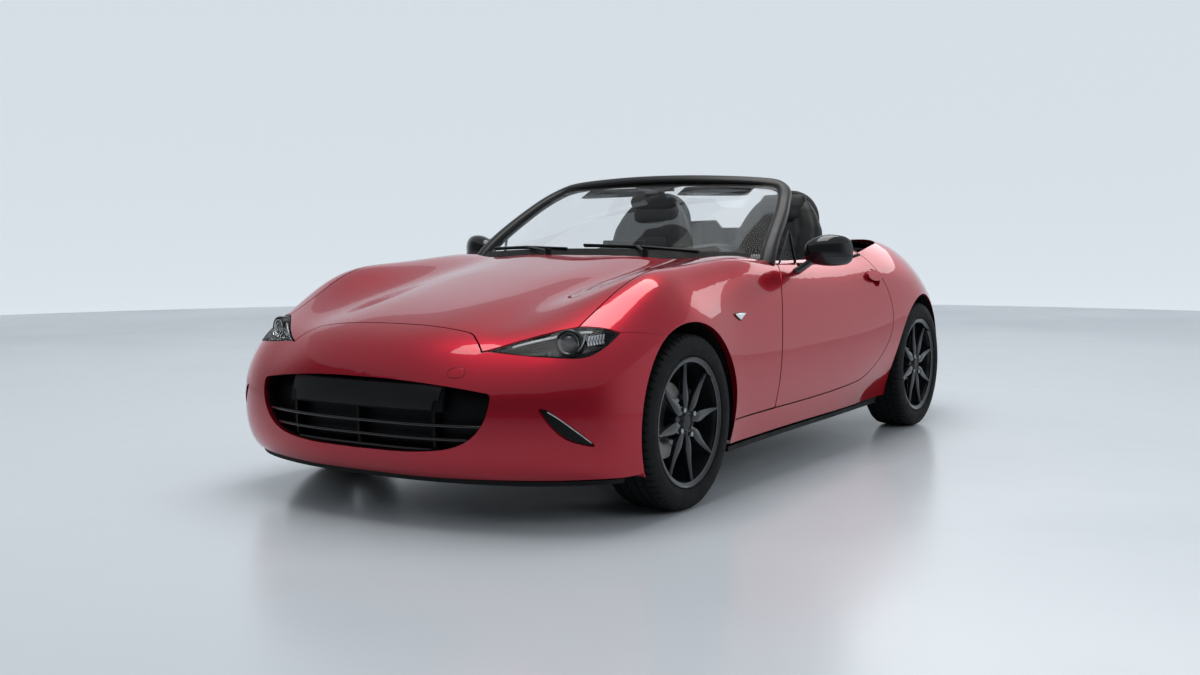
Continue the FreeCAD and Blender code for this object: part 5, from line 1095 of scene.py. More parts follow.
        # a fine seam round the mirror housing
        b = Build()
        pts = []
        for a in np.linspace(0, 2 * math.pi, 73)[:-1]:
            o_ = F(s * 884, 1060, 850 + 0 * a)
            p, nrm = hit(["mirror_" + tag], F(s * (884 + 95 * math.cos(a)), 1068 + 70 * math.sin(a), 845), (-math.cos(a) * s, -math.sin(a) * 0.75, 0))
            if p is not None:
                pts.append(tuple(p - nrm * 0.0003))
        if len(pts) > 20:
            tube(b, pts, 0.0010, 6, up=(0, 0, 1), closed=True)
            b.obj("mirror_seam_" + tag, "rubber_seal", body, slot="black_gloss")
        # hinge pins and plates at the door's front edge
        b = Build()
        for z in (430, 650):
            tube(b, [tuple(F(s * 742, 812, z - 22)), tuple(F(s * 742, 812, z + 22))], 0.0085, 16, up=(1, 0, 0))
            x0, x1 = sorted((s * 726, s * 752))
            box(b, F(x0, 812, z - 18), F(x1, 836, z + 18))
        o = b.obj("door_hinges_" + tag, "satin_black", body, smooth=False, slot="chassis_steel")


def exterior_lines():
    b = Build()
    # fuel flap
    flap = [(0, 2040, 690), (0, 2055, 760), (0, 2110, 778), (0, 2180, 772), (0, 2196, 700), (0, 2180, 640), (0, 2110, 628), (0, 2052, 640)]
    trace(b, ["body_side_right"], [F(-900, y, z) for _, y, z in flap], (1, 0, 0), 0.0011, -0.0002, 90, closed=True)
    b.obj("cover_lines", "rubber_seal", "car_body", slot="black_trim")


door_trim()
exterior_lines()


# ------------------------------------------------------------------ windscreen details
def screen_point(s, t, lift=0.0):
    bx, by, bz = 712 * s, 640 + 196 * abs(s) ** 2.1, 850 - 22 * s * s
    tx, ty, tz = 566 * s, 1274 + 34 * s * s, 1172 - 26 * s * s
    bulge = 14.0 * math.sin(math.pi * t) * (1 - 0.4 * s * s)
    return F(bx + (tx - bx) * t, by + (ty - by) * t - (0.47 * bulge + 0.47 * lift), bz + (tz - bz) * t + 0.88 * (bulge + lift))


def windscreen_details():
    # ceramic band inside the glass, wider round the mirror
    b = Build()
    rows = []
    for t in (0.038, 0.05, 0.06, 0.072, 0.082):
        rows.append([tuple(screen_point(s, t, -7.0)) for s in np.linspace(-0.97, 0.97, 61)])
    b.grid(rows)
    rows = []
    for k in range(6):
        row = []
        for s in np.linspace(-0.97, 0.97, 121):
            depth = 0.055 + 0.075 * math.exp(-(s / 0.16) ** 4)
            row.append(tuple(screen_point(s, 0.985 - depth * k / 5, -7.0)))
        rows.append(row)
    b.grid(rows)
    b.obj("glass_band", "lamp_black", "car_body", slot="black_gloss", fix=False)
    # inner mirror
    b = Build()
    rows = []
    tilt = 0.10
    for u, e in zip(np.linspace(-1, 1, 25), ends(25, 0.42, 5)):
        rows.append([tuple(F(-18 + 122 * u, 1222 - 16 * tilt * u + q[0] * 15 * (0.5 + 0.5 * e) * max(e, 0.05), 1078 + q[1] * 34 * max(e, 0.06))) for q in circle(1.0, 32, 1.0, 3.2)])
    b.grid(rows, wrap_v=True, cap=True)
    b.obj("inner_mirror", "satin_black", "car_body", slot="black_gloss")
    b = Build()
    rows = []
    for k, d in ((1.0, 0.0), (0.985, 0.8), (0.5, 1.0), (0.04, 1.0)):
        rows.append([tuple(F(-18 + 108 * q[0] * k, 1236.5 - 1.6 * q[0] * k + d, 1078 + 26 * q[1] * k)) for q in circle(1.0, 48, 1.0, 3.4)])
    b.grid(rows, wrap_v=True, cap=True)
    b.obj("inner_mirror_glass", "mirror_glass", "car_body", slot="black_gloss")
    b = Build()
    tube(b, spline([tuple(F(-18, 1212, 1082)), tuple(F(-14, 1206, 1104)), tuple(F(-8, 1196, 1118)), tuple(screen_point(-0.01, 0.885, -9))], 16), 0.0085, 12, up=(1, 0, 0))
    rows = []
    for k, d in ((0.7, -34), (0.95, -28), (1.0, -16), (1.0, -9)):
        rows.append([tuple(screen_point(0.0 + q[0] * 0.075 * k, 0.875 + q[1] * 0.055 * k, d)) for q in circle(1.0, 32, 1.0, 3.0)])
    b.grid(rows, wrap_v=True, cap=True)
    b.obj("mirror_mount", "soft_plastic", "car_body", slot="black_trim")
    # sun visors
    for tag, s in SIDES:
        b = Build()
        rows = []
        for u, e in zip(np.linspace(0, 1, 22), ends(22, 0.4, 8)):
            x = lin(78, 430, u)
            rows.append([tuple(F(s * x, 1288 - 0.06 * (x - 200) * 0.2 + 9 + q[1] * 10 * 0 + q[0] * 44 * (0.9 + 0.1 * e), 1128 - 0.055 * x * 0.35 + q[0] * 18 + q[1] * 7.5 * max(e, 0.08)))
                         for q in circle(1.0, 28, 1.0, 3.5)])
        b.grid(rows, wrap_v=True, cap=True)
        o = b.obj("sun_visor_" + tag, "soft_plastic", "car_body", slot="dash_plastic")
    # latches of the folding top in the header
    b = Build()
    box(b, F(-46, 1268, 1126), F(46, 1300, 1140))
    o = b.obj("header_latch", "satin_black", "car_body", smooth=False, slot="black_trim")
    rounded(o, 0.004, 3)


windscreen_details()


def soft_top():
    prof = [(2216, 800), (2228, 812), (2222, 824), (2120, 824), (2010, 822), (1990, 832), (2004, 845), (2110, 848), (2206, 846), (2222, 858), (2208, 870), (2110, 874), (2012, 872),
            (1996, 884), (2010, 896), (2100, 900), (2180, 898), (2196, 908), (2184, 919), (2120, 932), (2060, 941), (2010, 946), (1982, 942), (1970, 926), (1968, 900), (1972, 872)]
    line = spline([(0, y, z) for y, z in prof], 150)
    b = Build()
    rows = []
    for i, (_, y, z) in enumerate(line):
        row = []
        k = i / (len(line) - 1)
        for u in np.linspace(-1, 1, 121):
            a = abs(u)
            drop = 46 * a ** 3.0 * max(0.0, min(1.0, (z - 822) / 90.0))
            half = 634 - 24 * max(0.0, (z - 880) / 60.0)
            zz = z - drop
            yy = y + 20 * a ** 4 * (1 if y < 2040 else -0.4)
            wv = 3.4 * noise.noise(Vector((u * 3.1, y / 60.0, z / 30.0))) + 1.6 * noise.noise(Vector((u * 9.0, y / 26.0, z / 14.0)))
            wv += 2.2 * math.sin(u * 9.0 + y / 34.0) * math.exp(-((a - 0.86) / 0.16) ** 2)
            row.append(tuple(F(half * u, yy, zz + wv * (0.6 if z > 900 else 0.8))))
        rows.append(row)
    b.grid(rows)
    o = b.obj("soft_top_cloth", "roof_cloth", "car_body", angle=60, slot="top_fabric", fix=False)
    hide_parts("folded_soft_top")
    # bows and side rails that the cloth lies on
    b = Build()
    for y, z in ((2200, 835), (2022, 859), (2188, 884), (2030, 912)):
        pts = [tuple(F(600 * u, y, z - 40 * abs(u) ** 3.2)) for u in np.linspace(-1, 1, 41)]
        sweep(b, pts, circle(0.006, 10, 0.004), up=(0, 0, 1))
    for s in (-1, 1):
        for y0, z0, y1, z1 in ((2010, 800, 2196, 812), (2196, 822, 2026, 830)):
            sweep(b, [tuple(F(s * 642, y0, z0)), tuple(F(s * 643, (y0 + y1) / 2, (z0 + z1) / 2 + 4)), tuple(F(s * 642, y1, z1))], circle(0.006, 12, 0.013), up=(0, 0, 1))
    b.obj("soft_top_bows", "satin_black", "car_body", slot="chassis_steel")


soft_top()


# ------------------------------------------------------------------ wind deflector, hoops and the rear of the cabin
def deflector():
    b = Build()
    out = [(-392, 790), (392, 790), (392, 962), (352, 990), (96, 998), (60, 960), (-60, 960), (-96, 998), (-352, 990), (-392, 962)]
    pts = []
    for i in range(len(out)):
        a, c = out[i], out[(i + 1) % len(out)]
        for k in range(8):
            pts.append((lin(a[0], c[0], k / 8), lin(a[1], c[1], k / 8)))
    sweep(b, [tuple(F(x, 1969, z)) for x, z in pts], circle(0.006, 10, 0.008, 3.0), up=(0, 1, 0), closed=True)
    b.obj("deflector_edge", "satin_black", "car_body", slot="black_gloss")


deflector()


# ------------------------------------------------------------------ grille, lamps and covers at the front
def quad_fit(names, points, direction, axis):
    """A quadric through the skin round a place; it gives the coordinate named by axis from the other two."""
    rows, rhs = [], []
    for q in points:
        p, _ = hit(names, q, direction)
        if p is None:
            continue
        u, v = [p[i] for i in range(3) if i != axis]
        rows.append([1, u, v, u * u, u * v, v * v])
        rhs.append(p[axis])
    c = np.linalg.lstsq(np.array(rows), np.array(rhs), rcond=None)[0]
    return lambda u, v: float(np.dot(c, [1, u, v, u * u, u * v, v * v]))


def filled(row):
    """A row of points whose gaps take the nearest point that exists."""
    have = [i for i, q in enumerate(row) if q is not None]
    if not have:
        return None
    return [tuple(row[min(have, key=lambda j: abs(j - i))]) for i in range(len(row))]


def cap_patch(b, outline, centre, surf, out, thick=0.002, crown=0.0008, axis=1):
    """A thin crowned cover over a skin; outline and centre are pairs in metres, out is +1 or -1 along the axis."""
    rows = []
    for k in (0.02, 0.25, 0.5, 0.75, 0.92, 0.985):
        rows.append([(centre[0] + (u - centre[0]) * k, centre[1] + (v - centre[1]) * k, crown * (1 - k ** 4)) for u, v in outline])
    rows.append([(u, v, -0.0004) for u, v in outline])
    rows.append([(u, v, -thick) for u, v in outline])
    pts = []
    for row in rows:
        r_ = []
        for u, v, h in row:
            w_ = surf(u, v) + out * h
            q = [u, v]
            q.insert(axis, w_)
            r_.append(tuple(q))
        pts.append(r_)
    return b.grid(pts, wrap_v=True, cap=True)


def front_end():
    # towing eye cover, on the car's left
    cover = [(336, 505), (343, 513), (362, 518.5), (382, 514.5), (389, 503), (387, 491.5), (362, 487), (341, 491)]
    out = [(q[0] / 1000.0, q[1] / 1000.0) for q in spline([(x, z, 0) for x, z in cover], 48, True)]
    ring = [F(362 + r * math.cos(a), -670, 503 + r * 0.8 * math.sin(a)) for r in (17, 24, 32, 40) for a in np.linspace(0, 2 * math.pi, 20, endpoint=False)]
    surf = quad_fit(["front_bumper"], ring, (0, 1, 0), 1)
    b = Build()
    cap_patch(b, out, (0.362, 0.503), surf, -1, 0.0025, 0.0005)
    b.obj("tow_cover", "car_paint", "car_body", slot="paint")
    b = Build()
    tube(b, [(u, surf(u, v) - 0.00005, v) for u, v in [(0.362 + (u - 0.362) * 1.03, 0.503 + (v - 0.503) * 1.03) for u, v in out]], 0.0007, 6, up=(0, 1, 0), closed=True)
    b.obj("tow_cover_seam", "rubber_seal", "car_body", slot="black_trim")
    # smooth panel across the top of the air opening
    b = Build()
    for z0, z1, w0, w1 in ((415, 461, 316, 320), (384, 415, 292, 300)):
        rows = []
        for k in range(7):
            z, w_ = lin(z0, z1, k / 6), lin(w0, w1, k / 6)
            row = []
            for x in np.linspace(-w_, w_, 81):
                p, nrm = hit(["grille"], F(x, -740, z), (0, 1, 0))
                row.append(p + Vector((0, -0.0022, 0)) if p is not None else None)
            row = filled(row)
            if row:
                rows.append(row)
        b.grid(rows)
    o = b.obj("grille_panel", "panel_black", "car_body", slot="black_gloss", fix=False)
    t_ = o.modifiers.new("thick", "SOLIDIFY")
    t_.thickness, t_.offset = 0.004, 0.0
    bake(o)
    # rounded noses on the slats
    b = Build()
    for z in (332, 288, 252):
        pts = []
        for x in np.linspace(-466, 466, 121):
            p, nrm = hit(["grille"], F(x, -740, z + 4.5), (0, 1, 0))
            if p is not None and p.y < F(0, 0, 0).y - 0.560 - 0.16 * (1 - abs(x) / 470.0):
                pts.append((p.x, p.y - 0.0015, p.z))
        if len(pts) > 10:
            sweep(b, pts, circle(0.0030, 12, 0.0046), up=(0, 0, 1))
    b.obj("grille_slats", "gloss_black", "car_body", slot="black_gloss")
    # lamps
    U = [(420, -586), (487, -545), (556, -481), (644, -393), (699, -356), (748, -320)]
    L = [(414, -589), (485, -570), (567, -548), (652, -510), (714, -453), (741, -386), (748, -320)]

    def along(pts, t):
        p = np.array(pts, dtype=float)
        d = np.concatenate([[0], np.cumsum(np.linalg.norm(np.diff(p, axis=0), axis=1))])
        return np.array([np.interp(t * d[-1], d, p[:, 0]), np.interp(t * d[-1], d, p[:, 1])])

    def on_lamp(s, u, v, depth):
        q = along(U, u) * (1 - v) + along(L, u) * v
        p, nrm = hit(["headlamp_lenses"], F(s * q[0], q[1], 600), (0, 0, -1))
        if p is None:
            return None
        return p - nrm * (depth / 1000.0)

    for tag, s in SIDES:
        b = Build()
        rows = []
        for u in np.linspace(0.03, 0.965, 44):
            row = filled([on_lamp(s, u, v, 9 + 37 * (1 - abs(2 * v - 1) ** 4) * (1 - abs(2 * u - 1) ** 8)) for v in np.linspace(0.03, 0.97, 22)])
            if row:
                rows.append(row)
        b.grid(rows)
        b.obj("headlamp_liner_" + tag, "lamp_black", "car_body", slot="lamp_black", fix=False)
        # projector: barrel, bezel ring and glass
        ax = Vector((s * 0.30, -0.95, 0.03)).normalized()
        m = place(s * 641, -441, 592, axis_to(ax))
        b = Build()
        revolve(b, [(-0.040, 0.020), (-0.004, 0.028), (0.002, 0.0335), (0.007, 0.0345), (0.009, 0.0325), (0.006, 0.0290), (0.000, 0.0262), (-0.030, 0.0180)], 72, m)
        b.obj("projector_bezel_" + tag, "bright_metal", "car_body", slot="lamp_black")
        b = Build()
        revolve(b, [(-0.038, 0.0348), (0.004, 0.0360), (0.010, 0.0395), (0.006, 0.0430), (-0.006, 0.0440), (-0.038, 0.0400)], 72, m)
        b.obj("projector_shroud_" + tag, "lamp_black", "car_body", slot="lamp_black")
        b = Build()
        disc(b, [(-0.010, 0), (-0.010, 0.020), (-0.004, 0.0255), (0.0015, 0.0255), (0.008, 0.0205), (0.0125, 0.0130), (0.0148, 0.006), (0.0154, 0)], 56, m)
        b.obj("projector_lens_" + tag, "projector_glass", "car_body", slot="lens_clear")
        # chrome blade and reflector beside it
        b = Build()
        pts = [F(s * 673, -441, 566), F(s * 681, -428, 584), F(s * 684, -418, 602), F(s * 682, -410, 618)]
        sweep(b, spline([tuple(q) for q in pts], 24), circle(0.0022, 12, 0.0085, 3.0), up=(s * 0.5, -0.85, 0.0), scale=np.interp(np.linspace(0, 1, 24), [0, 0.3, 0.7, 1], [0.5, 1, 1, 0.5]))
        b.obj("lamp_blade_" + tag, "bright_metal", "car_body", slot="lamp_black")
        b = Build()
        rows = []
        for k in range(9):
            t = k / 8.0
            row = []
            for j in range(25):
                q = j / 24.0
                y = lin(-418, -362, q)
                x = lin(699, 727, q)
                z = lin(582, 612, t) + 6 * q
                rib = 1.6 * abs(math.sin(q * math.pi * 6))
                row.append(tuple(F(s * (x - 5 - rib - 3 * math.sin(t * math.pi)), y + 4, z)))
            rows.append(row)
        b.grid(rows)
        o = b.obj("lamp_reflector_" + tag, "bright_metal", "car_body", slot="lamp_black", fix=False)
        t_ = o.modifiers.new("thick", "SOLIDIFY")
        t_.thickness = 0.002
        bake(o)
        # light strip under the upper edge, and a fin below it
        b = Build()
        pts = [on_lamp(s, u, 0.10 + 0.05 * u, 8.5) for u in np.linspace(0.20, 0.80, 46)]
        pts = [tuple(q) for q in pts if q is not None]
        sweep(b, pts, circle(0.0021, 10, 0.0034), up=(0, 0, 1))
        b.obj("lamp_strip_" + tag, "lamp_white", "car_body", slot="lens_clear")
        b = Build()
        for v0, d0 in ((0.24, 16.0), (0.36, 24.0)):
            pts = [on_lamp(s, u, v0, d0) for u in np.linspace(0.16, 0.46, 24)]
            pts = [tuple(q) for q in pts if q is not None]
            sweep(b, pts, circle(0.0015, 8, 0.0050), up=(0, 0, 1))
        b.obj("lamp_fins_" + tag, "panel_black", "car_body", slot="lamp_black")
        b = Build()
        for u, v in ((0.34, 0.66), (0.46, 0.70)):
            c = on_lamp(s, u, v, 40)
            if c is not None:
                mm = Matrix.Translation(c) @ axis_to((s * 0.3, -0.8, 0.55)).to_4x4()
                disc(b, [(-0.004, 0), (-0.004, 0.0150), (0.003, 0.0150), (0.006, 0.0120), (0.0085, 0.0060), (0.009, 0)], 32, mm)
        b.obj("lamp_bumps_" + tag, "panel_black", "car_body", slot="lamp_black")
        # seal between the lens and the panels
        b = Build()
        loop = [on_lamp(s, u, 0.0, 1.2) for u in np.linspace(0.0, 1.0, 60)] + [on_lamp(s, u, 1.0, 1.2) for u in np.linspace(1.0, 0.0, 60)]
        loop = [tuple(q) for q in loop if q is not None]
        if len(loop) > 40:
            tube(b, loop, 0.0011, 6, up=(0, 0, 1), closed=True)
        b.obj("lamp_seal_" + tag, "rubber_seal", "car_body", slot="black_trim")
        # bright strip along the upper edge of the slot lamp
        b = Build()
        pts = [F(s * x, -560, z) for x, z in ((653, 390), (672, 377), (694, 358), (717, 335), (738, 312), (756, 291))]
        trace(b, ["marker_lamps"], pts, (0, 1, 0), 0.0021, 0.0012, 50, 8)
        if b.n:
            b.obj("slot_strip_" + tag, "lamp_white", "car_body", slot="lens_clear")
        # side repeater: a white lens raised on the skin
        poly_ = [(358, 647), (406, 648.5), (452, 645.5), (423, 635), (397, 624), (374, 634)]
        cy, cz = 404.0, 638.5
        b = Build()
        rows = []
        for k, h in ((0.05, 2.6), (0.4, 2.5), (0.75, 2.1), (0.95, 1.2), (1.0, 0.4), (1.0, -1.5)):
            row = []
            for i in range(len(poly_)):
                a, c = poly_[i], poly_[(i + 1) % len(poly_)]
                for j in range(8):
                    y, z = lin(a[0], c[0], j / 8), lin(a[1], c[1], j / 8)
                    y, z = cy + (y - cy) * k, cz + (z - cz) * k
                    p, nrm = hit(["marker_lamps", "front_fender_" + tag], F(s * 880, y, z), (-s, 0, 0))
                    row.append(p + nrm * (h / 1000.0) if p is not None else None)
            rows.append(filled(row))
        b.grid(rows, wrap_v=True, cap=True)
        b.obj("side_repeater_" + tag, "lamp_white", "car_body", slot="lens_clear")


front_end()


def mouth_liner():
    """Dark lining just inside the painted edge of the air opening."""
    half = [(0, 478), (120, 477), (254, 470), (376, 458), (470, 445), (486, 439), (491, 426), (488, 395), (473, 348), (434, 302), (383, 274), (297, 256), (150, 247), (0, 245)]
    pts = half + [(-x, z) for x, z in half[::-1][1:-1]]
    ring = spline([(x, z, 0) for x, z in pts], 220, True)[:, :2]
    cz = 362.0
    b = Build()
    rows = []
    for back, k in ((10, 0.990), (14, 0.986), (60, 0.984), (92, 0.984)):
        row = []
        for x, z in ring:
            p, nrm = hit(["front_bumper"], F(x * 1.03, -790, cz + (z - cz) * 1.06), (0, 1, 0))
            row.append(Vector((x * k / 1000.0, p.y + back / 1000.0, (cz + (z - cz) * (k - 0.004)) / 1000.0)) if p is not None and p.y < F(0, -560, 0).y else None)
        row = filled(row)
        if row:
            rows.append(row)
    b.grid(rows, wrap_v=True)
    o = b.obj("mouth_liner", "grille_black", "car_body", slot="black_trim", fix=False)
    t_ = o.modifiers.new("thick", "SOLIDIFY")
    t_.thickness, t_.offset = 0.0015, 0.0
    bake(o)


def gap_strip(name, outline, names, body="car_body", depth=9.0, inner=-2.0, outer=11.0):
    """A dark seal under the gap round a lid: outline is its plan in mm, taken clockwise or not, left open."""
    ring = spline([(x, y, 0) for x, y in outline], 150)[:, :2]
    c = np.array([0.0, float(np.mean(ring[:, 1]))])
    t = np.gradient(ring, axis=0)
    t /= np.linalg.norm(t, axis=1)[:, None] + 1e-9
    nrm = np.stack([t[:, 1], -t[:, 0]], axis=1)
    for i in range(len(nrm)):
        if np.dot(nrm[i], ring[i] - c) < 0:
            nrm[i] = -nrm[i]
    zs = []
    for q, n_ in zip(ring, nrm):
        p, _ = hit(names, F(q[0] + n_[0] * 10, q[1] + n_[1] * 10, 1100), (0, 0, -1))
        zs.append(p.z if p is not None and p.z > 0.5 else None)
    have = [i for i, z in enumerate(zs) if z is not None]
    if len(have) < 10:
        return
    zs = np.interp(range(len(zs)), have, [zs[i] for i in have])
    zs = np.array([np.median(zs[max(0, i - 6):i + 7]) for i in range(len(zs))])
    b = Build()
    rows = []
    for q, n_, z in zip(ring, nrm, zs):
        a, d = q + n_ * inner, q + n_ * outer
        rows.append([(F(a[0], a[1], 0).x, F(a[0], a[1], 0).y, z - (depth + 2.5) / 1000.0), (F(a[0], a[1], 0).x, F(a[0], a[1], 0).y, z - depth / 1000.0),
                     (F(*(q + n_ * 4), 0).x, F(*(q + n_ * 4), 0).y, z - (depth - 1.5) / 1000.0),
                     (F(d[0], d[1], 0).x, F(d[0], d[1], 0).y, z - depth / 1000.0), (F(d[0], d[1], 0).x, F(d[0], d[1], 0).y, z - (depth + 2.5) / 1000.0)])
    b.grid(rows, wrap_v=True, cap=True)
    b.obj(name, "rubber_seal", body, slot="black_trim")


mouth_liner()
gap_strip("bonnet_seal_front", [(-412, -590), (-358, -554), (-336, -541), (-310, -537), (-220, -538), (0, -536), (220, -538), (310, -537), (336, -541), (358, -554), (412, -590)], ["front_bumper"])
for tag, s_ in SIDES:
    gap_strip("bonnet_seal_" + tag, [(s_ * x, y) for x, y in ((642, -228), (647, -114), (656, 46), (662, 276), (668, 401), (676, 500), (684, 570))], ["front_fender_" + tag])


# ------------------------------------------------------------------ scuttle, seals and wiper rubbers
def scuttle():
    b = Build()
    rows = []
    for s in np.linspace(-0.93, 0.93, 91):
        g0, g1 = screen_point(s, 0.062, 2.4), screen_point(s, 0.034, 3.0)
        foot = screen_point(s, 0.0, 0.0)
        q = Vector((foot.x, foot.y - 0.012, 0.86))
        p, _ = hit(["cowl_panel"], q, (0, 0, -1))
        z = p.z if p is not None else foot.z - 0.01
        rows.append([tuple(g0), tuple(g0 + Vector((0, -0.001, 0.0016))), tuple(g1 + Vector((0, -0.003, 0.0012))), (q.x, q.y, z + 0.0022), (q.x, q.y - 0.004, z - 0.0006)])
    b.grid(rows)
    o = b.obj("screen_seal", "rubber_seal", "car_body", slot="black_trim", fix=False)
    t_ = o.modifiers.new("thick", "SOLIDIFY")
    t_.thickness, t_.offset = 0.0012, -1.0
    bake(o)
    # air slots across the scuttle
    b = Build()
    for x in range(-486, 487, 13):
        if 120 < abs(x) < 150:
            continue
        y0 = 590 + 0.00018 * x * x
        a, _ = hit(["cowl_panel"], F(x, y0, 860), (0, 0, -1))
        c, _ = hit(["cowl_panel"], F(x, y0 + 34, 860), (0, 0, -1))
        if a is None or c is None:
            continue
        sweep(b, [(a.x, a.y, a.z + 0.0004), ((a.x + c.x) / 2, (a.y + c.y) / 2, (a.z + c.z) / 2 + 0.0014), (c.x, c.y, c.z + 0.0004)], [(-0.0026, -0.001), (0.0026, -0.001), (0.0018, 0.0022), (-0.0018, 0.0022)])
    b.obj("scuttle_slots", "grained_black", "car_body", smooth=False, slot="black_trim")
    # rubber blades
    b = Build()
    for s0, s1 in ((-0.86, -0.16), (-0.06, 0.66)):
        pts, top = [], []
        for k in np.linspace(0, 1, 40):
            s = lin(s0, s1, k)
            t = lin(0.085, 0.045, k) + 0.010 * math.sin(math.pi * k)
            pts.append(tuple(screen_point(s, t, 4.0)))
        sweep(b, pts, [(-0.0012, -0.0035), (0.0012, -0.0035), (0.0034, 0.003), (-0.0034, 0.003)], up=(0, -0.5, 0.86))
    b.obj("wiper_rubbers", "rubber_seal", "car_body", slot="black_trim")


scuttle()


# ------------------------------------------------------------------ the back of the car
def rear_end():
    # number plate, left blank, in its recess
    b = Build()
    rows = []
    for k, y in ((0.992, 3130.6), (1.0, 3131.2), (1.0, 3132.4), (0.996, 3133.0), (0.5, 3133.0), (0.02, 3133.0)):
        rows.append([tuple(F(q[0] * 259 * k, y, 460 + q[1] * 54.5 * k)) for q in circle(1.0, 64, 1.0, 14.0)])
    b.grid(rows, wrap_v=True, cap=True)
    b.obj("rear_plate_blank", "plate_blank", "car_body", slot="lens_clear")
    b = Build()
    sweep(b, [tuple(F(q[0] * 261, 3131.4, 460 + q[1] * 56.5)) for q in circle(1.0, 96, 1.0, 14.0)], circle(0.0026, 10), up=(0, 1, 0), closed=True)
    b.obj("rear_plate_frame", "satin_black", "car_body", slot="black_trim")
    b = Build()
    for x in (-150, 150):
        disc(b, [(0, 0), (0, 0.0055), (0.0018, 0.0055), (0.0026, 0.0042), (0.0028, 0.0)], 24, place(x, 3133, 460, axis_to((0, 1, 0))))
    b.obj("rear_plate_screws", "satin_metal", "car_body", slot="chassis_steel")
    # plate lamps under the recess's upper edge
    b = Build()
    for x in (-90, 90):
        box(b, F(x - 26, 3134, 516.5), F(x + 26, 3146, 521.0))
    o = b.obj("plate_lamps", "lamp_white", "car_body", smooth=False, slot="lens_clear")
    rounded(o, 0.0015, 3)
    for tag, s in SIDES:
        c = (588.0, 655.0)
        b = Build()
        for r_, t_ in ((44, 0.0017), (30, 0.0013)):
            pts = [F(s * (c[0] + r_ * math.cos(a)), 3150, c[1] + r_ * math.sin(a)) for a in np.linspace(0, 2 * math.pi, 60, endpoint=False)]
            trace(b, ["tail_lamps"], pts, (0, -1, 0), t_, 0.0002, 90, 8, closed=True)
        if b.n:
            b.obj("tail_rings_" + tag, "bright_metal", "car_body", slot="lens_red")
        ring = [F(s * (c[0] + r_ * math.cos(a)), 3150, c[1] + r_ * math.sin(a)) for r_ in (4, 14, 26, 40) for a in np.linspace(0, 2 * math.pi, 16, endpoint=False)]
        surf = quad_fit(["tail_lamps"], ring, (0, -1, 0), 1)
        b = Build()
        out = [(s * (c[0] + 26 * math.cos(a)) / 1000.0, (c[1] + 26 * math.sin(a)) / 1000.0) for a in np.linspace(0, 2 * math.pi, 48, endpoint=False)]
        cap_patch(b, out, (s * c[0] / 1000.0, c[1] / 1000.0), surf, 1, 0.0015, 0.0016)
        b.obj("reversing_lamp_" + tag, "lamp_white", "car_body", slot="lens_clear")
        # seal round the lamp
        b = Build()
        tail = [(522, 714), (600, 712), (648, 688), (677, 655), (662, 614), (619, 594), (560, 592), (514, 606), (498, 650), (506, 699)]
        trace(b, ["tail_lamps"], [F(s * x, 3150, z) for x, z in tail], (0, -1, 0), 0.0010, -0.0003, 120, 6, closed=True)
        if b.n:
            b.obj("tail_seal_" + tag, "rubber_seal", "car_body", slot="black_trim")
        # reflectors low on the bumper
        b = Build()
        rows = []
        for k, h in ((0.03, 3.4), (0.3, 3.3), (0.6, 3.0), (0.85, 2.3), (0.96, 1.4), (1.0, 0.5), (1.0, -1.5)):
            row = []
            for q in circle(1.0, 56, 1.0, 5.0):
                p, nrm = hit(["rear_bumper"], F(s * (572 + q[0] * 52 * k), 3300, 338 + q[1] * 11 * k), (0, -1, 0))
                row.append(p + nrm * (h / 1000.0) if p is not None else None)
            rows.append(filled(row))
        b.grid(rows, wrap_v=True, cap=True)
        b.obj("rear_reflector_" + tag, "lens_red", "car_body", slot="lens_red")
    # third brake lamp on the boot lid's rear edge
    ring = [F(x, y, 800) for x in np.linspace(-95, 95, 12) for y in (2975, 2985, 2995, 3005)]
    surf = quad_fit(["boot_lid"], ring, (0, 0, -1), 2)
    b = Build()
    out = [(q[0] * 0.082, F(0, 2990 + q[1] * 8.5, 0).y) for q in circle(1.0, 48, 1.0, 5.0)]
    cap_patch(b, out, (0.0, F(0, 2990, 0).y), surf, 1, 0.003, 0.0014, axis=2)
    b.obj("high_brake_lamp", "lens_red", "boot_lid", slot="lens_red")
    # latch striker and lock in the boot
    b = Build()
    tube(b, [tuple(F(-16, 2972, 690)), tuple(F(-16, 2972, 716)), tuple(F(16, 2972, 716)), tuple(F(16, 2972, 690))], 0.0042, 12, up=(0, 1, 0))
    box(b, F(-30, 2962, 684), F(30, 2979, 690))
    b.obj("boot_striker", "satin_metal", "car_body", slot="chassis_steel")


rear_end()


def pipe_ends():
    for i, x in enumerate((-372, -288)):
        y = 3140
        m_ = place(x, y, 258, axis_to((0, 1, 0)))
        b = Build()
        # soot: a dark lining on the tip's inner wall; painted shade: a dark disc closes the pipe about 100 mm in,
        # standing for the pipe's unlit depth
        revolve(b, [(-0.005, 0.0324), (-0.104, 0.0322), (-0.104, 0.0316), (-0.005, 0.0318)], 48, m_)
        disc(b, [(-0.1015, 0), (-0.1015, 0.0200), (-0.100, 0.0320), (-0.106, 0.0320), (-0.106, 0)], 48, m_)
        b.obj("pipe_soot_and_shade_%d" % i, "carpet", "car_body", slot="exhaust_steel")


pipe_ends()


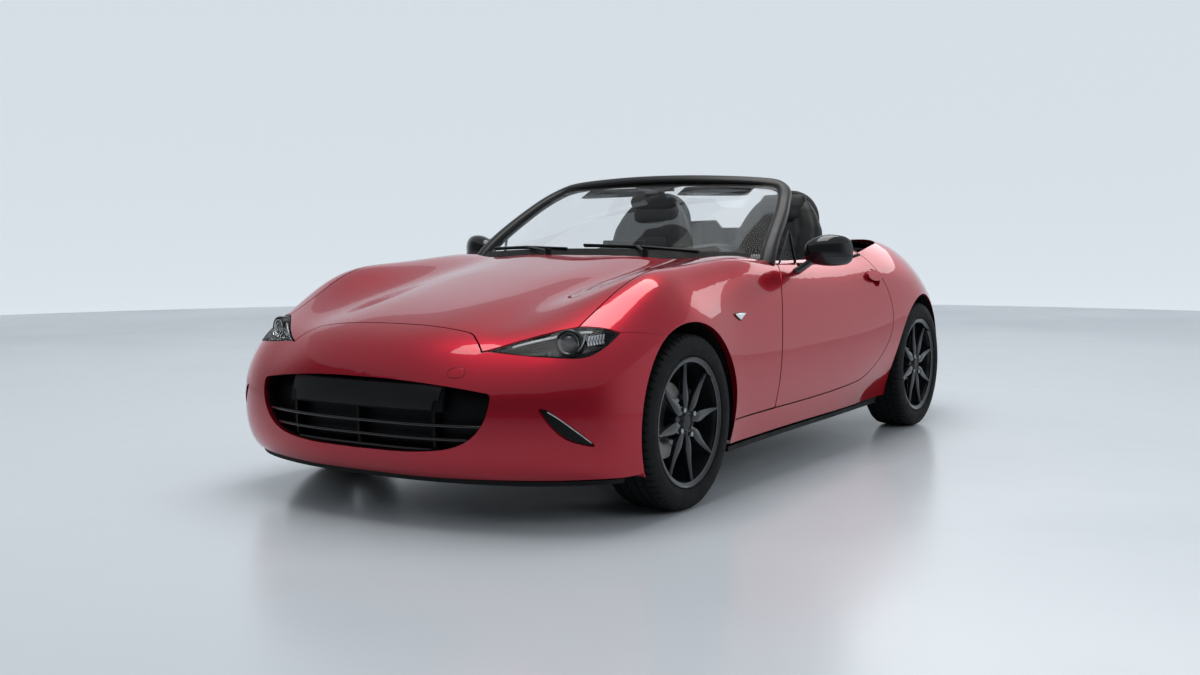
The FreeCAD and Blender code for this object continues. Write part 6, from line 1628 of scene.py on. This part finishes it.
# ------------------------------------------------------------------ hoop fairings, belts and trim behind the seats
def cabin_rear():
    for tag, s in SIDES:
        x0 = s * 345
        path = [F(x0 - 120, 1876, 784), F(x0 - 116, 1886, 880), F(x0 - 113, 1894, 990)]
        for a in np.linspace(math.pi, 0, 25)[1:-1]:
            path.append(F(x0 + 112 * math.cos(a), 1895, 1000 + 112 * math.sin(a)))
        path += [F(x0 + 113, 1894, 990), F(x0 + 116, 1886, 880), F(x0 + 120, 1876, 784)]
        b = Build()
        sweep(b, spline([tuple(q) for q in path], 90), circle(0.0275, 24, 0.036, 3.2), up=(0, 1, 0))
        b.obj("hoop_fairing_" + tag, "soft_plastic", "car_body", slot="black_trim")
        b = Build()
        out = [(x0 - 96, 786), (x0 + 96, 786), (x0 + 92, 990)] + [(x0 + 90 * math.cos(a), 1000 + 90 * math.sin(a)) for a in np.linspace(0.05, math.pi - 0.05, 21)] + [(x0 - 92, 990)]
        v = [tuple(F(x, 1890, z)) for x, z in out] + [tuple(F(x, 1897, z)) for x, z in out]
        k = len(out)
        b.add(v, [tuple(range(k)), tuple(range(2 * k - 1, k - 1, -1))] + [(i, (i + 1) % k, k + (i + 1) % k, k + i) for i in range(k)])
        o = b.obj("hoop_infill_" + tag, "grained_black", "car_body", smooth=False, slot="black_trim")
        # belt: guide, strap and floor anchor
        b = Build()
        pts = spline([tuple(F(s * 604, 1898, 800)), tuple(F(s * 606, 1872, 838)), tuple(F(s * 610, 1838, 800)), tuple(F(s * 618, 1806, 640)), tuple(F(s * 622, 1790, 420)), tuple(F(s * 622, 1786, 214))], 60)
        sweep(b, pts, [(-0.0008, -0.0235), (0.0008, -0.0235), (0.0008, 0.0235), (-0.0008, 0.0235)], up=(0, 1, 0.2))
        b.obj("belt_strap_" + tag, "belt_web", "car_body", slot="top_fabric")
        b = Build()
        rows = []
        for y, e in zip(np.linspace(1856, 1930, 18), ends(18, 0.5, 6)):
            rows.append([tuple(F(s * 605 + q[0] * 34 * (0.85 + 0.15 * e), y, 806 + q[1] * 30 * max(e, 0.06))) for q in circle(1.0, 32, 1.0, 4.0)])
        b.grid(rows, wrap_v=True, cap=True)
        b.obj("belt_guide_" + tag, "soft_plastic", "car_body", slot="dash_plastic")
        b = Build()
        box(b, F(s * 622 - 8, 1768, 182.5), F(s * 622 + 8, 1804, 222))
        o = b.obj("belt_anchor_" + tag, "satin_black", "car_body", smooth=False, slot="chassis_steel")
        rounded(o, 0.003, 3)
        # buckle beside the tunnel
        b = Build()
        rows = []
        for z, e in zip(np.linspace(420, 520, 16), ends(16, 0.6, 5)):
            rows.append([tuple(F(s * 122 + q[0] * 11 * (0.85 + 0.15 * e), 1590 + (z - 420) * 0.25 + q[1] * 18 * (0.9 + 0.1 * e), z)) for q in circle(1.0, 28, 1.0, 4.0)])
        b.grid(rows, wrap_v=True, cap=True)
        b.obj("belt_buckle_" + tag, "satin_black", "car_body", slot="dash_plastic")
        b = Build()
        box(b, F(s * 122 - 7, 1606, 519.5), F(s * 122 + 7, 1624, 523.5))
        o = b.obj("belt_button_" + tag, "belt_red", "car_body", smooth=False, slot="lens_red")
        rounded(o, 0.0012, 2)
        # a sill plate in the door opening is laid out here but never made into a piece
        b = Build()
        box(b, F(s * 712 - 9, 960, 331), F(s * 712 + 9, 1700, 333))
    # carpet covered ledge behind the seats
    b = Build()
    rows = []
    for x in np.linspace(-600, 600, 61):
        e = max(0.0, 1 - (abs(x) / 600.0) ** 10)
        rows.append([tuple(F(x, y, z)) for y, z in spline([(0, y, z) for y, z in ((1942, 640), (1930, 700), (1910, 742), (1868, 764 + 4 * e), (1862, 780 + 3 * e), (1890, 786 + 2 * e), (1944, 786))], 40)[:, 1:]])
    b.grid(rows)
    o = b.obj("rear_ledge", "carpet", "car_body", slot="dash_plastic", fix=False)
    t_ = o.modifiers.new("thick", "SOLIDIFY")
    t_.thickness, t_.offset = 0.003, 1.0
    bake(o)


cabin_rear()
for tag, s_ in SIDES:
    b = Build()
    rows = []
    for y in np.linspace(330, 700, 30):
        p, _ = hit(["body_side_" + tag], F(s_ * 1000, y, 252), (-s_, 0, 0))
        if p is None:
            continue
        x = p.x - s_ * 0.007
        rows.append([(x, p.y, 0.250), (x - s_ * 0.002, p.y, 0.262), (x - s_ * 0.002, p.y, 0.286), (x - s_ * 0.006, p.y, 0.286), (x - s_ * 0.006, p.y, 0.250)])
    if len(rows) > 5:
        b.grid(rows, wrap_v=True, cap=True)
        b.obj("wing_joint_" + tag, "rubber_seal", "car_body", slot="black_trim")


# ------------------------------------------------------------------ under the bonnet
def engine_bay():
    def pillow_box(name, mat, lo, hi, p=5.0, n=22, slot="engine_metal", axis=1, crown=0.0, body="car_body"):
        """A box with soft corners, lofted along one axis."""
        rows = []
        c = [(a + d) / 2 for a, d in zip(lo, hi)]
        h = [(d - a) / 2 for a, d in zip(lo, hi)]
        i, j = [k for k in range(3) if k != axis]
        for t, e in zip(np.linspace(-1, 1, n), ends(n, 0.5, 7)):
            row = []
            for q in circle(1.0, 40, 1.0, p):
                v = [0, 0, 0]
                v[axis] = c[axis] + h[axis] * t
                v[i] = c[i] + h[i] * q[0] * (0.93 + 0.07 * e)
                v[j] = c[j] + h[j] * q[1] * (0.93 + 0.07 * e) + crown * e * max(0.0, q[1])
                row.append(tuple(F(*v)))
            rows.append(row)
        return rows_loft(name, mat, rows, body, 50, slot)

    pillow_box("cam_cover", "engine_cover", (-176, -112, 640.5), (176, 330, 672), 6.0)
    b = Build()
    for k in range(9):
        x = -128 + k * 32
        sweep(b, [tuple(F(x, -92, 671.5)), tuple(F(x, 110, 673.5)), tuple(F(x, 312, 671.5))], [(-0.0035, -0.002), (0.0035, -0.002), (0.0022, 0.0042), (-0.0022, 0.0042)])
    b.obj("cover_ribs", "engine_cover", "car_body", slot="engine_metal")
    b = Build()
    disc(b, [(0, 0), (0, 0.026), (0.010, 0.027), (0.014, 0.024), (0.016, 0.010), (0.016, 0)], 36, place(-140, 262, 670, axis_to((0, 0, 1))))
    b.obj("oil_cap", "satin_black", "car_body", slot="engine_metal")
    # intake runners down the left side, exhaust shield on the right
    b = Build()
    for k in range(4):
        y = -70 + k * 110
        tube(b, spline([tuple(F(214, y, 600)), tuple(F(262, y, 612)), tuple(F(292, y + 4, 580)), tuple(F(296, y + 8, 520)), tuple(F(272, y + 10, 476))], 26), 0.0195, 18, up=(0, 1, 0))
    tube(b, spline([tuple(F(270, -130, 470)), tuple(F(270, 90, 466)), tuple(F(270, 330, 470))], 20), 0.034, 24, up=(0, 0, 1))
    b.obj("intake_runners", "alloy_cast", "car_body", slot="engine_metal")
    b = Build()
    rows = []
    for y in np.linspace(-110, 330, 56):
        w_ = 2.0 * math.sin(y / 9.0)
        rows.append([tuple(F(-222 - 5 * k_ - w_ * (0.3 if k_ else 1), y, z)) for k_, z in ((0, 600), (4, 590), (7, 560), (8, 520), (7, 480), (3, 452))])
    b.grid(rows)
    o = b.obj("heat_shield", "satin_metal", "car_body", slot="exhaust_steel", fix=False)
    t_ = o.modifiers.new("thick", "SOLIDIFY")
    t_.thickness = 0.0016
    bake(o)
    # air box, battery, tanks and servo
    pillow_box("air_box", "engine_cover", (316, -190, 470), (452, 60, 632), 5.0)
    b = Build()
    path = spline([tuple(F(384, 55, 570)), tuple(F(380, 110, 585)), tuple(F(350, 150, 600)), tuple(F(318, 160, 605)), tuple(F(296, 165, 596))], 60)
    tube(b, path, 0.030, 24, up=(0, 0, 1), scale=[1 + 0.05 * math.sin(i * 1.3) for i in range(60)])
    b.obj("air_duct", "rubber_seal", "car_body", slot="engine_metal")
    pillow_box("battery", "engine_cover", (-446, 150, 430), (-262, 400, 608), 9.0)
    b = Build()
    for x, y in ((-412, 190), (-412, 360)):
        disc(b, [(0, 0), (0, 0.010), (0.014, 0.009), (0.017, 0.007), (0.018, 0)], 24, place(x, y, 607, axis_to((0, 0, 1))))
    sweep(b, [tuple(F(-446, 276, 600)), tuple(F(-446, 276, 612)), tuple(F(-262, 276, 612)), tuple(F(-262, 276, 600))], [(-0.010, -0.0015), (0.010, -0.0015), (0.010, 0.0015), (-0.010, 0.0015)], up=(0, 1, 0.01))
    b.obj("battery_posts", "satin_metal", "car_body", slot="chassis_steel")
    pillow_box("coolant_tank", "tank_white", (300, 200, 500), (420, 330, 620), 4.0)
    b = Build()
    disc(b, [(0, 0), (0, 0.024), (0.012, 0.025), (0.016, 0.022), (0.018, 0.009), (0.018, 0)], 32, place(360, 262, 620, axis_to((0, 0, 1))))
    b.obj("coolant_cap", "satin_black", "car_body", slot="engine_metal")
    b = Build()
    disc(b, [(0, 0), (0.0, 0.060), (0.020, 0.096), (0.040, 0.104), (0.046, 0.108), (0.052, 0.104), (0.080, 0.092), (0.100, 0.040), (0.104, 0)], 56, place(352, 366, 600, axis_to((0, 1, 0))))
    tube(b, [tuple(F(352, 366, 600)), tuple(F(352, 330, 604)), tuple(F(352, 300, 640))], 0.014, 16, up=(1, 0, 0))
    b.obj("brake_servo", "satin_black", "car_body", slot="chassis_steel")
    # strut tops
    for tag, s in SIDES:
        b = Build()
        disc(b, [(0, 0), (0, 0.066), (0.006, 0.066), (0.010, 0.050), (0.018, 0.030), (0.020, 0.012), (0.028, 0.010), (0.028, 0)], 44, place(s * 520, 40, 655, axis_to((0, 0, 1))))
        for k in range(3):
            a = k * 2.094 + 0.5
            disc(b, [(0, 0), (0, 0.007), (0.007, 0.007), (0.007, 0)], 6, place(s * 520 + 54 * math.cos(a), 40 + 54 * math.sin(a), 660, axis_to((0, 0, 1))))
        b.obj("strut_top_" + tag, "satin_black", "car_body", slot="chassis_steel")
    # fan and shroud behind the radiator
    b = Build()
    revolve(b, [(0, 0.150), (0.030, 0.150), (0.034, 0.158), (0.030, 0.166), (0, 0.166)], 72, place(-120, -519, 398, axis_to((0, 1, 0))))
    for k in range(4):
        a = k * math.pi / 2 + 0.4
        sweep(b, [tuple(F(-120 + 30 * math.cos(a), -494, 398 + 30 * math.sin(a))), tuple(F(-120 + 152 * math.cos(a), -494, 398 + 152 * math.sin(a)))], circle(0.005, 10, 0.004), up=(0, 1, 0))
    b.obj("fan_shroud", "satin_black", "car_body", slot="engine_metal")
    b = Build()
    disc(b, [(0, 0), (0, 0.036), (0.020, 0.036), (0.026, 0.028), (0.028, 0)], 36, place(-120, -517, 398, axis_to((0, 1, 0))))
    for k in range(7):
        a = k * 2 * math.pi / 7
        rows = []
        for r_ in np.linspace(32, 142, 10):
            w_ = 13 + 0.11 * r_
            da = 0.10 * (r_ / 142.0)
            ca, sa = math.cos(a + da), math.sin(a + da)
            rows.append([tuple(F(-120 + r_ * ca - w_ * t * sa, -507 + 6.5 * t, 398 + r_ * sa + w_ * t * ca)) for t in np.linspace(-1, 1, 7)])
        b.grid(rows)
    o = b.obj("fan_blades", "engine_cover", "car_body", slot="engine_metal", fix=False)
    # slam panel with the catch, hoses
    b = Build()
    pts = spline([tuple(F(-404, -470, 566)), tuple(F(-300, -492, 574)), tuple(F(0, -500, 578)), tuple(F(300, -492, 574)), tuple(F(404, -470, 566))], 50)
    sweep(b, pts, [(-0.026, -0.012), (0.026, -0.012), (0.026, 0.006), (0.018, 0.012), (-0.018, 0.012), (-0.026, 0.006)], up=(0, 0, 1))
    b.obj("slam_panel", "engine_cover", "car_body", slot="structure")
    b = Build()
    tube(b, [tuple(F(-14, -500, 588)), tuple(F(-14, -500, 604)), tuple(F(14, -500, 604)), tuple(F(14, -500, 588))], 0.004, 12, up=(0, 1, 0))
    b.obj("bonnet_catch", "satin_metal", "car_body", slot="chassis_steel")
    b = Build()
    tube(b, spline([tuple(F(260, -518, 520)), tuple(F(262, -440, 530)), tuple(F(230, -300, 570)), tuple(F(180, -200, 590)), tuple(F(150, -136, 590))], 40), 0.019, 18, up=(0, 0, 1))
    tube(b, spline([tuple(F(-280, -518, 280)), tuple(F(-282, -440, 290)), tuple(F(-240, -300, 330)), tuple(F(-190, -200, 350)), tuple(F(-160, -136, 360))], 40), 0.019, 18, up=(0, 0, 1))
    tube(b, spline([tuple(F(330, 262, 515)), tuple(F(280, 240, 505)), tuple(F(222, 200, 520))], 24), 0.010, 12, up=(0, 0, 1))
    b.obj("coolant_hoses", "rubber_seal", "car_body", slot="engine_metal")
    # belt drive on the front of the engine
    b = Build()
    for x, z, r_ in ((0, 330, 0.075), (-120, 450, 0.045), (130, 470, 0.052), (10, 520, 0.036)):
        disc(b, [(0, 0), (0, r_ * 0.55), (-0.006, r_ * 0.6), (-0.006, r_), (-0.024, r_), (-0.026, r_ * 0.85), (-0.026, r_ * 0.4), (-0.030, r_ * 0.2), (-0.030, 0)], 44, place(x, -141, z, axis_to((0, 1, 0))))
    b.obj("belt_pulleys", "alloy_cast", "car_body", slot="engine_metal")
    b = Build()
    loop = [(-76, 320), (-165, 440), (-150, 490), (-100, 492), (-20, 552), (20, 558), (60, 530), (120, 524), (180, 490), (178, 440), (78, 318), (0, 252)]
    sweep(b, [tuple(F(x, -157, z)) for x, z in spline([(x, z, 0) for x, z in loop], 90, True)[:, :2]], [(-0.002, -0.009), (0.002, -0.009), (0.002, 0.009), (-0.002, 0.009)], up=(0, 1, 0), closed=True)
    b.obj("drive_belt", "rubber_seal", "car_body", slot="tyre_rubber")


engine_bay()


# ------------------------------------------------------------------ studio, light and camera
def stage_obj(name, b, mat):
    me = bpy.data.meshes.new(name)
    me.from_pydata(np.concatenate(b.v).tolist(), [], b.f)
    me.polygons.foreach_set("use_smooth", [True] * len(me.polygons))
    me.materials.append(MATS[mat])
    o = bpy.data.objects.new(name, me)
    bpy.context.collection.objects.link(o)
    return o


m, nt, b_ = principled("studio_floor", (0.56, 0.60, 0.635), 0.24, 0.0, Specular_IOR_Level=0.5)
mottle(nt, b_, (0.56, 0.60, 0.635), 0.012, 0.8, (0.19, 0.27))
m, nt, b_ = principled("studio_wall", (0.42, 0.45, 0.47), 0.9, 0.0)
b_.inputs["Emission Color"].default_value = (0.90, 0.955, 1.0, 1)
# the wall glows as studio light, brightest behind the car and falling off towards its nose; its colour is also painted
# darker towards the nose, a painted shade
place_ = node(nt, "ShaderNodeTexCoord")
split_ = node(nt, "ShaderNodeSeparateXYZ")
nt.links.new(place_.outputs["Object"], split_.inputs[0])
fall = node(nt, "ShaderNodeMapRange", interpolation_type="SMOOTHSTEP")
for key, val in (("From Min", -8.0), ("From Max", 4.0), ("To Min", 0.0), ("To Max", 1.0)):
    fall.inputs[key].default_value = val
nt.links.new(split_.outputs["Y"], fall.inputs["Value"])
glow = node(nt, "ShaderNodeMath", operation="MULTIPLY_ADD")
glow.inputs[1].default_value, glow.inputs[2].default_value = 0.46, 0.07
nt.links.new(fall.outputs["Result"], glow.inputs[0])
nt.links.new(glow.outputs[0], b_.inputs["Emission Strength"])
# painted shade: the wall's colour darkens towards the car's nose
nt.links.new(ramp(nt, fall.outputs["Result"], [(0.0, (0.09, 0.10, 0.11)), (1.0, (0.42, 0.45, 0.47))]), b_.inputs["Base Color"])
b = Build()
prof = [(0.0, 0.0), (4.0, 0.0), (8.0, 0.0), (11.0, 0.0)]
rows = []
for r in (0.001, 2.0, 5.0, 9.0, 12.0):
    rows.append([(r * math.cos(t), r * math.sin(t), 0.0) for t in np.linspace(0, 2 * math.pi, 96, endpoint=False)])
b.grid(rows, wrap_v=True)
stage_obj("floor", b, "studio_floor")
b = Build()
rows = []
for k in range(25):
    a = math.pi / 2 * k / 24
    r, z = 12.0 + 4.0 * math.sin(a), 4.0 - 4.0 * math.cos(a)
    rows.append([(r * math.cos(t), r * math.sin(t), z) for t in np.linspace(0, 2 * math.pi, 96, endpoint=False)])
rows.append([(16.0 * math.cos(t), 16.0 * math.sin(t), 9.0) for t in np.linspace(0, 2 * math.pi, 96, endpoint=False)])
b.grid(rows, wrap_v=True)
stage_obj("cove", b, "studio_wall")

w = bpy.data.worlds.new("studio")
bpy.context.scene.world = w
w.use_nodes = True
bg = w.node_tree.nodes["Background"]
bg.inputs["Color"].default_value = (0.86, 0.92, 1.0, 1)
bg.inputs["Strength"].default_value = 0.50


def area(name, loc, target, size, power, color=(1, 1, 1)):
    d = bpy.data.lights.new(name, "AREA")
    d.shape = "RECTANGLE"
    d.size, d.size_y = size
    d.energy = power
    d.color = color
    o = bpy.data.objects.new(name, d)
    bpy.context.collection.objects.link(o)
    o.location = loc
    o.rotation_euler = (Vector(target) - Vector(loc)).to_track_quat("-Z", "Y").to_euler()
    o.visible_glossy = name in ("overhead", "back_soft")
    return o


area("overhead", (0.0, -0.2, 5.2), (0, 0, 0), (2.6, 6.0), 210, (1.0, 0.99, 0.97))
area("side_left", (6.0, -1.0, 3.4), (0, 0, 0.5), (5.0, 2.0), 60)
area("front_soft", (-2.0, -7.5, 3.6), (0, -1.0, 0.5), (5.0, 2.2), 56)
area("side_right", (-6.5, 1.0, 3.2), (0, 0, 0.5), (5.0, 2.0), 35)
area("back_soft", (0.5, 7.0, 3.6), (0, 0.5, 0.7), (5.0, 2.0), 50)

cd = bpy.data.cameras.new("camera")
cam = bpy.data.objects.new("camera", cd)
bpy.context.collection.objects.link(cam)
cd.sensor_fit, cd.sensor_width, cd.lens = "HORIZONTAL", 36.0, 1291.1916 / 1200.0 * 36.0
right = Vector((0.84290372, 0.53805913, -0.00238381))
upv = Vector((-0.04069528, 0.06816813, 0.99684352))
fwd = Vector((-0.53652326, 0.8401461, -0.07935564))
rot = Matrix((right, upv, -fwd)).transposed()
cam.matrix_world = Matrix.Translation(F(2905.4015, -3806.0719, 932.1940)) @ rot.to_4x4()
cd.clip_start, cd.clip_end = 0.05, 200.0
bpy.context.scene.camera = cam
bpy.context.scene.view_settings.view_transform = "Standard"

bpy.context.view_layer.update()
